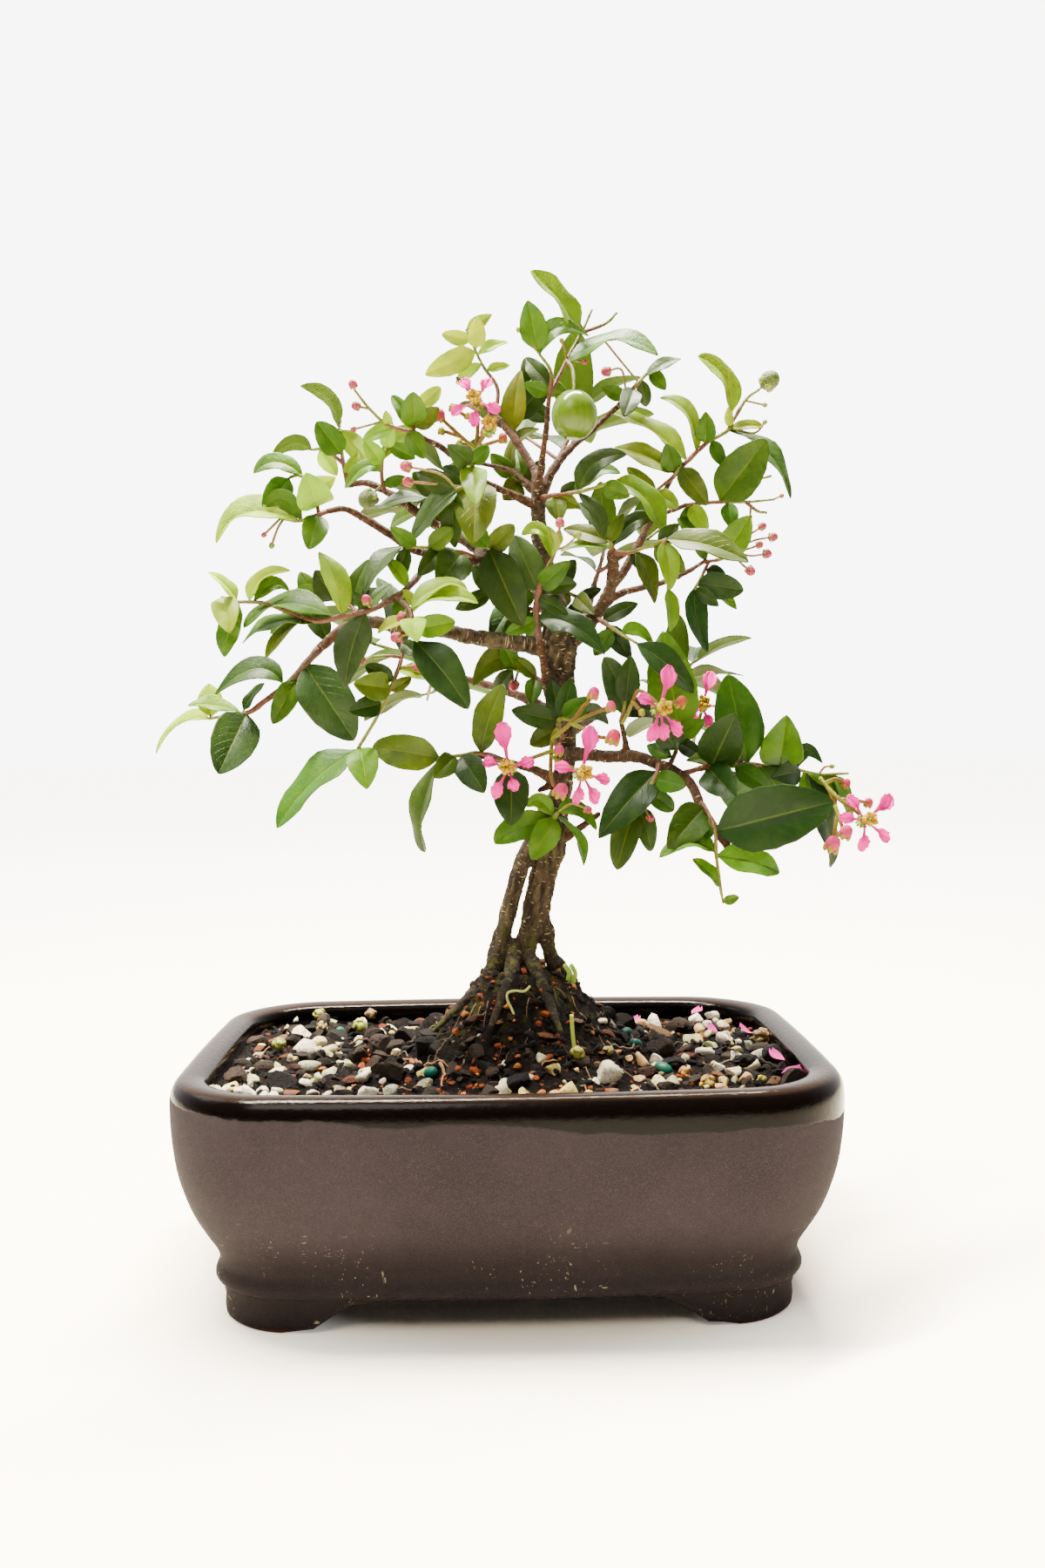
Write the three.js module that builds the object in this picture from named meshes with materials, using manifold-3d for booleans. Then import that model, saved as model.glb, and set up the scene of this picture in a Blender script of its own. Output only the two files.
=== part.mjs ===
// Barbados cherry bonsai in its glazed stoneware pot.
// Millimetres, +Z up, the front of the pot faces -Y. The origin is under the middle of the whole, on the
// table. The tables below count from the middle of the pot.
import * as THREE from 'three';
import { mergeVertices } from 'three/addons/utils/BufferGeometryUtils.js';
import Module from 'manifold-3d';

const wasm = await Module();
wasm.setup();

// Driving dimensions of the pot. The long sides bow outwards by POT_BOW, the short ones by SIDE_BOW of it.
const POT_WIDTH = 203;
const POT_DEPTH = 152;
const POT_CORNER = 30;
const POT_BOW = 4.5;
const SIDE_BOW = 0.4;
const FLOOR_Z = 10.4;
const FOOT_INSIDE = 29;
const DRAIN_X = 48;
const DRAIN_RADIUS = 8;
const SCREEN_Z = 15.9;

// Driving dimensions of the soil
const SOIL_Z = 64.5;
const MOUND_X = 6;
const PEBBLES = 12;

// Clear space between the soil and the pot, and between parts of the plant that don't touch
const FIT_GAP = 0.3;
const PLANT_GAP = 0.5;

// Leaves: depth of the keel under the midrib, least width as a part of the length, radius of the leaf stalk
const KEEL = 0.6;
const LEAF_SHAPE = 0.44;
const PETIOLE = 0.5;

// A leaf that meets another swings its tip in depth, in steps to either side
const SWING_STEP = 2.5;
const SWINGS = 9;

// Depth from which a leaf belongs to the far side, and the x from which leaves count as left or right
const BACK_DEPTH = 22;
const TRUNK_X = 12;

// Distances that skins may be evened out by, tried in turn, and how near two corners count as one
const PLAIN = [0.24, 0.21, 0.18, 0.15, 0.12, 0.09];
const FINE = [0.04, 0.03, 0.05, 0.02, 0.06, 0.08, 0.1, 0.015];
const SAME_POINT = 0.004;

// Twigs, leaves and flowers are placed as they look from the front: x and z are read on the plane of the
// trunk, y is the depth behind it. A point at another depth lies on the same line from the viewer's eye.
const EYE = new THREE.Vector3(-5.7, -447, 171);

function seen(x, z, y) {
  const scale = (y - EYE.y) / -EYE.y;
  return new THREE.Vector3(EYE.x + (x - EYE.x) * scale, y, EYE.z + (z - EYE.z) * scale);
}

// A seeded random number between 0 and 1, the same on every run
let seed = 1;
function random() {
  seed = (Math.imul(seed, 1664525) + 1013904223) >>> 0;
  return seed / 4294967296;
}

// Solids

// Rings of points joined side by side make a closed skin. A ring of one point is a tip.
function loft(rings) {
  const points = [];
  const faces = [];
  const starts = rings.map((ring) => points.push(...ring) - ring.length);
  for (let i = 0; i + 1 < rings.length; i += 1) {
    const count = Math.max(rings[i].length, rings[i + 1].length);
    for (let j = 0; j < count; j += 1) {
      const next = (j + 1) % count;
      const low = [starts[i] + j % rings[i].length, starts[i] + next % rings[i].length];
      const high = [starts[i + 1] + j % rings[i + 1].length, starts[i + 1] + next % rings[i + 1].length];
      if (low[0] !== low[1]) faces.push([low[0], low[1], high[1]]);
      if (high[0] !== high[1]) faces.push([low[0], high[1], high[0]]);
    }
  }
  closeEnd(faces, starts[0], rings[0].length, true);
  closeEnd(faces, starts.at(-1), rings.at(-1).length, false);
  return solid(points, faces);
}

function closeEnd(faces, start, count, first) {
  for (let j = 1; j + 1 < count; j += 1) {
    faces.push(first ? [start, start + j + 1, start + j] : [start, start + j, start + j + 1]);
  }
}

function solid(points, faces) {
  let volume = 0;
  for (const [a, b, c] of faces) {
    volume += points[a].dot(new THREE.Vector3().crossVectors(points[b], points[c]));
  }
  const corners = faces.flatMap(([a, b, c]) => (volume < 0 ? [a, c, b] : [a, b, c]));
  return new wasm.Manifold(new wasm.Mesh({
    numProp: 3,
    vertProperties: new Float32Array(points.flatMap((p) => [p.x, p.y, p.z])),
    triVerts: new Uint32Array(corners),
  }));
}

function join(solids) {
  return solids.reduce((whole, piece) => whole.add(piece));
}

// The main body alone, without loose chips and without pockets that are closed on all sides
function largest(body) {
  const pieces = body.decompose();
  return pieces.reduce((best, piece) => (piece.volume() > best.volume() ? piece : best));
}

// The same skin with fewer faces, none of it moved by more than the given distance
function plain(body, distance) {
  return body.asOriginal().simplify(distance);
}

// Whether two corners of a skin lie on the same spot, where it would pinch itself
function hasDoubledPoints(body) {
  const { vertProperties } = body.getMesh();
  const rows = [];
  for (let i = 0; i < vertProperties.length; i += 3) rows.push(vertProperties.subarray(i, i + 3));
  rows.sort((a, b) => a[0] - b[0]);
  return rows.some((row, i) => {
    for (let j = i + 1; j < rows.length && rows[j][0] - row[0] < SAME_POINT; j += 1) {
      if (Math.hypot(rows[j][1] - row[1], rows[j][2] - row[2]) < SAME_POINT) return true;
    }
    return false;
  });
}

// The main body with fewer faces, at the first of the distances that leaves no pinched spot
function cleanSkin(body, distances) {
  const skins = distances.map((distance) => () => largest(plain(body, distance)));
  const good = skins.find((skin) => !hasDoubledPoints(skin()));
  return (good ?? skins.at(-1))();
}

function boxesMeet(a, b) {
  return [0, 1, 2].every((k) => a.min[k] < b.max[k] && b.min[k] < a.max[k]);
}

// A round stem along points of position and radius
function stem(stops, sides, extra = 0) {
  const rings = [];
  let side = new THREE.Vector3(0.31, 0.9, 0.17);
  stops.forEach((stop, i) => {
    const before = stops[Math.max(i - 1, 0)].at;
    const after = stops[Math.min(i + 1, stops.length - 1)].at;
    const along = after.clone().sub(before).normalize();
    side = side.clone().addScaledVector(along, -side.dot(along)).normalize();
    const up = new THREE.Vector3().crossVectors(along, side);
    const ring = [];
    for (let j = 0; j < sides; j += 1) {
      const angle = (j / sides) * 2 * Math.PI;
      const radius = stop.radius + extra;
      ring.push(stop.at.clone()
        .addScaledVector(side, Math.cos(angle) * radius)
        .addScaledVector(up, Math.sin(angle) * radius));
    }
    rings.push(ring);
  });
  return loft(rings);
}

// Rows of x, z, y, radius become stops
function stopsOf(rows) {
  return rows.map(([x, z, y, radius]) => ({ at: seen(x, z, y), radius }));
}

// A path of x, z, y with a radius that runs evenly from one end to the other
function evenStops(path, from, to) {
  const last = path.length - 1;
  return path.map(([x, z, y], i) => ({ at: seen(x, z, y), radius: from + ((to - from) * i) / last }));
}

// A small ball of few faces, stretched along its stalk. With less than five sides it is two pyramids.
function ball(centre, radius, along, stretch, sides) {
  const axis = along.clone().normalize();
  const side = new THREE.Vector3(0.36, 0.2, 0.91).cross(axis).normalize();
  const up = new THREE.Vector3().crossVectors(axis, side);
  const ring = (height, size) => {
    const points = [];
    for (let j = 0; j < sides; j += 1) {
      const angle = (j / sides) * 2 * Math.PI;
      points.push(centre.clone().addScaledVector(axis, height * radius * stretch)
        .addScaledVector(side, Math.cos(angle) * radius * size)
        .addScaledVector(up, Math.sin(angle) * radius * size));
    }
    return points;
  };
  const pole = (height) => [centre.clone().addScaledVector(axis, height * radius * stretch)];
  if (sides < 5) return loft([pole(-1), ring(0, 1), pole(1)]);
  return loft([pole(-1), ring(-0.5, 0.86), ring(0.5, 0.86), pole(1)]);
}

// The closed skin of a three.js geometry
function fromGeometry(geometry) {
  geometry.deleteAttribute('normal');
  geometry.deleteAttribute('uv');
  const merged = mergeVertices(geometry, 1e-4);
  const place = merged.getAttribute('position');
  const pointAt = (_, i) => new THREE.Vector3().fromBufferAttribute(place, i);
  const points = Array.from({ length: place.count }, pointAt);
  const corners = merged.getIndex().array;
  const faces = [];
  for (let i = 0; i < corners.length; i += 3) faces.push([corners[i], corners[i + 1], corners[i + 2]]);
  return solid(points, faces);
}

// Pot

// A rounded rectangle with gently bowed sides, drawn anticlockwise, inset from the pot's outline
function potLoop(inset, z) {
  const halfWidth = POT_WIDTH / 2 - POT_BOW * SIDE_BOW - inset;
  const halfDepth = POT_DEPTH / 2 - POT_BOW - inset;
  const radius = Math.max(POT_CORNER - inset * 0.8, 6);
  const onCorner = (quarter, angle) => {
    const signX = quarter % 4 === 0 || quarter % 4 === 3 ? 1 : -1;
    const signY = quarter % 4 < 2 ? 1 : -1;
    return new THREE.Vector3(
      signX * (halfWidth - radius) + Math.cos(angle) * radius,
      signY * (halfDepth - radius) + Math.sin(angle) * radius,
      z,
    );
  };
  const loop = [];
  for (let quarter = 0; quarter < 4; quarter += 1) {
    for (let step = 0; step <= 3; step += 1) {
      loop.push(onCorner(quarter, ((quarter + step / 3) * Math.PI) / 2));
    }
    const next = onCorner(quarter + 1, ((quarter + 1) * Math.PI) / 2);
    const last = loop.at(-1);
    for (const part of [0.33, 0.67]) loop.push(last.clone().lerp(next, part));
  }
  return loop.map((p) => {
    const acrossX = p.x / halfWidth;
    const acrossY = p.y / halfDepth;
    const bowX = POT_BOW * SIDE_BOW * (1 - acrossY ** 2) * Math.sign(acrossX) * acrossX ** 4;
    const bowY = POT_BOW * (1 - acrossX ** 2) * Math.sign(acrossY) * acrossY ** 4;
    return new THREE.Vector3(p.x + bowX, p.y + bowY, z);
  });
}

// Inset and height up the outside, over the rounded rim and down the inside
const POT_OUTSIDE = [
  [16, FLOOR_Z], [12.2, 12], [13.5, 17], [6.3, 31], [1.8, 44], [0, 61], [0.7, 69.2], [2.4, 71.4], [5, 72],
];
const POT_INSIDE = [[10, 71], [10.6, 62], [11.5, 46], [17, 31], [26, 15.6]];
const FOOT_RING = [[15.6, 0], [14.4, 1.2], [14.2, 12]];

function buildPot() {
  const body = loft([...POT_OUTSIDE, ...POT_INSIDE].map(([inset, z]) => potLoop(inset, z)));
  const hollow = loft([potLoop(FOOT_INSIDE, -1), potLoop(FOOT_INSIDE, FLOOR_Z)]);
  const feet = loft(FOOT_RING.map(([inset, z]) => potLoop(inset, z)))
    .subtract(hollow)
    .subtract(archCutter(62, 40, false))
    .subtract(archCutter(41, 22, true));
  const drains = [-DRAIN_X, DRAIN_X].map((x) => roundBar(x, 0, DRAIN_RADIUS, FLOOR_Z - 2, 18, 12));
  return cleanSkin(drains.reduce((pot, drain) => pot.subtract(drain), body.add(feet)), PLAIN.slice(2));
}

// The low arch between two feet: the feet are flat as far in as footReach, the arch is level within flatReach
function archCutter(footReach, flatReach, onSides) {
  const half = [
    [footReach, -1], [footReach, 0], [footReach - 3, 2.6], [(footReach + flatReach) / 2 - 1, 7.2],
    [flatReach, FLOOR_Z],
  ];
  const outline = [...half, ...half.map(([u, z]) => [-u, z]).reverse()];
  const shape = new THREE.Shape(outline.map(([u, z]) => new THREE.Vector2(u, z)));
  const bar = new THREE.ExtrudeGeometry(shape, { depth: 2 * POT_WIDTH, bevelEnabled: false });
  bar.translate(0, 0, -POT_WIDTH).rotateX(Math.PI / 2);
  if (onSides) bar.rotateZ(Math.PI / 2);
  return fromGeometry(bar);
}

function roundBar(x, y, radius, low, high, sides) {
  const bar = new THREE.CylinderGeometry(radius, radius, high - low, sides);
  bar.rotateX(Math.PI / 2).translate(x, y, (low + high) / 2);
  return fromGeometry(bar);
}

// A plastic mesh disc over each drain hole, on the pot's floor
function buildScreen(x) {
  const slots = [];
  for (const [across, deep] of [[0, 0], [5, 0], [-5, 0], [0, 5], [0, -5]]) {
    slots.push(roundBar(x + across, deep, 1.4, 10, 20, 4));
  }
  const disc = roundBar(x, 0, DRAIN_RADIUS + 4, SCREEN_Z, SCREEN_Z + 1.2, 14);
  return slots.reduce((whole, slot) => whole.subtract(slot), disc);
}

// Soil

// The soil is level by the rim and rises to a mound under the trunk
const MOUND = [[0, 96], [12, 94.5], [15, 92], [22, 84.5], [30, 77], [40, 70.5], [50, 66.5], [62, SOIL_Z]];

function moundHeight(x, y) {
  const far = Math.hypot(x - MOUND_X, y * 0.92);
  if (far >= MOUND.at(-1)[0]) return SOIL_Z;
  const i = MOUND.findIndex(([reach]) => reach > far) - 1;
  const part = (far - MOUND[i][0]) / (MOUND[i + 1][0] - MOUND[i][0]);
  return MOUND[i][1] + (MOUND[i + 1][1] - MOUND[i][1]) * part;
}

function buildSoil(plant) {
  const wall = POT_INSIDE.slice(1, -1).reverse();
  const rings = [potLoop(POT_INSIDE.at(-1)[0] + 1, SCREEN_Z + 1.5)];
  for (const [inset, z] of wall) rings.push(potLoop(inset + FIT_GAP, z));
  seed = 11;
  const rim = potLoop(POT_INSIDE[1][0] + FIT_GAP, 0);
  for (const part of [0.98, 0.8, 0.62, 0.46, 0.33, 0.21, 0.1]) {
    rings.push(rim.map((p) => {
      const x = MOUND_X + (p.x - MOUND_X) * part;
      const y = p.y * part;
      return new THREE.Vector3(x, y, moundHeight(x, y) + (random() - 0.5) * 2.2);
    }));
  }
  const bed = loft(rings);
  return cleanSkin(cleanSkin(join([bed, ...pebbles(rim)]), PLAIN).subtract(plant), FINE);
}

// Pumice and lava pebbles, more than half above the bed
function pebbles(rim) {
  const stones = [];
  seed = 23;
  while (stones.length < PEBBLES) {
    const edge = rim[Math.floor(random() * rim.length)];
    const part = 0.42 + 0.5 * Math.sqrt(random());
    const x = MOUND_X + (edge.x - MOUND_X) * part;
    const y = edge.y * part;
    const radius = 2 + random() * 2.2;
    const centre = new THREE.Vector3(x, y, moundHeight(x, y) + radius * 0.25);
    const along = new THREE.Vector3(random() - 0.5, random() - 0.5, 0.8);
    stones.push(ball(centre, radius, along, 0.6 + random() * 0.3, 4));
  }
  return stones;
}

// Wood: every limb is a list of x, z, y, radius. The trunk leans, and a thinner stem joins it from the left.
const TRUNK = [
  [6, 84, 0, 6], [7, 97, 0, 5.2], [8.6, 103, 0, 4.9], [9.8, 110.6, 0, 4.4], [11.1, 118, 0, 4.2],
  [12.8, 125.6, 0, 4.4], [14.6, 134, 0, 5], [17, 143, 0, 4.2], [17.8, 150, 0, 3.7], [19.5, 160, 0, 3.6],
  [20.4, 171, 0, 3.7], [19.4, 181, 0, 4.3], [18.4, 191, 0, 5], [18.4, 202, -1, 5.9], [17.5, 212, -1, 4.4],
  [15.5, 222, -1, 3.5], [13, 233, -2, 3], [11.8, 246, -2, 2.5], [11.6, 257, -3, 1.7],
];
const SECOND_STEM = [
  [-4.5, 84, -2, 4.4], [-3.6, 95, -2, 3.7], [-1.6, 103.3, -2, 2.8], [0.4, 111.3, -2, 2.4],
  [2.8, 119.5, -2, 2.3], [5.8, 130, -2, 2.6], [9.5, 138, -1, 2.9], [13.5, 147, 0, 2.8],
];
const ROOTS = [
  [[12.6, 110, 0, 2.6], [15.2, 102, 0, 2.2], [18.2, 95, 1, 2.5], [23, 87, 2, 2.2], [29, 78, 3, 1.2]],
  [[3, 103, -2, 2.6], [2, 94, -9, 2.6], [-1, 86, -17, 1.9], [-5, 76, -27, 1]],
  [[9, 101, -3, 2.4], [11, 93, -10, 2.4], [14, 84, -18, 1.7], [18, 74, -30, 0.9]],
  [[-3.6, 97, -1, 2.8], [-8, 90, -3, 2.4], [-15, 83, -6, 1.7], [-25, 74, -9, 0.9]],
  [[-3, 97, 1, 2.6], [-7, 90, 9, 2.3], [-13, 81, 20, 1.4]],
  [[13, 101, 3, 2.6], [18, 92, 9, 2.4], [25, 81, 19, 1.5]],
  [[8, 100, 3, 3], [9, 92, 11, 2.6], [11, 80, 26, 1.4]],
];
const LIMBS = [
  [[17, 199, -3, 4], [10, 201.5, -4, 3], [-8, 204, -8, 2.6], [-19, 206.5, -11, 2.4], [-32, 208, -13, 2.2],
    [-45, 209.5, -15, 1.9], [-52, 207.5, -16, 1.7], [-60, 201, -16, 1.4]],
  [[14, 223, -1, 3.2], [6, 226.5, -2, 2.9], [-4, 230.5, -3, 2.9], [-7, 231.5, -3, 2.2]],
  [[-4, 231, -2, 2.4], [-14, 237, 1, 1.8], [-25, 243, 5, 1.5], [-33, 249, 9, 1.4], [-43, 254.5, 14, 1.2],
    [-50, 254, 18, 1]],
  [[-4, 230, -3, 2.5], [-12, 229.5, -8, 1.9], [-20, 231, -13, 1.6], [-29, 233, -17, 1.4],
    [-38, 239, -21, 1.3], [-50, 246, -25, 1.1], [-57, 245.5, -28, 0.9]],
  [[11.5, 254, -2, 1.8], [11, 258, -1, 1.6], [5, 268, 3, 1.4], [0, 274, 6, 1.2], [-5, 279, 8, 1],
    [-8, 282, 9, 0.9], [-14, 288.5, 11, 0.7]],
  [[11, 247, -3, 1.6], [3, 251, -7, 1.3], [-7, 255.5, -11, 1.2], [-15, 262.5, -14, 1.1],
    [-20, 266.5, -16, 1], [-25, 269, -17, 0.8]],
  [[11.5, 252, -1, 1.3], [7, 255.5, 2.5, 1], [3, 258.5, 6, 0.9], [-7, 261, 9, 0.7]],
  [[18, 200, 0, 4], [25, 205, 1, 2.9], [29, 209.5, 0, 2.4], [33, 215, -1, 2.1], [36, 222, -3, 2],
    [36.3, 231.5, -6, 1.9]],
  [[36, 221, -3, 1.8], [40, 226, -1, 1.6], [43.5, 232, 1, 1.4], [47, 239, 4, 1.3], [50.5, 245, 6, 1.2],
    [55, 254.5, 9, 0.9], [60, 260.5, 11, 0.85]],
  [[50, 243, 6, 0.9], [60, 247, 12, 0.8]],
  [[33, 214, -1, 1.5], [38, 218, 0, 1.3], [45, 220, 4, 1.1], [53, 222, 8, 1], [61, 225.5, 12, 0.9],
    [66, 228.5, 15, 0.75]],
  [[12, 249, -2, 1.9], [17, 259, 1, 1.5], [23, 266, 4, 1.3], [28, 270, 6, 1.1], [32, 273.5, 8, 1],
    [38, 279, 11, 0.9]],
  [[11.4, 250, -3, 1.5], [13, 260, -6, 1.2], [14.5, 270, -9, 1], [15.5, 280, -11, 0.8]],
  [[20, 166.5, -2, 2.7], [28, 165.5, -6, 2.2], [37, 165, -11, 2], [43, 165, -14, 2], [49, 163, -16, 1.9],
    [55, 160.5, -19, 1.8], [60, 157.5, -21, 1.7], [62.5, 154, -23, 1.6], [65, 148, -26, 1.5],
    [70, 140, -29, 1.4], [75.5, 132.5, -32, 1.2]],
  [[40.5, 165.5, -13, 1.2], [39.5, 172, -11, 0.9], [38.5, 177, -10, 0.8]],
  [[17, 157, -2, 2.2], [10.9, 160.5, -6, 1.5], [1, 163.5, -9, 1.35], [-7, 165.6, -11, 1.3],
    [-14, 163.5, -13, 1.3], [-20, 161.5, -15, 1.25], [-25.5, 158.5, -17, 1.2]],
  [[19, 138, -1, 1.8], [24, 141, -4, 1.4], [31, 146, -9, 1]],
  [[16, 156, -2, 1.5], [11.5, 154, -5, 0.8]],
  [[17, 181, -2, 2.2], [14.5, 187, -6, 1.6], [13.5, 194, -8, 1.4], [12, 203, -10, 1.2]],
  [[17, 196, 2, 2.6], [22, 204, 14, 2.1], [27, 212, 28, 1.7], [30, 221, 42, 1.2]],
  [[15, 214, 1, 2.4], [8, 222, 14, 1.9], [-1, 230, 28, 1.5], [-9, 239, 42, 1.1]],
  [[19, 170, 2, 2.2], [26, 176, 14, 1.7], [36, 181, 28, 1.4], [46, 184, 40, 1]],
  [[18, 178, 2, 2.2], [8, 184, 14, 1.7], [-6, 189, 26, 1.4], [-20, 193, 38, 1.1]],
  [[12, 242, 1, 1.9], [14, 251, 12, 1.4], [18, 261, 24, 1]],
];

function buildWood(extra) {
  const parts = [stem(stopsOf(TRUNK), 9, extra), stem(stopsOf(SECOND_STEM), 6, extra)];
  for (const root of ROOTS) parts.push(stem(stopsOf(root), 5, extra));
  for (const limb of LIMBS) parts.push(stem(stopsOf(limb), 5, extra));
  return extra === 0 ? cleanSkin(join(parts), PLAIN) : join(parts);
}

// Leafy sprays. A twig is a path of x, z, y. A leaf is base x, z, tip x, z, seen width, tone, and where it
// helps an added depth of the tip and a point x, z that the midrib bends towards. A bud is a radius and the
// path of its stalk. Tones: bright, green, dark, blue, olive, pale.
const SPRAYS = [
  {
    name: 'spray_left_low',
    twigs: [[[-60, 201, -16], [-65, 195.5, -16], [-70, 190, -15], [-78, 184, -14], [-83, 180.5, -13],
      [-88, 179.8, -12], [-96, 178.5, -10]]],
    radius: [1.35, 0.5],
    leaves: [
      [-65, 196, -49, 171, 16, 'blue'], [-67, 191.5, -75.5, 176.5, 7.5, 'green'],
      [-72, 190, -94, 186.5, 6.5, 'dark', 0, -81, 194.5], [-84, 180, -93.5, 160.5, 14.5, 'dark'],
      [-86, 180.5, -103, 183, 4, 'bright'], [-85, 181, -78, 190, 3, 'dark'],
      [-95.5, 179, -96, 190, 8, 'pale'], [-96, 178.5, -113.6, 167.3, 2.8, 'pale', 0, -106, 176.5],
    ],
    buds: [],
  },
  {
    name: 'spray_left_front',
    twigs: [
      [[-20, 230, -14], [-26, 226, -21], [-31, 220.5, -27], [-37, 216.5, -31], [-43, 213.5, -34],
        [-52, 211.5, -36], [-61, 210, -37], [-70, 213, -37], [-78, 216, -36], [-88, 216.5, -34],
        [-91.5, 218, -33]],
      [[-35, 218, -29.5], [-30.5, 213.5, -33], [-29.5, 208, -35], [-29, 203.5, -36]],
    ],
    radius: [1.2, 0.45],
    leaves: [
      [-86.5, 217, -95.5, 226, 3.5, 'pale'], [-82.5, 216.5, -69, 226.5, 3.5, 'pale', 0, -78, 224],
      [-81, 216.5, -69.5, 220, 4.5, 'green', 0, -75, 222], [-91, 218, -89, 206.5, 8, 'pale'],
      [-86, 216, -91, 198.5, 7, 'green'], [-55, 211.5, -84.5, 208, 5, 'green', 0, -72, 215.5],
      [-61, 209.5, -85, 203, 4, 'green', 0, -74, 209.5], [-65, 211, -77.5, 198, 3.5, 'olive'],
      [-52, 212, -59.5, 232.5, 7, 'bright'], [-45, 213, -52, 188, 10, 'blue'],
      [-43, 213.5, -49, 219, 4, 'dark'], [-30, 213.5, -11.5, 220, 4.5, 'pale', 0, -20, 221],
      [-29.8, 212.5, -8, 215.5, 5, 'pale', 0, -20, 217.8], [-29.6, 211, -28, 203, 8, 'pale'],
      [-29, 203.5, -11.5, 181, 11.5, 'dark'], [-30.5, 210.5, -41, 206, 3, 'pale'],
      [-29.3, 207, -15.5, 209.5, 7, 'bright', 5], [-31, 220.5, -38.5, 230.5, 4, 'bright'],
      [-34, 219.5, -27, 215, 4, 'pale'], [-33, 218.5, -34, 209, 4, 'green'],
    ],
    buds: [[1.5, -43, 213.5, -44.5, 216.8], [1.6, -31, 214, -33, 211], [1.6, -29.5, 206, -35, 204.5]],
  },
  {
    name: 'spray_left_hanging',
    twigs: [
      [[-33, 207.5, -13], [-33, 199, -17], [-36, 190, -20], [-41, 179.5, -22], [-48, 168, -24]],
      [[-33.3, 198, -17.3], [-38, 198.5, -20], [-43, 198, -23]],
    ],
    radius: [0.8, 0.5],
    leaves: [
      [-48.5, 168, -74.7, 142.5, 9, 'bright'], [-47, 168.5, -45, 155, 10, 'pale'],
      [-37, 188, -49, 189.5, 9, 'olive'], [-40, 183, -50.5, 180.5, 7, 'dark'],
      [-36, 190.5, -45, 195.5, 6, 'dark'], [-37, 187, -30, 191.5, 4, 'olive'],
      [-34.5, 194, -22, 190.5, 4.5, 'pale'], [-33, 203, -27, 198, 5, 'dark'],
    ],
    buds: [[1.5, -43, 198, -46.5, 197], [1.4, -34.5, 195, -28.5, 195]],
  },
  {
    name: 'spray_left_behind',
    twigs: [[[-45, 209.5, -14], [-50, 215, -6], [-57, 217, 2], [-63, 214, 8]]],
    radius: [0.9, 0.5],
    leaves: [
      [-49, 214.5, -43.5, 230, 5, 'dark'], [-55, 217, -61, 226.5, 9, 'dark'],
      [-63, 213.5, -76, 206, 5, 'dark'], [-50, 215, -39.5, 220.5, 5, 'dark'],
      [-57, 217, -67, 221, 6, 'green'], [-47, 211, -36, 222, 5, 'dark'], [-60, 215, -66, 226, 7, 'green'],
      [-62, 214.5, -57, 203, 8, 'dark', 6],
    ],
    buds: [],
  },
  {
    name: 'spray_upper_left_tip',
    twigs: [
      [[-57, 245.5, -28], [-61, 244, -30], [-66, 242.5, -32], [-72, 243.3, -33]],
      [[-59.5, 244.5, -29.2], [-61, 251, -27], [-65, 257, -26], [-69, 256.5, -26]],
    ],
    radius: [0.8, 0.45],
    leaves: [
      [-64.5, 257, -80.5, 258, 5, 'green', 0, -73, 261.5], [-69, 256.3, -77.5, 246, 8, 'green'],
      [-60, 247, -63.5, 258, 11, 'bright', -4], [-65, 242.7, -76.5, 247, 6, 'green', 0, -71, 249.5],
      [-66, 242.5, -93, 235.5, 5.5, 'pale', 0, -83, 245], [-59.5, 244.5, -63, 233.3, 8, 'green'],
      [-62, 252, -54, 256.5, 7, 'pale'],
    ],
    buds: [[0.9, -71, 243, -73, 240, -75, 234.5], [0.8, -72, 243.3, -77.5, 238]],
  },
  {
    name: 'spray_left_high',
    twigs: [
      [[-50, 254, 18], [-51.5, 262, 20], [-52.5, 272, 23], [-52, 275, 24]],
      [[-51.5, 261, 20], [-57, 265.5, 22], [-61.5, 265.5, 24]],
    ],
    radius: [0.9, 0.45],
    leaves: [
      [-61.5, 265.3, -74.5, 263.3, 5, 'green', 0, -67.5, 267.5],
      [-53, 273, -65, 286, 5.5, 'green', 0, -56, 282],
      [-52, 264, -60, 274.5, 9, 'green'], [-52.4, 272, -42, 260.5, 7.5, 'pale', -3],
      [-59, 265.5, -53.5, 257, 6, 'pale'], [-50.7, 257, -46.5, 264.5, 4, 'bright'],
    ],
    buds: [],
  },
  {
    name: 'spray_left_inner',
    twigs: [[[-38, 251.5, 11], [-39, 257, 8], [-38.5, 263, 6], [-36, 268, 5]]],
    radius: [0.8, 0.5],
    leaves: [
      [-38.5, 262, -26.5, 269, 6, 'bright', 0, -33, 270], [-39, 258, -51, 253, 4.5, 'green', 0, -44, 260],
      [-38.8, 261, -44.5, 268.5, 6, 'bright'], [-37, 266, -36.5, 276.5, 5, 'bright'],
      [-38.5, 254, -31, 256.5, 4, 'green'], [-36.5, 267, -28, 262.5, 5, 'green'],
    ],
    buds: [[3.2, -38.8, 254.5, -43.5, 249.5]],
  },
  {
    name: 'spray_left_mid_high',
    twigs: [[[-25, 243, 5.5], [-26, 248, 9], [-21, 251, 11]]],
    radius: [0.8, 0.5],
    leaves: [
      [-24, 249.8, -40.5, 246.5, 4, 'dark'], [-25.8, 246, -36.5, 240, 4, 'green'],
      [-21, 251, -29, 258, 7, 'dark'], [-21, 251, -12, 257, 6, 'green'], [-25.5, 246, -17, 243.5, 6, 'olive'],
      [-23, 250, -24, 240, 5, 'green'],
    ],
    buds: [],
  },
  {
    name: 'spray_top_left',
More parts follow.
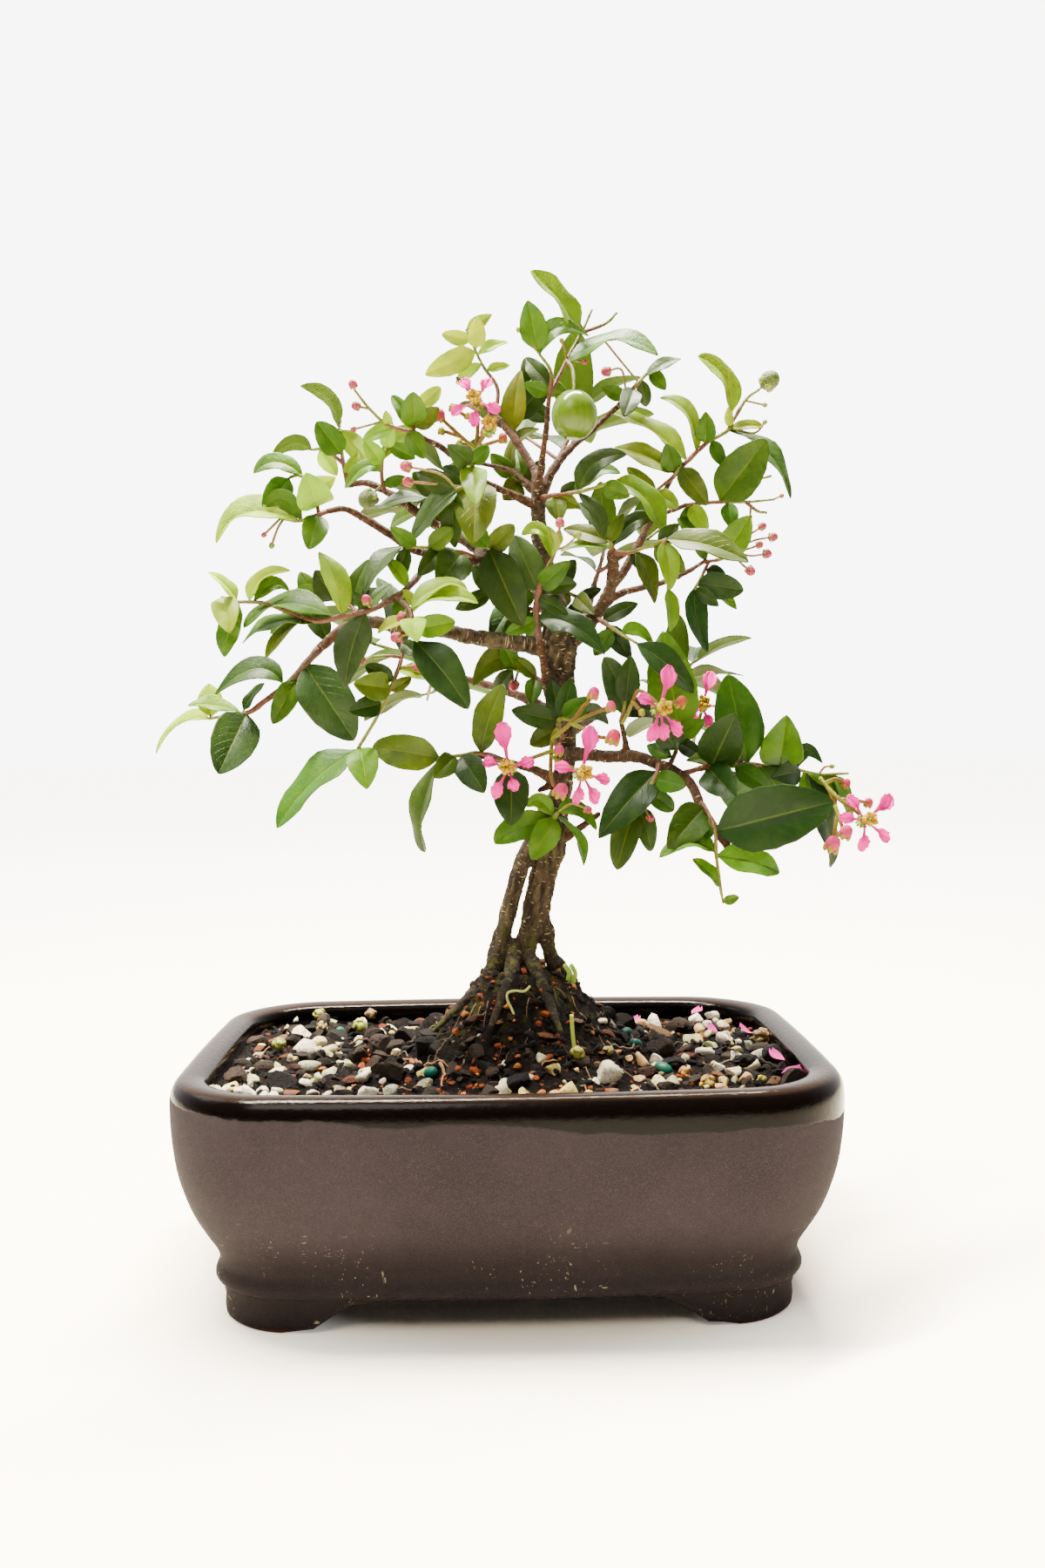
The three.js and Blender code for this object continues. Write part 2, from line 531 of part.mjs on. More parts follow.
    twigs: [
      [[-25, 269, -17], [-28.5, 270.8, -18], [-36, 273, -20], [-38.5, 274.5, -21], [-43, 279, -22],
        [-47.3, 284.5, -23]],
      [[-28.5, 270.8, -18], [-28, 275, -17], [-27, 279, -16]],
    ],
    radius: [0.75, 0.4],
    leaves: [
      [-28.4, 272, -35.5, 283, 5, 'green'], [-28.2, 273, -28.5, 284, 8, 'green'],
      [-27, 278.5, -19.5, 285.5, 5, 'pale'], [-28, 272.5, -20, 279, 6, 'olive'],
      [-35, 272.8, -45, 268.5, 4.5, 'bright'], [-36.5, 273.3, -37.5, 278, 3, 'pale'],
      [-30, 271.5, -25, 262.5, 6, 'green'],
    ],
    buds: [[1.4, -47.3, 284.5, -48, 286.5], [1.4, -42.5, 278.5, -47, 279.5], [0.9, -38.5, 274.5, -48, 272]],
  },
  {
    name: 'spray_centre_left',
    twigs: [
      [[-7, 255.5, -11], [-8, 258, -17], [-10, 261, -22]],
      [[-7.5, 256.8, -14], [-11, 254, -19], [-15, 252.5, -24]],
    ],
    radius: [0.8, 0.5],
    leaves: [
      [-9.3, 260, -8.5, 247.5, 8.5, 'bright', -4], [-8.5, 255.5, -9.3, 235, 13.5, 'olive'],
      [-14, 253, -29.5, 236, 6.5, 'blue'], [-15, 252, -15.5, 233.5, 7, 'dark', 4],
      [-10, 261, -17.5, 267, 7, 'blue'], [-9.5, 260.5, -4, 266.5, 5, 'green'],
      [-11, 254.5, -19, 260, 6, 'blue'], [-15.5, 252.5, -27.5, 258, 7, 'dark', 6],
    ],
    buds: [[1.8, -15, 253.5, -20, 257.5, -31, 260], [1.6, -13, 253.5, -24, 254.5, -30.5, 255]],
  },
  {
    name: 'spray_limb_left',
    twigs: [[[-9.5, 230.5, -8], [-13, 232, -15], [-22, 233.5, -21], [-31.5, 234, -25]]],
    radius: [0.8, 0.5],
    leaves: [
      [-13, 232, -21, 221.5, 12, 'dark', -6], [-31, 234, -45, 218.5, 4.5, 'dark', 0, -39, 229.5],
      [-31, 234, -33.5, 222.5, 5, 'dark', 4], [-24, 233.6, -16, 240, 6, 'green'],
      [-28, 234, -36.5, 240.5, 5, 'green'], [-20, 233.2, -27.5, 224.5, 6, 'dark', 3],
    ],
    buds: [],
  },
  {
    name: 'spray_centre_dark',
    twigs: [[[-3, 231, -5], [-4, 233, -11], [-4.5, 233.5, -15]]],
    radius: [0.9, 0.6],
    leaves: [
      [-4.3, 233.2, 6.5, 207.8, 13.5, 'dark'], [-3.8, 232.8, 4, 241, 7, 'olive'],
      [-4.5, 233.5, -13, 243, 7, 'green', 4],
    ],
    buds: [],
  },
  {
    name: 'spray_trunk_left',
    twigs: [[[15, 213, 1], [9, 213.5, 9], [2, 215.5, 14], [-4, 219, 18]]],
    radius: [0.9, 0.5],
    leaves: [
      [3, 215, -4, 204, 9, 'blue'], [9, 213.5, 0, 206, 6, 'green'], [8, 213.7, 4, 223, 7, 'green'],
      [-3.5, 219, -15.5, 213.5, 6, 'dark'], [-2, 218, 3, 227, 6, 'olive'], [-4, 219, -9.5, 228.5, 6, 'dark'],
      [11, 213.5, 9, 203, 6, 'green', 4],
    ],
    buds: [],
  },
  {
    name: 'spray_front_centre',
    twigs: [[[12, 203, -10], [11, 211, -12], [11.7, 219, -15], [14, 225, -18], [16.5, 230, -21],
      [17.5, 233, -23]]],
    radius: [1.2, 0.6],
    leaves: [
      [11.7, 219, 4, 237.5, 10.5, 'blue'], [12.3, 220.5, 22, 229, 7, 'green'],
      [16.3, 230, 6.5, 237.5, 4, 'bright', 0, 12.5, 239], [16.8, 231, 14.8, 240.5, 3, 'bright'],
      [17.5, 233, 18.8, 239.5, 2.5, 'bright'], [11.5, 217.5, 21.5, 211.5, 5, 'dark'],
      [11.3, 209.7, 33.5, 198.5, 8.5, 'blue', 0, 22, 208.5], [11.2, 210, 1, 205.5, 5, 'green'],
      [12.5, 221, 24.5, 221.5, 6, 'dark', 5],
    ],
    buds: [[1.5, 17.5, 233, 18.5, 236, 19, 241.5], [1.2, 17.5, 232.5, 21, 234, 24.8, 237.5]],
  },
  {
    name: 'spray_right_inner',
    twigs: [[[30.5, 210.5, 0], [33, 209, -6], [36, 207, -10], [39, 205, -13], [44, 202, -16]]],
    radius: [0.9, 0.5],
    leaves: [
      [32.5, 209.5, 44.5, 215, 5.5, 'dark'], [34, 208.3, 42, 197, 6.5, 'blue'],
      [39, 205, 49.5, 201.3, 4.5, 'bright', 0, 44, 206.5], [44, 202, 62.5, 185.8, 8.5, 'blue'],
      [36, 207, 30, 198, 6, 'green', 5],
    ],
    buds: [],
  },
  {
    name: 'spray_right_inner_back',
    twigs: [[[31, 212, 0], [27, 216, 8], [22, 218.5, 13], [17, 222, 17]]],
    radius: [0.8, 0.5],
    leaves: [
      [25, 217, 32.5, 220, 4, 'dark'], [24, 217.5, 30, 211.5, 6, 'olive'],
      [22, 218.5, 14.5, 213, 6, 'olive'], [18, 221.3, 24, 229.5, 7, 'dark'], [17, 222, 10, 227, 6, 'green'],
      [27, 216, 20, 209.5, 5, 'dark'],
    ],
    buds: [],
  },
  {
    name: 'spray_knob',
    twigs: [
      [[36.3, 231, -6], [36, 234, -9], [34.5, 236, -11]],
      [[36.3, 231.8, -7], [41, 231.5, -14], [46, 233, -20], [54, 236, -26]],
      [[53, 235.6, -25.5], [54.5, 228, -25], [54.3, 219.5, -24]],
    ],
    radius: [1, 0.5],
    leaves: [
      [36, 233.8, 49, 242, 6, 'dark', 0, 43, 241.5], [34.7, 236, 25, 248, 4.5, 'blue'],
      [34.8, 236, 31, 244.5, 4.5, 'olive'], [35.5, 235, 20, 239.5, 6, 'olive'],
      [35.7, 233.5, 19, 232.3, 3, 'bright'], [35.3, 235.2, 40, 244.5, 4.5, 'olive'],
      [54, 236, 81, 228.5, 7.5, 'olive'], [53, 235.5, 55.2, 219.5, 6.5, 'bright', -4],
      [54.3, 220, 55, 205.8, 4.5, 'bright'], [50, 234.5, 60, 225, 7, 'olive'],
      [44, 232.3, 50, 215, 6, 'olive'], [42, 231.6, 48, 224.5, 4, 'dark'], [51, 234.8, 58, 241, 5, 'dark'],
    ],
    buds: [],
  },
  {
    name: 'spray_centre_right',
    twigs: [[[12.5, 249.5, -3], [18, 250.5, -9], [25, 251.5, -14], [31, 253, -17], [37, 255, -19]]],
    radius: [0.9, 0.5],
    leaves: [
      [25, 251.7, 41, 263.5, 7, 'dark', 0, 31, 261], [24, 251.5, 39, 257.5, 5, 'green', 4, 31, 258],
      [37, 255, 53.5, 236.3, 6.5, 'bright', 0, 47, 249], [18, 250.5, 25.5, 246.5, 5, 'olive'],
      [25, 251.3, 33.3, 236.5, 4.5, 'blue', 0, 31, 244], [19, 250.8, 25.5, 254.5, 4, 'dark'],
      [33, 253.7, 42, 250, 6, 'green'], [17.5, 250.3, 19, 241.5, 7, 'olive', 4],
    ],
    buds: [],
  },
  {
    name: 'spray_right_top',
    twigs: [
      [[60, 260.5, 11], [67, 267, 14], [75, 272, 17], [75.5, 277, 17]],
      [[74.5, 271.7, 17], [80, 281, 19], [84.5, 284.5, 20]],
    ],
    radius: [0.85, 0.5],
    leaves: [
      [61, 261.5, 36.5, 277, 5.5, 'bright', 0, 48, 272], [67, 267, 67, 277.5, 7, 'green'],
      [74.8, 272.2, 74.5, 279, 3, 'pale', -3], [75.5, 277, 64.5, 295.5, 5.5, 'bright', 0, 73, 288.5],
      [75.2, 272, 86, 272.5, 3.5, 'pale'], [64, 264.3, 52, 282, 4, 'bright', 0, 60.5, 277],
      [74.5, 271.5, 95, 249, 4.5, 'green', 0, 87.5, 263.5], [69, 268.2, 73, 259.5, 5, 'green'],
    ],
    buds: [[3.3, 84.5, 284.5, 88, 287.5], [0.7, 75, 272, 83, 270.5, 86.5, 274], [0.6, 80, 281, 86.5, 279.5]],
  },
  {
    name: 'spray_right_mid',
    twigs: [
      [[55, 254.5, 9], [57, 257.5, 4], [58.5, 259.5, 0]],
      [[56, 256, 6.5], [51, 252, 2], [49.5, 249, 0]],
    ],
    radius: [0.8, 0.5],
    leaves: [
      [56.5, 258, 54, 267, 7, 'green'], [56.5, 257.7, 37, 266, 6.5, 'olive'],
      [58.5, 259.5, 67.5, 247, 7.5, 'olive'], [50, 249.5, 41, 259.5, 5.5, 'olive'],
      [51, 251, 58, 246.5, 6, 'bright'], [49.5, 249, 43, 243, 5, 'green'],
    ],
    buds: [],
  },
  {
    name: 'spray_right_side',
    twigs: [
      [[60, 247, 12], [70, 248, 18], [80, 248, 24], [89.5, 248.8, 28]],
      [[79, 248, 23.5], [83, 254.5, 25], [88.5, 256.5, 27]],
      [[80, 248, 24], [84, 245, 26], [87, 244.5, 27]],
    ],
    radius: [0.8, 0.45],
    leaves: [
      [71.5, 248.5, 87, 268.3, 15, 'green', 3], [62, 247.3, 67.5, 238, 6, 'pale'],
      [65, 247.6, 58, 241, 5, 'green'], [66, 247.8, 62, 257, 6, 'dark'], [74, 248, 76, 239, 6, 'green', 4],
    ],
    buds: [[0.7, 89, 248.8, 92, 250], [0.7, 82, 247, 81.5, 243]],
  },
  {
    name: 'spray_right_buds',
    twigs: [
      [[66, 228.5, 15], [72, 229.5, 18], [76, 232.5, 19]],
      [[68, 228.8, 16], [65, 223, 12], [63, 219.5, 9]],
    ],
    radius: [0.8, 0.5],
    leaves: [
      [73, 230.3, 81.5, 243.5, 10, 'bright'], [67, 228.8, 57.5, 243, 5, 'green'],
      [64, 222, 79.3, 219, 9, 'blue'], [63.5, 220, 71, 214, 5, 'blue', 3],
      [64, 221, 77, 213, 4.5, 'bright', 4, 71, 218], [63.2, 220, 67.3, 199, 6.5, 'blue', 0, 63.5, 210],
      [67, 226, 73.5, 224, 5, 'dark', 4],
    ],
    buds: [
      [1.4, 76, 232.5, 81, 237, 85.5, 240], [1.6, 76, 232.5, 83, 235.5, 89, 236.5],
      [1.3, 76, 232.5, 80, 232.5, 84.5, 234], [1.6, 76, 232.2, 81, 230.5, 87, 231],
      [1.7, 75.5, 232, 78.5, 228, 81.5, 225.5],
    ],
  },
  {
    name: 'spray_top_centre',
    twigs: [
      [[15.5, 280, -11], [16.5, 290, -12], [12.5, 296.5, -12]],
      [[15.8, 283, -11.3], [17.5, 286, -10.5], [22, 295, -7], [26.5, 303, -4], [30, 310.5, -2]],
      [[26.5, 303, -4], [34.5, 306, -3], [38, 309.5, -2]],
      [[21.5, 294, -7.4], [23.5, 291, -15], [23.9, 284.1, -20]],
    ],
    radius: [0.8, 0.45],
    leaves: [
      [26, 302, 10, 323, 6, 'bright'], [12.5, 297, 9, 313.5, 9, 'dark'],
      [13, 296.5, 29, 302, 5.5, 'green', 0, 18.5, 304.5], [21, 293, 51.5, 295.7, 4.5, 'green', 0, 37, 300.5],
      [16, 286, 8, 295, 6, 'dark', 6], [15.8, 283.5, 7.5, 286.5, 5, 'green'],
    ],
    buds: [
      [0.6, 22, 294.5, 27.5, 293.5], [0.6, 22, 294.5, 20, 300.5], [0.6, 12.5, 296.5, 6, 304],
      [0.6, 27, 304, 24.5, 309],
    ],
  },
  {
    name: 'spray_top_right',
    twigs: [[[38, 279, 11], [46, 288, 15], [50.5, 292.5, 18]]],
    radius: [0.85, 0.5],
    leaves: [
      [47, 289, 59, 294.7, 3.5, 'dark'], [43.5, 285, 40.3, 276, 7, 'dark', -3],
      [46, 288, 47.5, 279, 5, 'dark'],
      [49, 291, 54, 284.5, 5, 'green'], [40.5, 282, 33, 285.5, 5, 'green', 4],
    ],
    buds: [[1.7, 41, 282.5, 39.5, 291, 34.5, 290.5], [1, 45, 287, 40, 293, 33.5, 301]],
  },
  {
    name: 'spray_top_light',
    twigs: [[[-2, 276, 7], [-1, 285, 9], [-6, 293, 11], [-11, 304, 13]]],
    radius: [0.7, 0.45],
    leaves: [
      [-8, 297, -24.5, 289.5, 8, 'pale'], [-9.5, 300.5, -19, 302.5, 5, 'pale'],
      [-6, 293, -14.5, 286.5, 4, 'pale', 4],
      [-11, 304, -2.5, 309, 4.5, 'pale'], [-8, 298, -7, 308, 6, 'pale'], [-7.5, 296, 2.5, 300, 3, 'pale'],
      [-4.5, 291, 3, 292.5, 3, 'pale'],
    ],
    buds: [],
  },
  {
    name: 'spray_top_back',
    twigs: [
      [[4, 269, 4], [4.5, 273, 10], [8, 280, 15], [13, 286, 18]],
      ],
    radius: [0.8, 0.5],
    leaves: [
      [4.2, 271, 6.5, 291, 8, 'olive'], [5, 274.5, 16, 290, 8.5, 'dark'], [11, 283.5, 8, 295, 6, 'dark'],
      [4.5, 273, -4.5, 278, 6, 'green'], [13, 286, 21.5, 284, 6, 'green'], [8, 280, 16, 274.5, 7, 'dark'],
    ],
    buds: [],
  },
  {
    name: 'spray_crown_inner',
    twigs: [[[10.5, 251, -1], [7.5, 253.5, 6], [3.5, 256.5, 11]]],
    radius: [0.8, 0.5],
    leaves: [
      [7.5, 254, 4.5, 266.5, 8, 'green'], [6, 254.6, 0.5, 249, 8, 'olive'],
      [4, 256.5, 12.5, 272, 4, 'olive', 0, 4.5, 267], [4, 256, -3.5, 264, 6, 'green'],
      [8, 253.3, 14, 262, 6, 'dark'],
    ],
    buds: [],
  },
  {
    name: 'spray_trunk_front',
    twigs: [[[19.5, 171, -3], [18, 175, -9], [18.5, 177.5, -13], [23, 177, -16]]],
    radius: [0.9, 0.6],
    leaves: [
      [18, 176.7, 2.5, 180.5, 7.5, 'dark'], [18.2, 177.4, 15.8, 190.5, 6.5, 'dark'],
      [19, 177.5, 22.5, 190.5, 7, 'dark'], [20, 177.3, 28.5, 184.7, 7.5, 'green'],
      [23, 177, 34.5, 175.5, 5.5, 'dark', 0, 29, 180], [17.8, 174.5, 8.5, 169, 7, 'olive'],
      [18.3, 175.5, 20, 166, 5.5, 'blue'],
    ],
    buds: [],
  },
  {
    name: 'spray_trunk_mid_left',
    twigs: [[[15, 188, -1], [10, 191.5, 4], [3, 194, 8]]],
    radius: [0.9, 0.5],
    leaves: [
      [5, 193.5, -10, 188.5, 9, 'olive', 0, -2, 197.5], [11, 191, 3.5, 198, 5, 'olive'],
      [10.5, 191.3, 9, 182, 6, 'green'], [4, 193.7, 0, 202, 6, 'green'], [3.2, 194, -3, 186, 6, 'dark', 5],
    ],
    buds: [[1.8, 5, 193.5, 3.5, 188.5]],
  },
  {
    name: 'spray_lower_left',
    twigs: [
      [[-2, 164.5, -10], [-5, 165.5, -15], [-9, 166.6, -17], [-14, 165.8, -19], [-21, 165, -22]],
      [[-5, 165.5, -15], [-1, 164, -16], [2.5, 161.5, -17]],
    ],
    radius: [0.8, 0.5],
    leaves: [
      [-7.5, 166.5, 0, 189, 9, 'olive'], [-21, 165, -43, 169, 11, 'olive'],
      [-14, 165.7, -6.5, 153.5, 9.5, 'dark'], [-20.5, 165, -26.3, 134, 5, 'olive', 0, -26.8, 148],
      [-16, 165.5, -23, 158.5, 7, 'olive', 5], [2.3, 161.7, 2.2, 142.5, 11.5, 'dark', 6],
      [-2, 164.5, 0.5, 140.5, 4, 'pale', 8],
    ],
    buds: [],
  },
  {
    name: 'spray_base_front',
    twigs: [[[17, 142, -3], [16.5, 145, -10], [17.5, 146.5, -14]]],
    radius: [0.9, 0.6],
    leaves: [
      [16.8, 145, 8.8, 131.3, 9, 'bright'],
      [16, 144.5, -3.3, 136.5, 9, 'bright', 3, 4, 141.5],
      [16.3, 145.5, 7.5, 148.5, 5.5, 'bright', 0, 11.5, 150.5],
      [17.5, 146.5, 30.3, 140.8, 5, 'bright', 0, 24, 147.8], [17, 145.8, 26, 129, 2.6, 'bright', 0, 23.5, 138],
    ],
    buds: [[1.3, 17.5, 146.3, 22, 149.5, 27.5, 147.5]],
  },
  {
    name: 'spray_right_low_mid',
    twigs: [[[51, 162.5, -17], [50.3, 159, -23], [47, 153, -24], [43, 147.5, -23]]],
    radius: [0.9, 0.5],
    leaves: [
      [50.5, 160, 31, 138, 12.5, 'dark', -4], [43.5, 148, 37, 127.5, 9, 'olive'],
      [44, 148.8, 48.3, 133.5, 6.5, 'olive'], [49.5, 157.5, 60, 155, 7, 'green'],
      [47.5, 153.5, 56, 147, 6, 'green', 3],
    ],
    buds: [[1.2, 45, 150.3, 48, 144.5]],
  },
  {
    name: 'spray_right_low_end',
    twigs: [[[64.7, 149.5, -26], [66.5, 147.5, -32], [69.5, 140.5, -36], [69.8, 133, -37], [71.3, 121, -37],
      [72.2, 116, -37]]],
    radius: [0.8, 0.4],
    leaves: [
      [69.7, 140, 109, 149.3, 19, 'dark', -5], [69.7, 133, 51, 131.5, 5.5, 'bright', 0, 61, 136.5],
      [69.9, 132, 91, 126.3, 8.5, 'bright'], [71.3, 121.3, 62, 130.8, 3.5, 'bright', -3],
      [72, 116.5, 77.5, 118, 3, 'bright'], [66, 148, 53.7, 134.3, 11.5, 'olive', 3],
      [67.5, 145, 64, 136, 7, 'green', 6],
    ],
    buds: [],
  },
  {
    name: 'spray_right_low_top',
    twigs: [[[59, 159, -20], [66, 161, -17], [74, 162, -13], [82, 162, -9], [90, 160.8, -6], [97, 160, -4],
      [104, 158.3, -3], [109, 158.5, -2], [114, 158.6, -1]]],
    radius: [1, 0.45],
    leaves: [
      [80.5, 162.5, 74, 191.7, 15.5, 'blue'], [91, 161, 93.5, 178, 14, 'bright'],
      [79, 162.3, 66.5, 169.5, 7, 'olive', -4], [78, 162.2, 60, 163.5, 6, 'olive', 3],
      [68.5, 161.5, 76.5, 178.5, 14, 'dark', 6], [97, 160.5, 105.3, 162, 5, 'blue', 0, 100, 166.5],
      [98, 159.6, 88, 157.5, 8.5, 'blue', -3], [67, 161, 76.5, 151, 11, 'dark', -3],
      [99, 159.3, 104.3, 150.8, 9, 'bright'], [76, 161.8, 89, 152.5, 7, 'green'],
      [104, 158.3, 113, 150, 4, 'bright'], [100, 159, 108, 127.5, 7, 'dark', 3],
      [84, 161.8, 97, 146, 11, 'green', 8], [109, 158.2, 114.3, 142.3, 4, 'bright', 4],
      [70, 161.3, 84, 144, 11, 'green', 8],
    ],
    buds: [[0.6, 104, 158.3, 106, 160.8, 108.5, 161]],
  },
  {
    name: 'spray_right_low_inner',
    twigs: [[[38.5, 176.5, -10], [39.5, 180, -14], [40, 183, -16]]],
    radius: [0.8, 0.5],
    leaves: [
      [39.2, 178.5, 33, 197.5, 9, 'blue', -3, 37.5, 189], [40, 182, 42, 198, 8, 'dark'],
      [39, 178, 52.5, 175.5, 5.5, 'dark', 4, 46, 180.5], [38.8, 177.2, 45.8, 165, 5, 'olive', 3],
      [38.7, 176.8, 33.5, 160.8, 7, 'dark', -3],
    ],
    buds: [],
  },
  {
    name: 'spray_right_upright',
    twigs: [[[54, 161, -18], [56.5, 166, -11], [58, 172, -7]]],
    radius: [0.9, 0.6],
    leaves: [
      [58, 172, 52.5, 206, 16, 'bright'], [56.8, 167, 49.5, 178.5, 9, 'blue', -4],
      [57.5, 169.5, 65.3, 164.5, 5.5, 'dark'], [57.9, 171.5, 66.5, 177, 6, 'bright'],
      [55.5, 164.5, 47, 168.5, 5, 'green'],
    ],
    buds: [],
  },
];

// Sprays on the far side, which continue the rear limbs: leaves stand in opposite pairs, each pair turned
// a quarter against the one before
const REAR_SPRAYS = [
  { name: 'spray_rear_right_high', twigs: [
    [[30, 221, 42], [33, 231, 52], [35, 243, 62]], [[31, 225, 46], [42, 232, 48], [53, 240, 46]]] },
  { name: 'spray_rear_left_high', twigs: [
    [[-9, 239, 42], [-15, 249, 50], [-18, 260, 58]], [[-11, 243, 45], [-24, 244, 44], [-36, 247, 38]]] },
  { name: 'spray_rear_right_low', twigs: [
    [[46, 184, 40], [56, 190, 48], [64, 197, 52]], [[48, 185, 42], [54, 178, 52], [58, 172, 62]]] },
  { name: 'spray_rear_left_low', twigs: [
    [[-20, 193, 38], [-32, 199, 44], [-44, 203, 46]], [[-22, 194, 39], [-24, 188, 50], [-25, 184, 61]]] },
  { name: 'spray_rear_crown', twigs: [
    [[18, 261, 24], [23, 271, 34], [27, 281, 42]], [[18.5, 262, 25], [10, 268, 34], [2, 273, 42]]] },
];

// Flower clusters: stalks are paths of x, z, y, knobs are x, z, y, radius
const CLUSTERS = [
  {
    name: 'cluster_centre',
    stalks: [
      [[17.5, 174, -9.5], [16, 171, -15], [15.3, 160, -20], [16.5, 155, -24]],
      [[16, 171, -15], [18, 167, -20]],
      [[15.8, 167, -17], [9, 164.6, -24], [1.5, 161.5, -30]],
      [[15.8, 165, -18], [20, 162.5, -24], [25.5, 159.5, -29]],
      [[16, 171, -15], [22, 176, -22], [26, 181, -23], [29.3, 184.5, -24]],
      [[22, 176, -22], [29, 179, -24], [34.5, 181, -26]],
      [[22, 176, -22], [26.5, 174, -25], [31, 171.5, -28], [33.5, 171.2, -29]],
    ],
    knobs: [[18.5, 153.6, -25, 2.7], [18, 167, -21, 2], [29.6, 185.5, -24.5, 2.2], [35.2, 181.2, -26.5, 1.9],
      [36, 171, -30.5, 2.7]],
  },
  {
    name: 'cluster_right',
    stalks: [
      [[38.9, 175.8, -10.4], [40.5, 178.5, -15], [42.5, 183, -21], [44.5, 186.5, -24], [48.5, 184.3, -27],
        [51.5, 181, -30]],
      [[42.5, 183, -21], [45, 180, -26]], [[51.5, 181, -30], [55, 182.5, -27], [58, 182.5, -26]],
    ],
    knobs: [[58.4, 182.5, -25.5, 2.1], [45.5, 179.3, -26.5, 1.2]],
  },
  {
    name: 'cluster_behind',
    stalks: [[[66, 162.5, -13.5], [63.8, 164.5, -4], [62.5, 167.5, 8], [63, 172, 19], [65.2, 179.5, 20.5]]],
    knobs: [],
  },
  {
    name: 'cluster_right_end',
    stalks: [
      [[104.5, 157.2, -4.5], [107, 154, -8], [109.5, 148, -10], [110.2, 144.5, -10.5]],
      [[107, 154, -8], [111, 150, -11], [116, 146.5, -12.5], [119.3, 143.4, -14]],
      [[109.5, 148, -10], [111.5, 142, -14], [112.5, 137, -15]],
      [[106, 155.4, -6.6], [109.5, 156.8, -6], [113, 155.5, -6]],
      [[111, 150, -11], [117, 149.5, -7], [120, 148.8, -4]],
      [[110.2, 144.5, -10.5], [109.3, 139, -10], [108.8, 136, -10]],
    ],
    knobs: [[113.2, 155.2, -6, 1.7], [120.6, 148.7, -3.6, 1.8], [108.6, 135, -10, 3], [113, 139, -15.5, 2.6]],
  },
  {
    name: 'cluster_upper_left',
    stalks: [
      [[-7.4, 261.5, 8], [-8, 266, 2], [-7.5, 274, -6], [-8, 280.5, -10]], [[-8, 266, 2], [-5, 270.5, -8]],
      [[-7.8, 265, 3.6], [-13, 269.5, -4], [-19.5, 275.5, -8]], [[-7.8, 265, 3.6], [-13, 267.5, -2]],
      [[-13, 269.5, -4], [-18.5, 271.3, -5]], [[-7.5, 274, -6], [-11, 276, -8], [-15.5, 278.5, -9]],
      [[-8, 266, 2], [0, 268.5, -8]],
    ],
    knobs: [
      [-20, 276.2, -8.4, 2.2], [-19.5, 271.3, -5, 1.4], [-13.6, 267.4, -2, 1.3], [-15.8, 278.8, -9, 1.5],
      [-10.8, 276.1, -8, 1.3], [0.6, 268.8, -8.4, 1.8], [-4.8, 271.2, -9, 2.2],
    ],
  },
];

// Flowers: centre x, z, y, the direction that the flower faces, and the seen x, z of its petal tips
const BLOOMS = [
  { name: 'bloom_a', cluster: 'cluster_centre', at: [1.5, 161.5, -32], face: [-0.25, -1, 0.15],
    tips: [[-0.5, 176.5], [9.8, 163.8], [3.8, 154], [-3.4, 151.6], [-6.6, 164]] },
  { name: 'bloom_b', cluster: 'cluster_centre', at: [25.5, 159.5, -31], face: [0.3, -1, 0.1],
    tips: [[28.8, 175], [16.6, 162.2], [23.4, 149.6], [30.4, 149.4], [34.6, 156.8]] },
  { name: 'bloom_c', cluster: 'cluster_right', at: [51.5, 180.5, -32], face: [0.35, -1, 0.15],
    tips: [[54.6, 194.6], [44.3, 184.6], [47.8, 169.8], [52.6, 170.2], [58, 171.6]] },
  { name: 'bloom_d', cluster: 'cluster_behind', at: [65.5, 181.5, 13], face: [0, -1, 0.3],
    tips: [[68.6, 192.4], [60.4, 186.4], [61, 176.6], [67.6, 174.8], [76, 180.4]] },
  { name: 'bloom_e', cluster: 'cluster_right_end', at: [119.5, 143, -17], face: [0.3, -1, 0.2],
    tips: [[113.6, 151.2], [128.4, 151], [127.2, 136], [118, 132.8], [110.8, 144]] },
  { name: 'bloom_f', cluster: 'cluster_upper_left', at: [-8, 281, -12], face: [-0.2, -1, 0.3],
    tips: [[-16, 276.6], [-12.4, 288], [-3.2, 288], [-0.4, 277.4], [-8.6, 272.8]] },
];

const CHERRY = { at: [24, 277, -20], radius: 7 };

// Leaves

// Parts of a leaf's length and of its full width there
const BLADE = [[0, 0.12], [0.36, 1], [0.74, 0.76]];

const SHORT_LEAF = 15;
const SHORT_MIDDLE = [0.48, 1];

// How far the two halves of a leaf stand up from the midrib: young leaves are folded more
const FOLD = { bright: 0.26, green: 0.16, dark: 0.14, blue: 0.16, olive: 0.2, pale: 0.34 };

function crossSection(at, along, normal, halfWidth, lift, drop) {
  const side = new THREE.Vector3().crossVectors(along, normal).normalize();
  const up = new THREE.Vector3().crossVectors(side, along).normalize();
  return [
    at.clone().addScaledVector(side, -halfWidth).addScaledVector(up, lift),
    at.clone().addScaledVector(side, halfWidth).addScaledVector(up, lift),
    at.clone().addScaledVector(up, -drop),
  ];
}

// Sections of left edge, right edge and keel under the midrib, closed by a pointed tip. The two lower faces
// split alike.
function bladeSolid(sections, tip) {
  const points = [...sections.flat(), tip];
  const faces = [[0, 1, 2]];
  const last = sections.length - 1;
  for (let i = 0; i < last; i += 1) {
    const [left, right, keel] = [i * 3, i * 3 + 1, i * 3 + 2];
    faces.push([left, left + 3, right + 3], [left, right + 3, right]);
    faces.push([left, keel + 3, left + 3], [left, keel, keel + 3]);
    faces.push([right, right + 3, keel + 3], [right, keel + 3, keel]);
  }
  for (let j = 0; j < 3; j += 1) faces.push([last * 3 + j, points.length - 1, last * 3 + ((j + 1) % 3)]);
  return solid(points, faces);
}

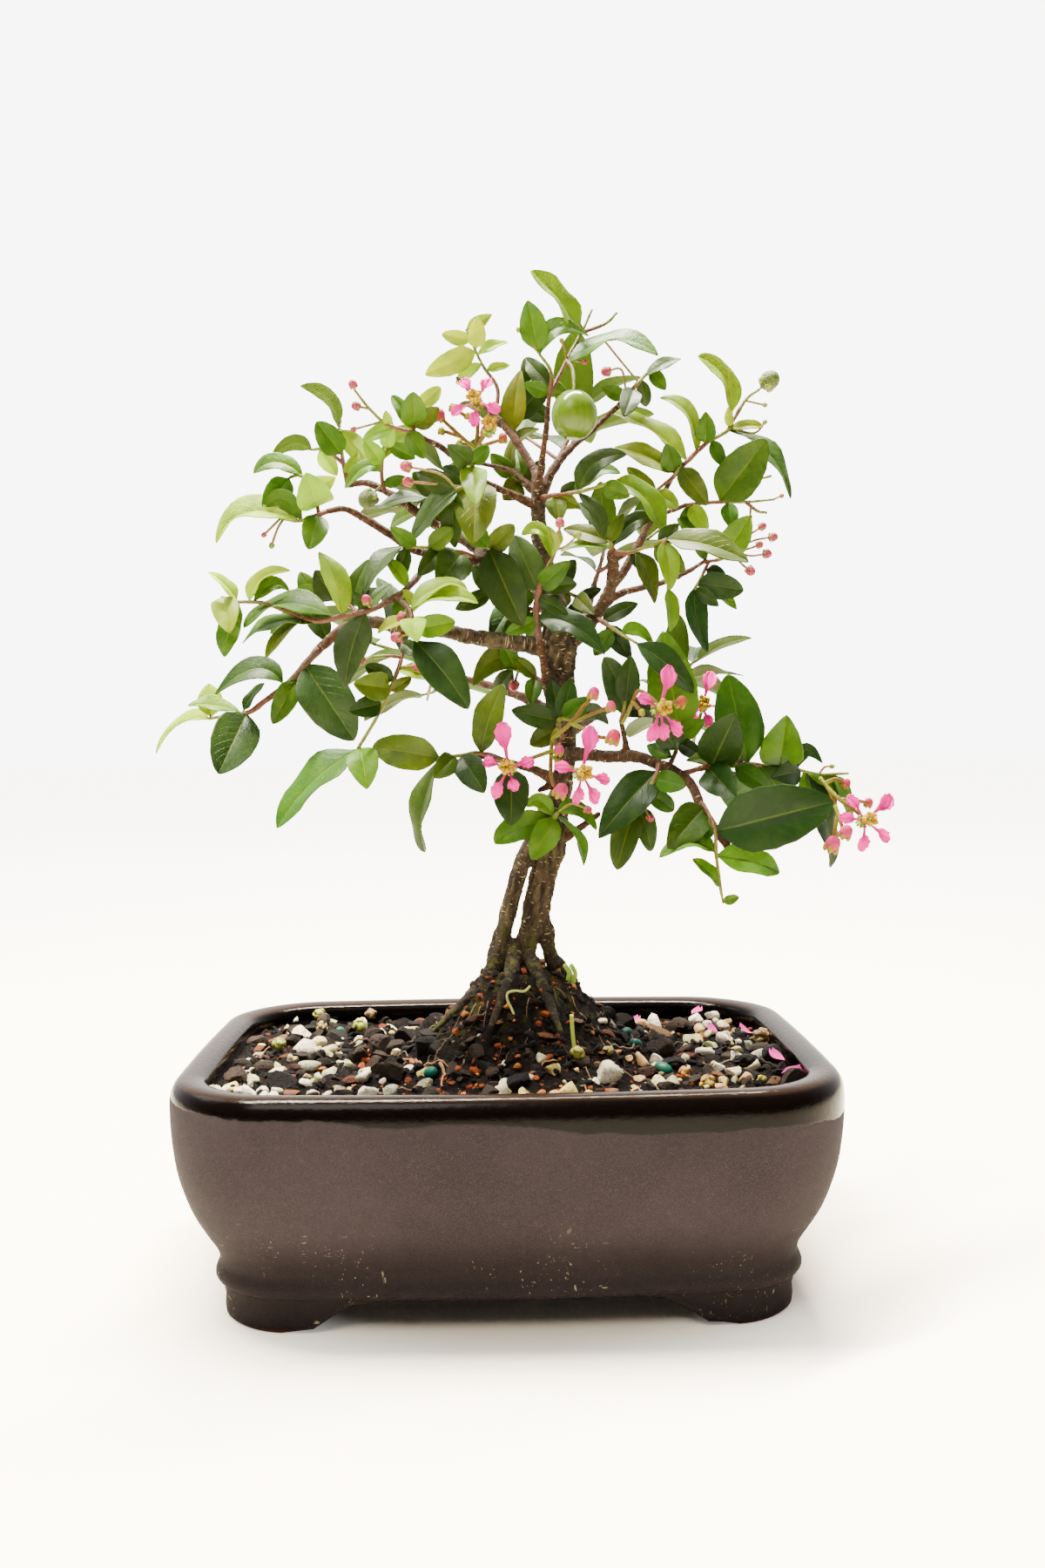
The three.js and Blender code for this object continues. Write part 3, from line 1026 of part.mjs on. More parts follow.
function nearestOn(paths, x, z) {
  let best = { far: Infinity };
  for (const path of paths) {
    for (let i = 0; i + 1 < path.length; i += 1) {
      const [ax, az, ay] = path[i];
      const [bx, bz, by] = path[i + 1];
      const length = (bx - ax) ** 2 + (bz - az) ** 2;
      const part = Math.min(Math.max(((x - ax) * (bx - ax) + (z - az) * (bz - az)) / length, 0), 1);
      const spot = [ax + (bx - ax) * part, az + (bz - az) * part, ay + (by - ay) * part];
      const far = Math.hypot(spot[0] - x, spot[1] - z);
      if (far < best.far) best = { far, spot };
    }
  }
  return best.spot;
}

// The upper face looks at the viewer, turned up so far that the leaf shows its seen width. On the far side
// of the plant it looks away.
function facing(base, chord, turn) {
  const toEye = EYE.clone().sub(base).normalize();
  const face = toEye.addScaledVector(chord, -toEye.dot(chord)).normalize();
  const edge = new THREE.Vector3().crossVectors(chord, face).normalize();
  const upward = Math.abs(edge.z) > 0.2 ? Math.sign(edge.z) : Math.sign(edge.x * (base.x - TRUNK_X)) || 1;
  if (base.y > BACK_DEPTH) face.negate();
  return face.multiplyScalar(Math.cos(turn)).addScaledVector(edge, upward * Math.sin(turn));
}

// A leaf read from the front. A leaf that looks short for its width points towards the viewer.
function seenLeaf([x, z, tipX, tipZ, width, tone, back = 0, bendX, bendZ], paths) {
  const root = nearestOn(paths, x, z);
  const depth = root[2];
  const reach = Math.hypot(tipX - x, tipZ - z);
  const lean = Math.min(Math.sqrt(Math.max((width / 0.56) ** 2 - reach ** 2, 0)), reach * 0.9);
  const stray = (random() - 0.5) * 0.3 * reach;
  const tipDepth = depth + (depth < BACK_DEPTH ? -lean : lean) + back + stray;
  const fullWidth = Math.max(width, LEAF_SHAPE * reach);
  const middle = (depth + tipDepth) / 2;
  const bend = bendX === undefined ? new THREE.Vector3()
    : seen(bendX, bendZ, middle).sub(seen((x + tipX) / 2, (z + tipZ) / 2, middle));
  const base = seen(x, z, depth);
  return {
    root: seen(...root), base, tone, bend, width: fullWidth,
    arch: bendX === undefined ? 0.09 : 0.02,
    tip: (swing) => seen(tipX, tipZ, tipDepth + swing),
    normal: (chord) => facing(base, chord, Math.acos(Math.min(width / fullWidth, 1))),
  };
}

// Opposite pairs along a rear twig. A leaf points half along the twig and half out from it.
function pairedLeaves(path, pairs) {
  const stops = path.map((row) => seen(...row));
  const leaves = [];
  for (let pair = 0; pair < pairs; pair += 1) {
    const walk = ((pair + 0.7) / pairs) * (stops.length - 1);
    const from = Math.min(Math.floor(walk), stops.length - 2);
    const root = stops[from].clone().lerp(stops[from + 1], walk - from);
    const along = stops[from + 1].clone().sub(stops[from]).normalize();
    const level = new THREE.Vector3().crossVectors(along, new THREE.Vector3(0, 0, 1)).normalize();
    const steep = new THREE.Vector3().crossVectors(level, along);
    for (const side of [1, -1]) {
      const turn = (pair % 2) * 1.2 + (random() - 0.5) * 0.7;
      const out = level.clone().multiplyScalar(Math.cos(turn) * side)
        .addScaledVector(steep, Math.sin(turn) * side);
      const length = 20 + random() * 12;
      const way = along.clone().multiplyScalar(0.6).addScaledVector(out, 0.85).normalize();
      const base = root.clone().addScaledVector(way, 2);
      const end = base.clone().addScaledVector(way, length);
      leaves.push({
        root, base, tone: random() < 0.5 ? 'dark' : 'green', bend: new THREE.Vector3(), width: length * 0.46,
        arch: 0.1,
        tip: (swing) => end.clone().add(new THREE.Vector3(0, 0, swing)),
        normal: (chord) => new THREE.Vector3(0, 0.25, 1)
          .addScaledVector(chord, -chord.z - 0.25 * chord.y).normalize(),
      });
    }
  }
  return leaves;
}

// The solid of a leaf with its stalk, or only its blade, thicker and wider by a margin
function leafSolid(leaf, swing, margin, bladeOnly) {
  const tip = leaf.tip(swing);
  const chord = tip.clone().sub(leaf.base);
  const length = chord.length();
  chord.normalize();
  const normal = leaf.normal(chord);
  const hump = leaf.bend.clone().addScaledVector(normal, leaf.arch * length);
  const rib = (u) => leaf.base.clone().addScaledVector(chord, length * u)
    .addScaledVector(hump, 4 * u * (1 - u));
  const slope = (u) => chord.clone().multiplyScalar(length)
    .addScaledVector(hump, 4 * (1 - 2 * u)).normalize();
  const stations = length < SHORT_LEAF ? [BLADE[0], SHORT_MIDDLE] : BLADE;
  const sections = stations.map(([u, part]) => {
    const half = (leaf.width / 2) * part;
    const lift = half * FOLD[leaf.tone];
    return crossSection(rib(u), slope(u), normal, half + margin, lift + margin, KEEL + margin);
  });
  if (!bladeOnly) {
    const toBase = rib(0.1).sub(leaf.root).normalize();
    sections.unshift(crossSection(leaf.root, toBase, normal, PETIOLE, PETIOLE / 2, PETIOLE));
  }
  return bladeSolid(sections, tip.addScaledVector(chord, margin));
}

// Swings in depth that a leaf tries, nearest first
const SWING_ORDER = Array.from(
  { length: 2 * SWINGS + 1 },
  (_, i) => Math.ceil(i / 2) * (i % 2 ? 1 : -1) * SWING_STEP,
);

function withBox(body) {
  return { body, box: body.boundingBox() };
}

function meets(piece, other) {
  return boxesMeet(piece.box, other.box) && !piece.body.intersect(other.body).isEmpty();
}

// A leaf takes the first swing that keeps its blade clear of everything, or at least of every other node.
// A leaf with no free place has not grown.
function settle(leaf, others, own) {
  let spare = null;
  for (const swing of SWING_ORDER) {
    const blade = withBox(leafSolid(leaf, swing, PLANT_GAP, true));
    if (others.some((other) => meets(blade, other))) continue;
    if (!own.some((other) => meets(blade, other))) return swing;
    if (spare === null) spare = swing;
  }
  return spare;
}

// Buds and young fruit on their stalks, from the nearest twig towards the viewer
function budSolids([radius, ...path], paths) {
  const root = nearestOn(paths, path[0], path[1]);
  const away = root[2] < BACK_DEPTH ? -1.5 : 1.5;
  const stops = [{ at: seen(...root), radius: PETIOLE }];
  for (let i = 2; i < path.length; i += 2) {
    stops.push({ at: seen(path[i], path[i + 1], root[2] + away * (i / 2)), radius: PETIOLE });
  }
  const end = stops.at(-1).at;
  const along = end.clone().sub(stops.at(-2).at);
  return [stem(stops, 3), ball(end, Math.max(radius, 0.8), along, 1.15, radius < 2 ? 4 : 5)];
}

// Flowers

// Parts of a petal's length and its half width there: a narrow claw, then a broad fringed blade
const PETAL = [[0, 0.7], [0.3, 0.8], [0.64, 3], [0.88, 2.3]];
const PETAL_THICK = 1;
const HUB = { hole: 1.8, radius: 2.8, thick: 1.2 };
const COLUMN = 1.1;

function flowerAxis(bloom) {
  return new THREE.Vector3(...bloom.face).normalize();
}

function axisBar(centre, axis, radius, from, to, sides) {
  const side = new THREE.Vector3(0.2, 0.1, 1).cross(axis).normalize();
  const up = new THREE.Vector3().crossVectors(axis, side);
  const ring = (height) => Array.from({ length: sides }, (_, j) => {
    const angle = (j / sides) * 2 * Math.PI;
    return centre.clone().addScaledVector(axis, height)
      .addScaledVector(side, Math.cos(angle) * radius).addScaledVector(up, Math.sin(angle) * radius);
  });
  return loft([ring(from), ring(to)]);
}

// Five petals on a ring that stands round the flower's column
function buildBloom(bloom) {
  const centre = seen(...bloom.at);
  const axis = flowerAxis(bloom);
  const parts = [axisBar(centre, axis, HUB.radius, -HUB.thick / 2, HUB.thick / 2, 6)];
  for (const [x, z] of bloom.tips) {
    const flat = seen(x, z, bloom.at[2]).sub(centre);
    const tip = seen(x, z, bloom.at[2] - flat.dot(axis) / axis.y);
    const chord = tip.clone().sub(centre);
    const length = chord.length();
    chord.normalize();
    const sections = PETAL.map(([reach, half]) => {
      const at = centre.clone().addScaledVector(chord, HUB.hole + 0.3 + (length - HUB.hole) * reach);
      return crossSection(at, chord, axis, half, PETAL_THICK / 2, PETAL_THICK / 2);
    });
    parts.push(bladeSolid(sections, tip));
  }
  return cleanSkin(join(parts), PLAIN).subtract(axisBar(centre, axis, HUB.hole, -3, 3, 6));
}

// The flower's column: calyx behind the petals, stamens in front
function columnSolids(bloom) {
  const centre = seen(...bloom.at);
  const axis = flowerAxis(bloom);
  const back = centre.clone().addScaledVector(axis, -(HUB.thick / 2 + PLANT_GAP + 1.7));
  const front = centre.clone().addScaledVector(axis, HUB.thick / 2 + PLANT_GAP + 1.4);
  return [
    ball(back, 2.3, axis, 0.72, 4),
    axisBar(centre, axis, COLUMN, -2.6, 2.6, 4),
    ball(front, 2.2, axis, 0.62, 5),
  ];
}

function buildCluster(cluster) {
  const parts = [];
  for (const path of cluster.stalks) parts.push(stem(evenStops(path, 0.65, 0.6), 3));
  for (const [x, z, y, radius] of cluster.knobs) {
    parts.push(ball(seen(x, z, y), radius, new THREE.Vector3(0.2, -0.3, 1), 1.1, radius < 2 ? 4 : 5));
  }
  for (const bloom of BLOOMS.filter((flower) => flower.cluster === cluster.name)) {
    const back = seen(...bloom.at).addScaledVector(flowerAxis(bloom), -3);
    const ends = cluster.stalks.map((path) => seen(...path.at(-1)));
    const end = ends.reduce((best, spot) => (spot.distanceTo(back) < best.distanceTo(back) ? spot : best));
    parts.push(stem([{ at: end, radius: 0.6 }, { at: back, radius: 0.8 }], 3), ...columnSolids(bloom));
  }
  return join(parts);
}

// A round unripe cherry with three shallow lobes and a dimple at its stalk
function buildCherry() {
  const shape = new THREE.SphereGeometry(1, 12, 7);
  shape.rotateX(Math.PI / 2);
  const place = shape.getAttribute('position');
  for (let i = 0; i < place.count; i += 1) {
    const p = new THREE.Vector3().fromBufferAttribute(place, i);
    const lobe = 1 + 0.025 * Math.cos(3 * Math.atan2(p.y, p.x)) * (1 - p.z * p.z);
    const dimple = p.z > 0.99 ? 0.94 : 1;
    place.setXYZ(i, p.x * lobe, p.y * lobe, p.z * 0.95 * dimple);
  }
  const centre = seen(...CHERRY.at);
  shape.scale(CHERRY.radius, CHERRY.radius, CHERRY.radius).translate(centre.x, centre.y, centre.z);
  return fromGeometry(shape);
}

// The plant

function twigSolids(spray, extra) {
  const [from, to] = spray.radius ?? [0.9, 0.5];
  const sides = from > 1 ? 4 : 3;
  return spray.twigs.map((path, i) => stem(evenStops(path, i === 0 ? from : from * 0.8, to), sides, extra));
}

const nodes = [];
const addNode = (name, body, finish) => nodes.push({ name, body, finish });

const wood = buildWood(0);
const clearWood = buildWood(PLANT_GAP);
const cherry = buildCherry();
const blooms = BLOOMS.map((bloom) => ({ name: bloom.name, body: cleanSkin(buildBloom(bloom), FINE) }));
const sprays = [...SPRAYS, ...REAR_SPRAYS].map((spray) => ({
  ...spray,
  twigBody: largest(join(twigSolids(spray, 0)).subtract(clearWood)),
  clearTwig: withBox(join(twigSolids(spray, PLANT_GAP))),
  grown: [],
}));
const clusters = CLUSTERS.map((cluster) => {
  let body = cleanSkin(buildCluster(cluster), PLAIN).subtract(clearWood);
  for (const { clearTwig } of sprays) {
    if (boxesMeet(body.boundingBox(), clearTwig.box)) body = body.subtract(clearTwig.body);
  }
  return { name: cluster.name, body: cleanSkin(body, FINE) };
});

const fixed = [wood, cherry, ...blooms.map((bloom) => bloom.body), ...clusters.map((cluster) => cluster.body)]
  .map(withBox);

// Each leaf settles clear of what has grown before it
sprays.forEach((spray, number) => {
  seed = 100 + number;
  const leaves = spray.leaves
    ? spray.leaves.map((row) => seenLeaf(row, spray.twigs))
    : spray.twigs.flatMap((path, i) => pairedLeaves(path, i === 0 ? 3 : 1));
  const buds = (spray.buds ?? []).flatMap((row) => budSolids(row, spray.twigs));
  spray.grown.push(...buds.map(withBox));
  const others = [...fixed];
  for (const other of sprays) {
    if (other !== spray) others.push(withBox(other.twigBody), ...other.grown);
  }
  for (const leaf of leaves) {
    const swing = settle(leaf, others, spray.grown);
    if (swing !== null) spray.grown.push(withBox(leafSolid(leaf, swing, 0, false)));
  }
});

// A spray gives way to the twigs and leaves of the sprays before it wherever they still meet
for (const spray of sprays) {
  const grown = join([spray.twigBody, ...spray.grown.map((piece) => piece.body)]);
  let body = cleanSkin(grown, PLAIN).subtract(clearWood);
  for (const other of sprays) {
    if (other === spray || other.done === undefined) continue;
    if (meets(withBox(body), withBox(other.done))) {
      body = body.subtract(other.clearTwig.body);
      for (const piece of other.grown) if (meets(withBox(body), piece)) body = body.subtract(piece.body);
    }
  }
  spray.done = cleanSkin(body, FINE);
}

const finishes = {
  glaze: new THREE.MeshStandardMaterial({ color: 0x3b2e29, roughness: 0.25, metalness: 0 }),
  soil: new THREE.MeshStandardMaterial({ color: 0x6b5a48, roughness: 0.95, metalness: 0 }),
  screen: new THREE.MeshStandardMaterial({ color: 0x22262a, roughness: 0.6, metalness: 0 }),
  bark: new THREE.MeshStandardMaterial({ color: 0x6a5442, roughness: 0.9, metalness: 0 }),
  leaf: new THREE.MeshStandardMaterial({ color: 0x5b8438, roughness: 0.45, metalness: 0 }),
  stalk: new THREE.MeshStandardMaterial({ color: 0xc08060, roughness: 0.6, metalness: 0 }),
  petal: new THREE.MeshStandardMaterial({ color: 0xf07ab4, roughness: 0.6, metalness: 0 }),
  fruit: new THREE.MeshStandardMaterial({ color: 0x6f9f4a, roughness: 0.3, metalness: 0 }),
};

addNode('pot', buildPot(), 'glaze');
addNode('drain_screen_left', buildScreen(-DRAIN_X), 'screen');
addNode('drain_screen_right', buildScreen(DRAIN_X), 'screen');
addNode('soil', buildSoil(clearWood), 'soil');
addNode('tree_wood', wood, 'bark');
for (const spray of sprays) addNode(spray.name, spray.done, 'leaf');
for (const cluster of clusters) addNode(cluster.name, cluster.body, 'stalk');
for (const bloom of blooms) addNode(bloom.name, bloom.body, 'petal');
addNode('cherry', cherry, 'fruit');

// One mesh a node, moved together so that the middle of the whole stands on the origin
const bounds = new THREE.Box3();
for (const node of nodes) {
  const { min, max } = node.body.boundingBox();
  bounds.expandByPoint(new THREE.Vector3(...min)).expandByPoint(new THREE.Vector3(...max));
}
const middle = bounds.getCenter(new THREE.Vector3());

function meshOf({ name, body, finish }) {
  const { vertProperties, triVerts } = body.getMesh();
  const geometry = new THREE.BufferGeometry();
  geometry.setAttribute('position', new THREE.BufferAttribute(vertProperties, 3));
  geometry.setIndex(new THREE.BufferAttribute(triVerts, 1));
  geometry.translate(-middle.x, -middle.y, 0);
  const mesh = new THREE.Mesh(geometry, finishes[finish]);
  mesh.name = name;
  return mesh;
}

const bonsai = new THREE.Group();
for (const node of nodes) bonsai.add(meshOf(node));

export default bonsai;
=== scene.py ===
# %% [markdown]
# # A flowering cherry bonsai in its pot
# The object is one small tree in one glazed pot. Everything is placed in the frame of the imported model, in
# metres. The tree was read from one side, so its pieces are given as they look from the front, with a
# depth.

# %% Load the frame
import math

import bmesh
import bpy
import numpy as np
from mathutils import Matrix, Vector


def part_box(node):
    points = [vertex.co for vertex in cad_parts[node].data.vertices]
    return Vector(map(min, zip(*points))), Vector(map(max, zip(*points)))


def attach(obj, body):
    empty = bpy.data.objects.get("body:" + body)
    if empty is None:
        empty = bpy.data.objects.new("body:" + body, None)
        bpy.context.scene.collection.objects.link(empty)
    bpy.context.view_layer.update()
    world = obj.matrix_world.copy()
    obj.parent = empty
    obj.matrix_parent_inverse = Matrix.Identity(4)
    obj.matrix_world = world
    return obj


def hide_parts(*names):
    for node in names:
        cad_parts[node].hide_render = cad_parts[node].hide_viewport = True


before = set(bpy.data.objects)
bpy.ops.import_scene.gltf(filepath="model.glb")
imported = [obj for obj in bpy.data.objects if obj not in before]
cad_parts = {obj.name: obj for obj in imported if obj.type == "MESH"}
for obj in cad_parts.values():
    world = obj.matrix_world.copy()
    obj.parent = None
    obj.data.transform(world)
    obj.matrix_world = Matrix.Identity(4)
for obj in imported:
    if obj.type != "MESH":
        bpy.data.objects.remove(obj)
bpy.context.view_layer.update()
pot_low, pot_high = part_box("pot")
POT_CENTRE = np.array([(pot_low.x + pot_high.x) / 2, (pot_low.y + pot_high.y) / 2, 0.0])
print("nodes:", len(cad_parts), "pot stands round", POT_CENTRE.round(4))

# %% [markdown]
# ## Reading sizes
# Sizes are in millimetres round the middle of the pot. A point is read on the upright plane through the
# trunk and then pushed along the line from the eye to its own depth, so that it keeps its place in the
# view.

# %% Eye, depth and metres
EYE = np.array([-5.7, -447.0, 171.0])


def metres(points):
    """Millimetres round the pot's middle, in metres in the frame."""
    return np.asarray(points, float) / 1000.0 + POT_CENTRE


def seen(x, z, y):
    """Eye plus (point on the trunk's plane minus eye), lengthened by the depth behind the eye over the
    plane's."""
    scale = (y - EYE[1]) / -EYE[1]
    return np.array([EYE[0] + (x - EYE[0]) * scale, y, EYE[2] + (z - EYE[2]) * scale])

# %% [markdown]
# ## The camera
# The photo was taken from some 100 mm above the rim, close to the pot, with a fairly wide lens, so the
# pot's far rim looks shorter than the near one. The camera is turned by its own three directions, as a
# matrix.

# %% Camera
def turned_camera(yaw, pitch, roll):
    """Forward from yaw and pitch, right level across it, up square to both, then right and up rolled."""
    yaw, pitch, roll = (math.radians(angle) for angle in (yaw, pitch, roll))
    forward = Vector((-math.sin(yaw) * math.cos(pitch), math.cos(yaw) * math.cos(pitch), math.sin(pitch)))
    right = forward.cross(Vector((0, 0, 1))).normalized()
    up = right.cross(forward)
    rolled_right = right * math.cos(roll) + up * math.sin(roll)
    rolled_up = up * math.cos(roll) - right * math.sin(roll)
    return Matrix((rolled_right, rolled_up, -forward)).transposed()


camera_data = bpy.data.cameras.new("camera")
camera_data.sensor_fit = "VERTICAL"
camera_data.sensor_height = 36.0
camera_data.lens = 31.24
camera_data.clip_start = 0.01
camera = bpy.data.objects.new("camera", camera_data)
camera.matrix_world = Matrix.Translation(metres(EYE)) @ turned_camera(-1.5, -1.9, -0.5).to_4x4()
bpy.context.scene.collection.objects.link(camera)
bpy.context.scene.camera = camera
print("camera at", [round(v, 3) for v in camera.location])

# %% [markdown]
# ## Painting with nodes
# A finish is a small chain of nodes: a pattern on the object's own coordinates, a smooth step that blends
# two colours by it, and the shader. The helpers below only shorten the writing of such chains.

# %% Node helpers
class Finish:
    """A material, or a world given as owner, with its nodes at hand. Links are written as calls."""

    def __init__(self, name, roughness=0.5, owner=None):
        self.material = owner or bpy.data.materials.new(name)
        self.material.use_nodes = True
        self.nodes = self.material.node_tree.nodes
        self.links = self.material.node_tree.links
        if owner is None:
            self.shader = self.nodes["Principled BSDF"]
            self.shader.inputs["Roughness"].default_value = roughness
        self.coordinates = self.nodes.new("ShaderNodeTexCoord").outputs["Object"]

    def node(self, kind, inputs=None, **settings):
        made = self.nodes.new(kind)
        for key, value in settings.items():
            setattr(made, key, value)
        for key, value in (inputs or {}).items():
            self.put(value, made.inputs[key])
        return made

    def put(self, value, socket):
        if isinstance(value, bpy.types.NodeSocket):
            self.links.new(value, socket)
        else:
            socket.default_value = value

    def noise(self, scale, detail=3.0, roughness=0.55, vector=None, squeeze=None):
        vector = vector or self.coordinates
        if squeeze:
            vector = self.node("ShaderNodeMapping", {"Vector": vector, "Scale": squeeze}).outputs["Vector"]
        return self.node("ShaderNodeTexNoise", {"Vector": vector, "Scale": scale, "Detail": detail,
                                                "Roughness": roughness}).outputs["Fac"]

    def range(self, value, low, high, to_low=0.0, to_high=1.0):
        return self.node("ShaderNodeMapRange", {"Value": value, "From Min": low, "From Max": high,
                                                "To Min": to_low, "To Max": to_high},
                         interpolation_type="SMOOTHSTEP").outputs["Result"]

    def math(self, operation, first, second=0.5):
        return self.node("ShaderNodeMath", {0: first, 1: second}, operation=operation).outputs[0]

    def times(self, first, second):
        return self.math("MULTIPLY", first, second)

    def plus(self, first, second):
        return self.math("ADD", first, second)

    def blend(self, factor, first, second, mode="MIX"):
        made = self.node("ShaderNodeMix", data_type="RGBA", blend_type=mode)
        for value, number in ((factor, 0), (first, 6), (second, 7)):
            if isinstance(value, tuple) and len(value) == 3:
                value = (*value, 1)
            self.put(value, made.inputs[number])
        return made.outputs[2]

    def height(self):
        return self.node("ShaderNodeSeparateXYZ", {"Vector": self.coordinates}).outputs["Z"]

    def attribute(self, name):
        return self.node("ShaderNodeAttribute", attribute_name=name).outputs["Color"]

    def bump(self, value, distance, strength=0.6):
        made = self.node("ShaderNodeBump", {"Height": value, "Distance": distance, "Strength": strength})
        self.links.new(made.outputs["Normal"], self.shader.inputs["Normal"])

    def colour(self, value):
        self.put(value, self.shader.inputs["Base Color"])

    def shine(self, level):
        self.shader.inputs["Specular IOR Level"].default_value = level


def mottled_finish(name, roughness, noise, low, share, colour, depth):
    """The tint on the points, turned towards a colour by a share where the noise is high, and bumpy there."""
    made = Finish(name, roughness)
    high = made.range(made.noise(*noise), low, 0.7)
    made.colour(made.blend(made.times(high, share), made.attribute("tint"), colour))
    made.bump(high, depth)
    return made

# %% [markdown]
# ## Floor and light
# Light comes from behind the tree, through the leaves and along the rim of the pot, and from above. So the
# world is brightest at the back and dim in front, and a long soft box hangs over the tree. To the camera
# the world is one plain white. The floor is pale too, and to the camera alone it glows, more so further
# off, so that no line shows where it ends. This glow lights nothing.

# %% Floor and world
WHITE = 8.0
SQUEEZE_X = 0.7  # distances across count less, because the pot is wider than deep
# The first step paints a soft shadow round the pot's foot by keeping the glow away there.
GLOWS = ((0.062, 0.115, 2.0), (0.12, 1.6, WHITE - 3.0))  # start and end in metres, and the strength gained


def plain_floor():
    """A warm pale surface, plus a glow for camera rays: two smooth steps over the squeezed distance, both
    of which are nought under the middle of the pot. The first keeps the glow off the floor close round the
    pot, which paints a soft shadow there."""
    made = Finish("floor", 0.8)
    made.colour((0.82, 0.74, 0.61, 1))
    made.shine(0.1)
    made.put((1, 0.98, 0.93, 1), made.shader.inputs["Emission Color"])
    squeezed = made.node("ShaderNodeVectorMath", {0: made.coordinates, 1: (SQUEEZE_X, 1, 1)},
                         operation="MULTIPLY")
    far = made.node("ShaderNodeVectorMath", {0: squeezed.outputs[0]}, operation="LENGTH").outputs["Value"]
    glow = made.plus(*(made.range(far, start, end, 0.0, most) for start, end, most in GLOWS))
    shown = made.times(glow, made.node("ShaderNodeLightPath").outputs["Is Camera Ray"])
    made.put(shown, made.shader.inputs["Emission Strength"])
    return made.material


floor_mesh = bpy.data.meshes.new("floor")
floor_mesh.from_pydata([(-9, -9, 0), (9, -9, 0), (9, 9, 0), (-9, 9, 0)], [], [(0, 1, 2, 3)])
floor = bpy.data.objects.new("floor", floor_mesh)
floor.data.materials.append(plain_floor())
bpy.context.scene.collection.objects.link(floor)


def studio_world():
    """Strength from the direction: a smooth step towards the back plus a weaker one upwards. Rays from the
    camera see plain white instead."""
    made = Finish("world", owner=bpy.data.worlds.new("world"))
    way = made.node("ShaderNodeSeparateXYZ", {0: made.coordinates.node.outputs["Generated"]})
    strength = made.plus(made.range(way.outputs["Y"], -0.3, 0.95, 0.06, 2.6),
                         made.range(way.outputs["Z"], 0.1, 1.0, 0.06, 0.6))
    lighting = made.nodes["Background"]
    made.put((1, 0.975, 0.93, 1), lighting.inputs["Color"])
    made.put(strength, lighting.inputs["Strength"])
    plain = made.node("ShaderNodeBackground", {"Color": (1, 1, 1, 1), "Strength": WHITE})
    camera_ray = made.node("ShaderNodeLightPath").outputs["Is Camera Ray"]
    choose = made.node("ShaderNodeMixShader", {0: camera_ray, 1: lighting.outputs[0], 2: plain.outputs[0]})
    made.links.new(choose.outputs[0], made.nodes["World Output"].inputs["Surface"])
    return made.material


bpy.context.scene.world = studio_world()
print("floor and world ready")

# %% [markdown]
# A weak soft box stands in front. A long narrow one hangs over the tree with its long side across, so that
# it draws one thin line of light along the pot's rim. A third, on the left, is weaker still and lights that
# side.

# %% Lamps
def soft_box(name, place, aim, size, power, colour):
    """A rectangular lamp at a place, turned to face its aim."""
    data = bpy.data.lights.new(name, "AREA")
    data.shape = "RECTANGLE"
    data.size, data.size_y = size
    data.energy = power
    data.color = colour
    lamp = bpy.data.objects.new(name, data)
    lamp.location = place
    lamp.rotation_euler = (Vector(aim) - Vector(place)).to_track_quat("-Z", "Y").to_euler()
    bpy.context.scene.collection.objects.link(lamp)
    return lamp


soft_box("front_box", (-0.3, -0.7, 0.95), (0, 0, 0.15), (0.5, 0.5), 12, (1, 0.93, 0.80))
soft_box("top_box", (-0.1, 0.16, 1.2), (0, 0, 0.15), (1.1, 0.08), 230, (1, 0.93, 0.80))
soft_box("left_box", (-1.0, 0.25, 0.95), (0, 0, 0.2), (0.5, 0.5), 5, (1, 0.96, 0.88))

# %% [markdown]
# ## Making surfaces
# Most pieces here are grids: rows of points worked out at once with numpy, joined into quads. Several grids
# of one piece are stacked into one mesh. Colour that changes from leaf to leaf is stored on the points, and
# a material reads it by name.

# %% Grids and meshes
def grid_faces(rows, columns, wrap=False):
    """Quads between neighbouring rows and columns. With wrap the last column joins the first."""
    across = columns if wrap else columns - 1
    i, j = np.meshgrid(np.arange(rows - 1), np.arange(across), indexing="ij")
    k = (j + 1) % columns
    quads = np.stack([i * columns + j, i * columns + k, (i + 1) * columns + k, (i + 1) * columns + j], -1)
    return quads.reshape(-1, 4)


class Stack:
    """Grids gathered for one mesh, with a colour and a place on the leaf for each point."""

    def __init__(self):
        self.points, self.quads, self.caps, self.tints, self.places = [], [], [], [], []
        self.count = 0

    def add(self, points, quads, tint=(1, 1, 1), place=None, caps=()):
        points = np.asarray(points, float).reshape(-1, 3)
        self.points.append(points)
        self.quads.append(np.asarray(quads) + self.count)
        self.caps += [[int(v) + self.count for v in cap] for cap in caps]
        tint = np.broadcast_to(np.asarray(tint, float), (len(points), 3))
        self.tints.append(tint)
        self.places.append(np.zeros((len(points), 2)) if place is None else place.reshape(-1, 2))
        self.count += len(points)

    def closed(self, rings, tint=(1, 1, 1)):
        """Rings joined to each other and closed by a cap at each end."""
        count, sides = rings.shape[:2]
        last = (count - 1) * sides
        caps = [list(range(sides))[::-1], list(range(last, last + sides))]
        self.add(rings, grid_faces(count, sides, True), tint, caps=caps)

    def mesh(self, name):
        points = metres(np.concatenate(self.points))
        faces = np.concatenate(self.quads).tolist() + self.caps
        made = bpy.data.meshes.new(name)
        made.from_pydata(points.tolist(), [], faces)
        tint = made.attributes.new("tint", "FLOAT_COLOR", "POINT")
        colours = np.ones((len(points), 4), np.float32)
        colours[:, :3] = np.concatenate(self.tints)
        tint.data.foreach_set("color", colours.ravel())
        corner = np.zeros(len(made.loops), np.int32)
        made.loops.foreach_get("vertex_index", corner)
        layer = made.uv_layers.new(name="place")
        layer.data.foreach_set("uv", np.concatenate(self.places)[corner].astype(np.float32).ravel())
        made.polygons.foreach_set("use_smooth", np.ones(len(made.polygons), bool))
        made.update()
        return made


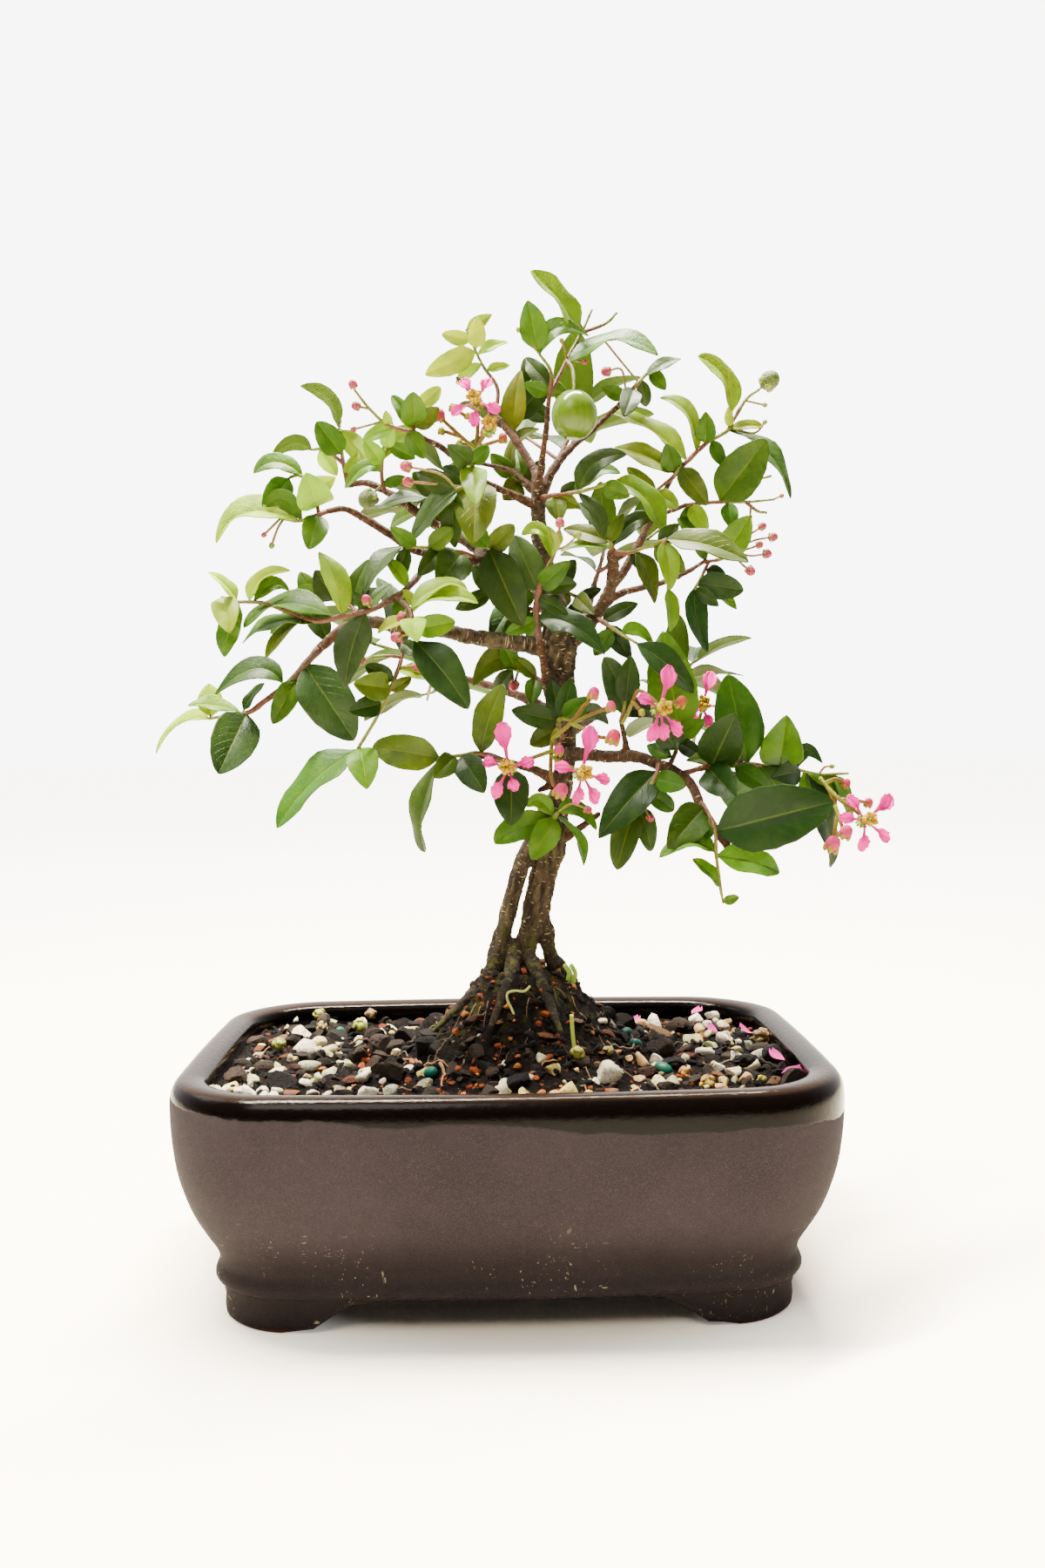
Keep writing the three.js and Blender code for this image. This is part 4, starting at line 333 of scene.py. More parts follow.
def show(name, mesh, material, slot, *nodes):
    """A piece at the origin that rides on the whole, takes the finish given and stands for some nodes. The
    slot is not used.
    """
    piece = bpy.data.objects.new(name, mesh)
    bpy.context.scene.collection.objects.link(piece)
    if material is not None:
        mesh.materials.append(material)
    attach(piece, "root")
    if nodes:
        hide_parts(*nodes)
    return piece


def unit(vector):
    """The same direction, one long."""
    return vector / (np.linalg.norm(vector) + 1e-12)


def ripple(points, wavelength, seed, stretch=(1, 1, 1), waves=14):
    """Smooth noise, mostly between -1.5 and 1.5: sine waves that run in random directions, their sum over
    the root of their number."""
    chance = np.random.default_rng(seed)
    ways = chance.normal(size=(waves, 3))
    ways *= (2 * np.pi / wavelength) * chance.uniform(0.6, 1.5, (waves, 1)) / np.linalg.norm(
        ways, axis=1)[:, None]
    phase = chance.uniform(0, 2 * np.pi, waves)
    spread = np.asarray(points) / np.asarray(stretch, float)
    return np.sin(spread @ ways.T + phase).sum(1) / math.sqrt(waves)

# %% [markdown]
# ## Paths and stems
# Twigs, limbs and stalks are round sections along a path. The path is read as a few points, and a smooth
# curve through them avoids the kinks that straight stretches would give.

# %% Tables, smooth paths and tubes
def rows(text):
    """A table as text: commas part its rows, blanks the values of a row, and a word stays a word."""
    return [tuple(value if value.isalpha() else float(value) for value in row.split())
            for row in text.split(",")]


def paths(text):
    """Several tables, parted by semicolons."""
    return [rows(path) for path in text.split(";")]


def smooth_path(stops, step=1.2):
    """Catmull-Rom: each stretch is a cubic through its two ends, whose slope at a point is half the way from
    the point before to the point after. Stops hold a place and anything else that runs along with it."""
    stops = np.asarray(stops, float)
    if len(stops) == 2:
        stops = np.array([stops[0], stops.mean(0), stops[1]])
    padded = np.vstack([2 * stops[0] - stops[1], stops, 2 * stops[-1] - stops[-2]])
    lengths = np.linalg.norm(np.diff(stops[:, :3], axis=0), axis=1)
    counts = np.maximum(np.ceil(lengths / step).astype(int), 1)
    stretch = np.repeat(np.arange(len(lengths)), counts)
    part = np.concatenate([np.arange(count) / count for count in counts])[:, None]
    p0, p1, p2, p3 = (padded[stretch + k] for k in range(4))
    curve = 0.5 * (2 * p1 + (p2 - p0) * part + (2 * p0 - 5 * p1 + 4 * p2 - p3) * part ** 2
                   + (3 * p1 - p0 - 3 * p2 + p3) * part ** 3)
    return np.vstack([curve, stops[-1]])


def along_path(points):
    """Slope and two cross directions at each point: one is the axis that the path runs along least, made
    square to the slope, the other is square to both."""
    slope = np.gradient(points, axis=0)
    slope /= np.linalg.norm(slope, axis=1)[:, None] + 1e-9
    steady = np.zeros(3)
    steady[np.argmin(np.abs(slope).max(0))] = 1
    side = steady - slope * (slope @ steady)[:, None]
    side /= np.linalg.norm(side, axis=1)[:, None] + 1e-9
    return slope, side, np.cross(slope, side)


def tube(stack, points, radii, sides, tint=(1, 1, 1), rough=0.0):
    """Round sections: centre plus radius times (cosine of the angle along side plus sine along up)."""
    points = np.asarray(points, float)
    _, side, up = along_path(points)
    angle = np.arange(sides) / sides * 2 * np.pi
    ring = np.cos(angle)[None, :, None] * side[:, None] + np.sin(angle)[None, :, None] * up[:, None]
    radii = np.broadcast_to(np.asarray(radii, float), (len(points),))[:, None]
    if rough:
        bumps = ripple((points[:, None] + ring).reshape(-1, 3), 1.7, 5).reshape(len(points), sides)
        radii = radii * (1 + rough * bumps)
    skin = points[:, None] + ring * np.broadcast_to(radii, (len(points), sides))[..., None]
    tint = np.broadcast_to(np.asarray(tint, float), (len(points), 3))
    stack.closed(skin, np.repeat(tint, sides, 0))


def blob(stack, centre, radii, axis, tint, rings=7, columns=9):
    """A ball: height is the cosine and width the sine of an angle from pole to pole, turned to an axis. The
    poles are tiny rings, so that every face is a quad."""
    axis = np.asarray(axis, float) / np.linalg.norm(axis)
    side = np.cross(axis, [0.36, 0.2, 0.91])
    side /= np.linalg.norm(side)
    up = np.cross(axis, side)
    polar = np.linspace(0.02, np.pi - 0.02, rings)
    angle = np.arange(columns) / columns * 2 * np.pi
    out = np.sin(polar)[:, None, None] * (np.cos(angle)[:, None] * side + np.sin(angle)[:, None] * up)
    skin = centre + radii[1] * out - radii[0] * np.cos(polar)[:, None, None] * axis
    stack.closed(skin, tint)

# %% [markdown]
# ## The pot
# A low stoneware pot with rounded corners, bowed sides, a waist over its foot ring and four feet. It is a
# rounded rectangle whose inset changes with height, like a lathe turning that is not round. Thick glaze is
# smooth and has no edge that is sharp, so the profile is a smooth curve through its stations.

# %% Outline and profile
POT_WIDTH, POT_DEPTH, POT_CORNER, POT_BOW, SIDE_BOW = 203.0, 152.0, 30.0, 4.5, 0.4
FLOOR_Z = 10.4


def pot_loop(inset, z, corner_steps=12, side_steps=14):
    """A rectangle with round corners, whose sides are pushed out by the bow times one minus the square of the
    way from their middle. Corner radius shrinks with the inset."""
    half = np.array([POT_WIDTH / 2 - POT_BOW * SIDE_BOW - inset, POT_DEPTH / 2 - POT_BOW - inset])
    radius = max(POT_CORNER - inset * 0.8, 6)
    angle = np.linspace(0, np.pi / 2, corner_steps + 1)
    signs = np.array([[1, 1], [-1, 1], [-1, -1], [1, -1]])
    arcs = [sign * (half - radius) + radius * np.stack([np.cos(angle + k * np.pi / 2),
                                                        np.sin(angle + k * np.pi / 2)], 1)
            for k, sign in enumerate(signs)]
    loop = []
    for k in range(4):
        ahead = arcs[(k + 1) % 4][0]
        part = (np.arange(1, side_steps) / side_steps)[:, None]
        loop += [arcs[k], arcs[k][-1] * (1 - part) + ahead * part]
    loop = np.vstack(loop)
    across = loop / half
    bow_x = POT_BOW * SIDE_BOW * (1 - across[:, 1] ** 2) * np.sign(across[:, 0]) * across[:, 0] ** 4
    bow_y = POT_BOW * (1 - across[:, 0] ** 2) * np.sign(across[:, 1]) * across[:, 1] ** 4
    return np.column_stack([loop[:, 0] + bow_x, loop[:, 1] + bow_y, np.full(len(loop), z)])


OUTSIDE = rows("""
16 10.4, 12.6 11.3, 12.1 13.4, 12.9 15.4, 13.3 17.2, 12.4 20.5, 9.4 25.5, 6.3 31, 3.9 37, 1.9 44, 0.8 51,
0.15 58, 0 63, 0.15 66.5, 0.9 69.3, 2.6 71.4, 5 71.9, 8 71.5
""")
INSIDE = rows("""
10 70.4, 10.7 68, 10.6 62, 11.5 46, 17 31, 26 15.8
""")
profile = smooth_path([(inset, 0, z) for inset, z in OUTSIDE + INSIDE], 1.6)[:, [0, 2]]
rings = np.array([pot_loop(inset, z) for inset, z in profile])
print("pot grid:", rings.shape)

# %% [markdown]
# ## Feet
# The foot ring follows the pot's outline a little further in. Between the feet its lower edge rises in a
# low arch, so the height of a point is whichever is greater, its own or the arch's over it. The packed
# model's drain holes are not cut here.

# %% Feet
FOOT_OUTSIDE = rows("""
13.0 12.8, 14.1 9.5, 14.9 6, 14.7 2.6, 14.9 0.8, 15.7 0
""")
FOOT_INSIDE = rows("""
17 0, 27 0, 28.4 0.4, 29 1.6, 29 12.8
""")


def arch_height(reach, foot_reach, flat_reach):
    """Nought under a foot, the floor's height inside the flat reach, and half a cosine wave between."""
    part = np.clip((foot_reach - np.abs(reach)) / (foot_reach - flat_reach), 0, 1)
    return FLOOR_Z * (0.5 - 0.5 * np.cos(np.pi * part ** 0.9))


foot_rings = np.array([pot_loop(inset, z) for inset, z in FOOT_OUTSIDE + FOOT_INSIDE])
arch = np.maximum(arch_height(foot_rings[..., 0], 62, 40), arch_height(foot_rings[..., 1], 41, 22))
foot_rings[..., 2] = np.maximum(foot_rings[..., 2], arch)
sides = rings.shape[1]

pot_stack = Stack()
pot_stack.closed(rings)
foot_faces = grid_faces(len(foot_rings) + 1, sides, True) % (len(foot_rings) * sides)
pot_stack.add(foot_rings, foot_faces[:, ::-1])
pot_mesh = pot_stack.mesh("glazed_pot")


def outward(mesh):
    """Turns every face of a closed mesh outwards."""
    work = bmesh.new()
    work.from_mesh(mesh)
    bmesh.ops.recalc_face_normals(work, faces=work.faces)
    work.to_mesh(mesh)
    work.free()


outward(pot_mesh)
print("pot faces:", len(pot_mesh.polygons))

# %% [markdown]
# ## Glaze
# Under the rim the glaze lies thick and smooth, and there it is painted nearly black, a painted reflection of
# a dark room; this band ends in a wavering line that drops a little towards the right. On top of the rim it
# is worn and browner. Below the band it is thin, brown-grey and dull, with fine grains, and painted shade
# darkens it towards the bottom. Small pale scratches and specks lie low on the body, and the edges that the
# feet stand on are bare, rusty clay.

# %% Glaze finish
glaze = Finish("glaze", 0.3)
glaze.shine(0.07)
sides_of = glaze.node("ShaderNodeSeparateXYZ", {"Vector": glaze.coordinates})
up_the_pot = sides_of.outputs["Z"]
sloping = glaze.plus(up_the_pot, glaze.times(sides_of.outputs["X"], 0.030))
ragged = glaze.plus(glaze.times(glaze.noise(30, 2, 0.5), 0.0075),
                    glaze.times(glaze.noise(330, 3, 0.6), 0.0016))
# The band's near-black colour is a painted reflection of a dark room; the band is also smoother and raised.
thick = glaze.range(glaze.plus(sloping, ragged), 0.0674, 0.0684)
grain = glaze.range(glaze.noise(2600, 2), 0.4, 0.75)
cloudy = glaze.range(glaze.noise(22, 3), 0.35, 0.7)
thin_glaze = glaze.blend(cloudy, (0.0125, 0.0098, 0.0118), (0.0180, 0.0142, 0.0170))
thin_glaze = glaze.blend(glaze.times(grain, 0.45), thin_glaze, (0.036, 0.029, 0.031))
# Painted shade: the thin glaze is darkened towards the bottom of the pot.
painted_low_shade = glaze.range(up_the_pot, 0.034, 0.018, 0.0, 0.5)
thin_glaze = glaze.blend(painted_low_shade, thin_glaze, (0.0045, 0.0028, 0.0024))
# Painted dark reflection: the band under the rim is turned nearly black.
body = glaze.blend(thick, thin_glaze, (0.0012, 0.0007, 0.0006))
rim_worn = glaze.range(up_the_pot, 0.0702, 0.0716)
body = glaze.blend(glaze.times(rim_worn, 0.5), body, (0.022, 0.012, 0.007))
scratch = glaze.range(glaze.noise(800, 2, 0.6, squeeze=(1, 1, 0.25)), 0.675, 0.72)
stroke = glaze.range(glaze.noise(700, 2, 0.6, squeeze=(0.25, 0.25, 1)), 0.69, 0.73)
speck = glaze.range(glaze.noise(1500, 1), 0.71, 0.76)
low = glaze.times(glaze.range(up_the_pot, 0.040, 0.012), glaze.range(glaze.noise(45, 2), 0.45, 0.62))
marks = glaze.times(glaze.math("MAXIMUM", glaze.math("MAXIMUM", scratch, stroke), speck), low)
body = glaze.blend(glaze.times(marks, 0.8), body, (0.20, 0.17, 0.11))
clay = glaze.range(glaze.plus(up_the_pot, glaze.times(glaze.noise(60, 2), 0.002)), 0.0024, 0.0014)
glaze.colour(glaze.blend(clay, body, (0.075, 0.020, 0.009)))
gloss = glaze.range(thick, 0, 1, 0.80, 0.02)
gloss = glaze.plus(gloss, glaze.times(cloudy, 0.03))
glaze.put(glaze.plus(gloss, glaze.times(clay, 0.5)), glaze.shader.inputs["Roughness"])
dimples = glaze.noise(420, 1)
relief = glaze.plus(glaze.times(grain, 0.3), glaze.times(dimples, 1.2))
glaze.bump(glaze.plus(relief, glaze.times(thick, 1.5)), 0.00010, 0.5)
show("glazed_pot", pot_mesh, glaze.material, "glaze", "pot")
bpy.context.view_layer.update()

# %% Drain screens
mesh_plastic = Finish("screen_plastic", 0.55)
ribs = mesh_plastic.noise(900, 1)
mesh_plastic.colour(mesh_plastic.blend(ribs, (0.012, 0.014, 0.016), (0.03, 0.034, 0.036)))
mesh_plastic.bump(ribs, 0.0002)
for name in ("drain_screen_left", "drain_screen_right"):
    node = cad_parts[name]
    node.data.materials.clear()
    node.data.materials.append(mesh_plastic.material)
print("screens painted")

# %% [markdown]
# ## Soil
# Dark grit fills the pot a little below the rim and rises to the mound that the roots hold. Its rings climb
# inside the pot's wall and then run in to the middle of the mound, and noise roughens the bed. The loose
# stones come on top.

# %% Soil bed
SOIL_Z, MOUND_X, MOUND_SQUEEZE = 64.5, 6.0, 0.92
MOUND = np.array([(0, 96), (12, 94.5), (15, 91.5), (21, 84), (28, 77), (36.5, 70.5), (46, 66.2), (57, SOIL_Z),
                  (200, SOIL_Z)])


def bed_height(x, y):
    """Height of the mound read at the distance from its middle, plus three sizes of noise."""
    far = np.hypot(x - MOUND_X, y * MOUND_SQUEEZE)
    smooth = np.interp(far, MOUND[:, 0], MOUND[:, 1])
    flat = np.column_stack([x, y, 0 * x])
    return smooth + 0.7 * ripple(flat, 14, 3) + 0.6 * ripple(flat, 5.5, 4) + 0.5 * ripple(flat, 2.6, 5)


rim_loop = pot_loop(10.8, 0, 24, 36)
parts = np.linspace(1, 0.02, 96)
bed = np.array([np.column_stack([MOUND_X + (rim_loop[:, 0] - MOUND_X) * part, rim_loop[:, 1] * part])
                for part in parts])
bed_z = bed_height(bed[..., 0].ravel(), bed[..., 1].ravel()).reshape(bed.shape[:2])
under = np.array([pot_loop(inset, z, 24, 36) for inset, z in ((26.5, 16.8), (17.6, 31), (12, 46), (11, 60))])
bed_rings = np.concatenate([under, np.dstack([bed, bed_z])])
soil_stack = Stack()
soil_stack.closed(bed_rings)
soil_mesh = soil_stack.mesh("soil_bed")

earth = Finish("earth", 0.95)
earth.shine(0.12)
crumbs = earth.noise(520, 5, 0.75)
patches = earth.range(earth.noise(60, 2), 0.45, 0.62)
dark = earth.blend(earth.range(crumbs, 0.42, 0.72), (0.0006, 0.0004, 0.0003), (0.0075, 0.0042, 0.0030))
brown = earth.blend(earth.range(crumbs, 0.4, 0.7), (0.001, 0.0006, 0.0004), (0.015, 0.0062, 0.0030))
ground = earth.blend(patches, dark, brown)
rusty = earth.range(earth.noise(620, 2, 0.7), 0.66, 0.70)
ground = earth.blend(rusty, ground, (0.16, 0.038, 0.008))
mossy = earth.times(earth.range(earth.height(), 0.070, 0.088),
                    earth.range(earth.noise(95, 4, 0.7), 0.5, 0.58))
earth.colour(earth.blend(earth.times(mossy, 0.6), ground, (0.030, 0.032, 0.003)))
earth.bump(crumbs, 0.0022, 1.0)
show("soil_bed", soil_mesh, earth.material, "soil", "soil")
print("soil faces:", len(soil_mesh.polygons))

# %% [markdown]
# ## Stones
# White pumice, black lava, rusty crumbs, bark chips and a few teal feed beads lie on the bed. One ball of
# 24 to 96 faces is copied with its own turn, size and broken faces, all copies of a kind in one mesh.
# Places are drawn at random and kept only where they are free, and the pale ones crowd where they do on the
# real pot.

# %% Broken stones
def cube_ball(steps):
    """The faces of a cube cut into steps by steps squares, each point pushed out onto the unit ball."""
    side = np.linspace(-1, 1, steps + 1)
    a, b = np.meshgrid(side, side, indexing="ij")
    one = np.ones_like(a)
    sheets = [(one, a, b), (-one, b, a), (b, one, a), (a, -one, b), (a, b, one), (b, a, -one)]
    points = np.concatenate([np.stack(sheet, -1).reshape(-1, 3) for sheet in sheets])
    size = (steps + 1) ** 2
    quads = np.concatenate([grid_faces(steps + 1, steps + 1) + k * size for k in range(6)])
    _, first, same = np.unique(points.round(6), axis=0, return_index=True, return_inverse=True)
    points = points[first]
    return points / np.linalg.norm(points, axis=1)[:, None], same.ravel()[quads]


def turns(chance, count):
    """Random rotation matrices, from random unit quaternions."""
    quaternion = chance.normal(size=(count, 4))
    w, x, y, z = (quaternion / np.linalg.norm(quaternion, axis=1)[:, None]).T
    return np.stack([
        np.stack([1 - 2 * (y * y + z * z), 2 * (x * y - z * w), 2 * (x * z + y * w)], -1),
        np.stack([2 * (x * y + z * w), 1 - 2 * (x * x + z * z), 2 * (y * z - x * w)], -1),
        np.stack([2 * (x * z - y * w), 2 * (y * z + x * w), 1 - 2 * (x * x + y * y)], -1)], -2)


def broken(ball, chance, count, cuts):
    """Copies of the ball, each cut by random planes: a point beyond a plane moves back onto it."""
    shape = np.repeat(ball[None], count, 0)
    for _ in range(cuts):
        way = chance.normal(size=(count, 1, 3))
        way /= np.linalg.norm(way, axis=2, keepdims=True)
        over = np.maximum((shape * way).sum(2) - chance.uniform(0.35, 0.85, (count, 1)), 0)
        shape = shape - over[..., None] * way
    return shape

# %% Free places
taken = np.zeros((0, 3))
half_bed = np.array([POT_WIDTH / 2 - 13.5, POT_DEPTH / 2 - 17])


def free_places(chance, sizes, crowd, tries=14000, room=0.75):
    """Random points on the bed, inside its round corners, kept with the odds that crowd gives, where no
    kept stone is nearer than a part of both radii together."""
    global taken
    kept = []
    spots = chance.uniform(-1, 1, (tries, 2)) * half_bed
    odds = chance.uniform(0, 1, tries)
    likely = crowd(spots[:, 0], spots[:, 1])
    corner = np.hypot(*np.maximum(np.abs(spots) - (half_bed - 24), 0).T)
    for x, y in spots[(odds < likely) & (corner < 24)]:
        if len(kept) == len(sizes):
            break
        radius = sizes[len(kept)]
        if (np.hypot(taken[:, 0] - x, taken[:, 1] - y) < room * (taken[:, 2] + radius)).any():
            continue
        kept.append((x, y, radius))
        taken = np.vstack([taken, (x, y, radius)])
    return np.array(kept)


def stones(name, seed, spots, flat, cuts, tints, material, steps=3, sink=0.3, kinds=None, smooth=True):
    """Broken balls, stretched, sized, turned and set on the bed, each with one of the tints."""
    chance = np.random.default_rng(seed)
    ball, quads = cube_ball(steps)
    count = len(spots)
    shape = broken(ball * 1.15, chance, count, cuts) * chance.uniform(0.7, 1.3, (count, 1, 3))
    shape = np.einsum("nij,nvj->nvi", turns(chance, count), shape) * spots[:, 2][:, None, None]
    shape = shape * (1.1, 1.1, flat)
    lean = chance.normal(0, 0.25 if flat < 0.5 else 0.1, (count, 1))
    shape[..., 2] += shape[..., 0] * lean
    height = np.ptp(shape[..., 2], axis=1)
    middle = bed_height(spots[:, 0], spots[:, 1]) + (0.5 - sink) * height
    points = shape + np.column_stack([spots[:, :2], middle])[:, None]
    faces = quads[None] + (np.arange(count) * len(ball))[:, None, None]
    kinds = chance.integers(0, len(tints), count) if kinds is None else kinds
    colours = np.asarray(tints)[kinds] * chance.uniform(0.8, 1.08, (count, 1))
    stack = Stack()
    stack.add(points, faces.reshape(-1, 4), np.repeat(colours, len(ball), 0))
    mesh = stack.mesh(name)
    outward(mesh)
    mesh.polygons.foreach_set("use_smooth", np.full(len(mesh.polygons), smooth))
    print(name, count)
    return show(name, mesh, material, "soil")


def sizes_of(seed, count, low, high):
    """Many small and few large: low plus the rest times a random part to the power two."""
    return low + (high - low) * np.random.default_rng(seed).random(count) ** 2


def heap(x, y, at, reach):
    """A bell round a place."""
    return np.exp(-((x - at[0]) ** 2 + (y - at[1]) ** 2) / (2 * reach ** 2))


def off_mound(x, y, near=34, far=46):
    """Nought on the mound, one beyond it."""
    return np.clip((np.hypot(x - MOUND_X, y * MOUND_SQUEEZE) - near) / (far - near), 0, 1)


def white_crowd(x, y):
    """Where the pumice gathers: along the left and the right side, and less at the front middle."""
    crowd = (heap(x, y, (-70, -32), 13) + heap(x, y, (-45, -36), 10) + 0.7 * heap(x, y, (-66, 8), 12)
             + 0.5 * heap(x, y, (-55, 42), 14) + 0.8 * heap(x, y, (32, -38), 9) + heap(x, y, (74, 26), 15)
             + 0.6 * heap(x, y, (62, -6), 13) + 0.5 * heap(x, y, (50, 42), 12)
             + 0.5 * heap(x, y, (66, -36), 14) + 0.35 * heap(x, y, (4, -50), 12) + 0.04)
    return crowd * off_mound(x, y, 32, 42)

# %% Stone finishes
def stone_finish(name, roughness, scale, depth, pits_colour, cast=None):
    """The tint of each stone with darker pits, and patches of a cast if given."""
    made = Finish(name, roughness)
    made.shine(0.12)
    pits = made.noise(scale, 4, 0.7)
    colour = made.attribute("tint")
    if cast:
        colour = made.blend(made.range(made.noise(scale * 0.25, 2), 0.52, 0.68, 0, 0.75), colour, cast)
    made.colour(made.blend(made.range(pits, 0.34, 0.5, 0.75, 0.0), colour, pits_colour, "MULTIPLY"))
    made.bump(pits, depth, 1.0)
    return made.material


pumice = stone_finish("pumice", 0.9, 900, 0.0010, (0.42, 0.33, 0.20), (0.62, 0.55, 0.16))
lava = stone_finish("lava", 0.75, 1300, 0.0012, (0.25, 0.2, 0.17))
bark_chip = stone_finish("bark_chip", 0.8, 900, 0.0006, (0.4, 0.35, 0.3))
bead_finish = stone_finish("feed_bead", 0.4, 500, 0.0001, (0.6, 0.6, 0.6))

# %% [markdown]
# A part of the pale stones was read off the photo and is laid where those lie on the real bed: x, y, radius
# and kind (white, cream, yellow, green, grey, orange, tan). More of them are strewn at random, most where
# the real ones crowd.

# %% Pale stones
PUMICE_TINTS = rows("""
0.72 0.66 0.53, 0.68 0.59 0.38, 0.62 0.5 0.17, 0.5 0.5 0.26, 0.37 0.37 0.27, 0.6 0.37 0.17, 0.28 0.21 0.1
""")
PALE_STONES = np.array(rows("""
-85 -16 3.5 0, -85 -34 2.2 2, -79 -26 2.9 3, -88 -42 2.4 1, -77 -42 2.8 0, -70 -40 1.9 1, -73 -18 2.7 1,
-67 -23 1.6 0, -70 20 3.8 0, -65 24 2.9 1, -64 -6 3.3 4, -60 7 2.1 3, -57 -15 2.5 3, -58 -30 1.9 3,
-53 -29 1.9 1, -50 -40 2.7 1, -44 -30 2.5 0, -43 -44 2.6 0, -45 -18 1.7 1, -55 -48 2.4 0, -78 62 2.7 0,
-80 50 2.5 2, -73 42 2.6 1, -64 60 2.4 4, -52 51 2.8 0, -41 50 2 1, -53 17 1.9 3, -50 5 2 5, -36 -3 1.9 1,
-31 -21 1.8 0, -83 13 2 0, -76 0 1.2 2, -44 40 1.7 0, 30 -39 3.9 0, 55 46 3.3 0, 35 -1 1.9 0, 31 -8 1.3 0,
49 32 1.3 1, 48 -16 2.7 0, 58 -10 2.5 1, 72 58 2.6 0, 78 59 2.2 0, 75 46 2.2 0, 79 41 2.2 0, 65 23 2.9 3,
70 15 2.7 3, 76 23 2.5 0, 86 38 1.4 2, 82 35 1.3 0, 83 13 2.1 4, 76 -4 2.7 0, 82 -8 2.7 4, 87 -2 1.9 3,
68 -14 2.2 0, 79 -17 2.2 1, 48 -27 1.2 2, 52 -34 1.4 3, 45 -40 2.1 1, 38 -42 1.2 2, 38 -48 1.4 5,
49 -48 1.6 0, 66 -38 1.5 2, 70 -33 1.2 3, 73 -35 2.1 5, 77 -37 1.8 2, 63 -37 1.1 2, 38 -22 1.5 5,
89 -24 1.4 6, 86 21 0.9 6, 13 -41 2.7 2, -3 -52 3.1 1, 5 -52 2.2 2, 6 -42 1.9 1, -1 -45 1.8 0,
18 -48 2.5 2, 22 -51 1.9 2, -9 -23 0.6 0, 31 -9 1.2 0
"""))
BEADS = np.array(rows("""
-23.8 -32.9 1.7, 39.5 -1 1.6, 45 24 1.7, 41.6 -9 2, 48.7 -24.7 1.9, -60 46 1.5
"""))
taken = np.vstack([taken, BEADS, PALE_STONES[:, :3]])
chance = np.random.default_rng(21)
more = free_places(chance, sizes_of(1, 120, 0.9, 2.6), white_crowd, room=0.9)
more_kinds = chance.choice(7, len(more), p=(0.3, 0.2, 0.14, 0.14, 0.08, 0.07, 0.07))
kinds = np.concatenate([PALE_STONES[:, 3].astype(int), more_kinds])
pale_spots = np.vstack([PALE_STONES[:, :3], more])
stones("pumice_stones", 31, pale_spots, 0.95, 7, PUMICE_TINTS, pumice, 4, 0.28, kinds)
dark_spots = free_places(chance, sizes_of(3, 260, 1.5, 4.6),
                         lambda x, y: 0.04 + off_mound(x, y, 26, 38), room=0.7)
DARK_TINTS = rows("""
0.009 0.0065 0.005, 0.0045 0.0036 0.0034, 0.018 0.012 0.0085, 0.03 0.02 0.014
""")
stones("dark_stones", 33, dark_spots, 0.9, 8, DARK_TINTS, lava, 4, 0.35, smooth=False)
chip_spots = free_places(chance, sizes_of(2, 70, 1.4, 4.2), lambda x, y: 0.1 + 0.9 * off_mound(x, y, 20, 34))
stones("bark_chips", 32, chip_spots, 0.4, 6,
       [(0.055, 0.017, 0.008), (0.028, 0.011, 0.006), (0.085, 0.030, 0.012), (0.10, 0.055, 0.025)],
       bark_chip, 3, 0.15, smooth=False)
taken = taken[:0]
crumb_spots = free_places(chance, sizes_of(4, 1500, 0.35, 1.5),
                          lambda x, y: 0.35 + 0.65 * (1 - off_mound(x, y)), 16000, 0.45)
stones("dark_crumbs", 34, crumb_spots, 0.9, 4,
       [(0.0045, 0.0032, 0.0024), (0.0025, 0.002, 0.0018), (0.010, 0.006, 0.004)],
       lava, 2, 0.25, smooth=False)
taken = taken[:0]


def rusty_crowd(x, y):
    """Where the orange crumbs gather: the front middle, both right corners and the left of the mound."""
    return (0.06 + 0.5 * heap(x, y, (-22, -42), 14) + 0.45 * heap(x, y, (57, -32), 9)
            + 0.25 * heap(x, y, (2, -34), 20) + 0.25 * heap(x, y, (-12, -8), 10)
            + 0.3 * heap(x, y, (64, 50), 8))


rust_spots = free_places(chance, sizes_of(5, 320, 0.3, 1.35), rusty_crowd)
stones("rusty_crumbs", 35, rust_spots, 0.85, 5,
       [(0.30, 0.066, 0.014), (0.17, 0.036, 0.010), (0.42, 0.15, 0.03)], lava, 3, 0.1, smooth=False)
stones("feed_beads", 36, BEADS, 0.95, 0, [(0.002, 0.050, 0.030), (0.003, 0.075, 0.045)], bead_finish, 4, 0.2)

# %% [markdown]
# ## Roots, sprouts and fallen things
# Fine roots run down the mound and dry stalks lie over the stones. A pale stem and a curled sprout grow in
# front of the trunk and a tiny fern at its foot, withered flowers lie among the stones, and petals have
# dropped at the right.

# %% Threads over the soil
def thread(stack, x, y, way, length, radius, tint, chance, lift=0.35):
    """A path of equal steps whose direction wanders, laid on the bed."""
    steps = max(int(length / 1.3), 4)
    heading = way + np.cumsum(chance.normal(0, 0.28, steps))
    xs = x + np.cumsum(np.cos(heading)) * length / steps
    ys = y + np.cumsum(np.sin(heading)) * length / steps
    zs = bed_height(xs, ys) + lift + 0.5 * np.sin(np.linspace(0, 9, steps) + chance.uniform(0, 6))
    tube(stack, np.column_stack([xs, ys, zs]), np.linspace(radius, radius * 0.4, steps), 4, tint)


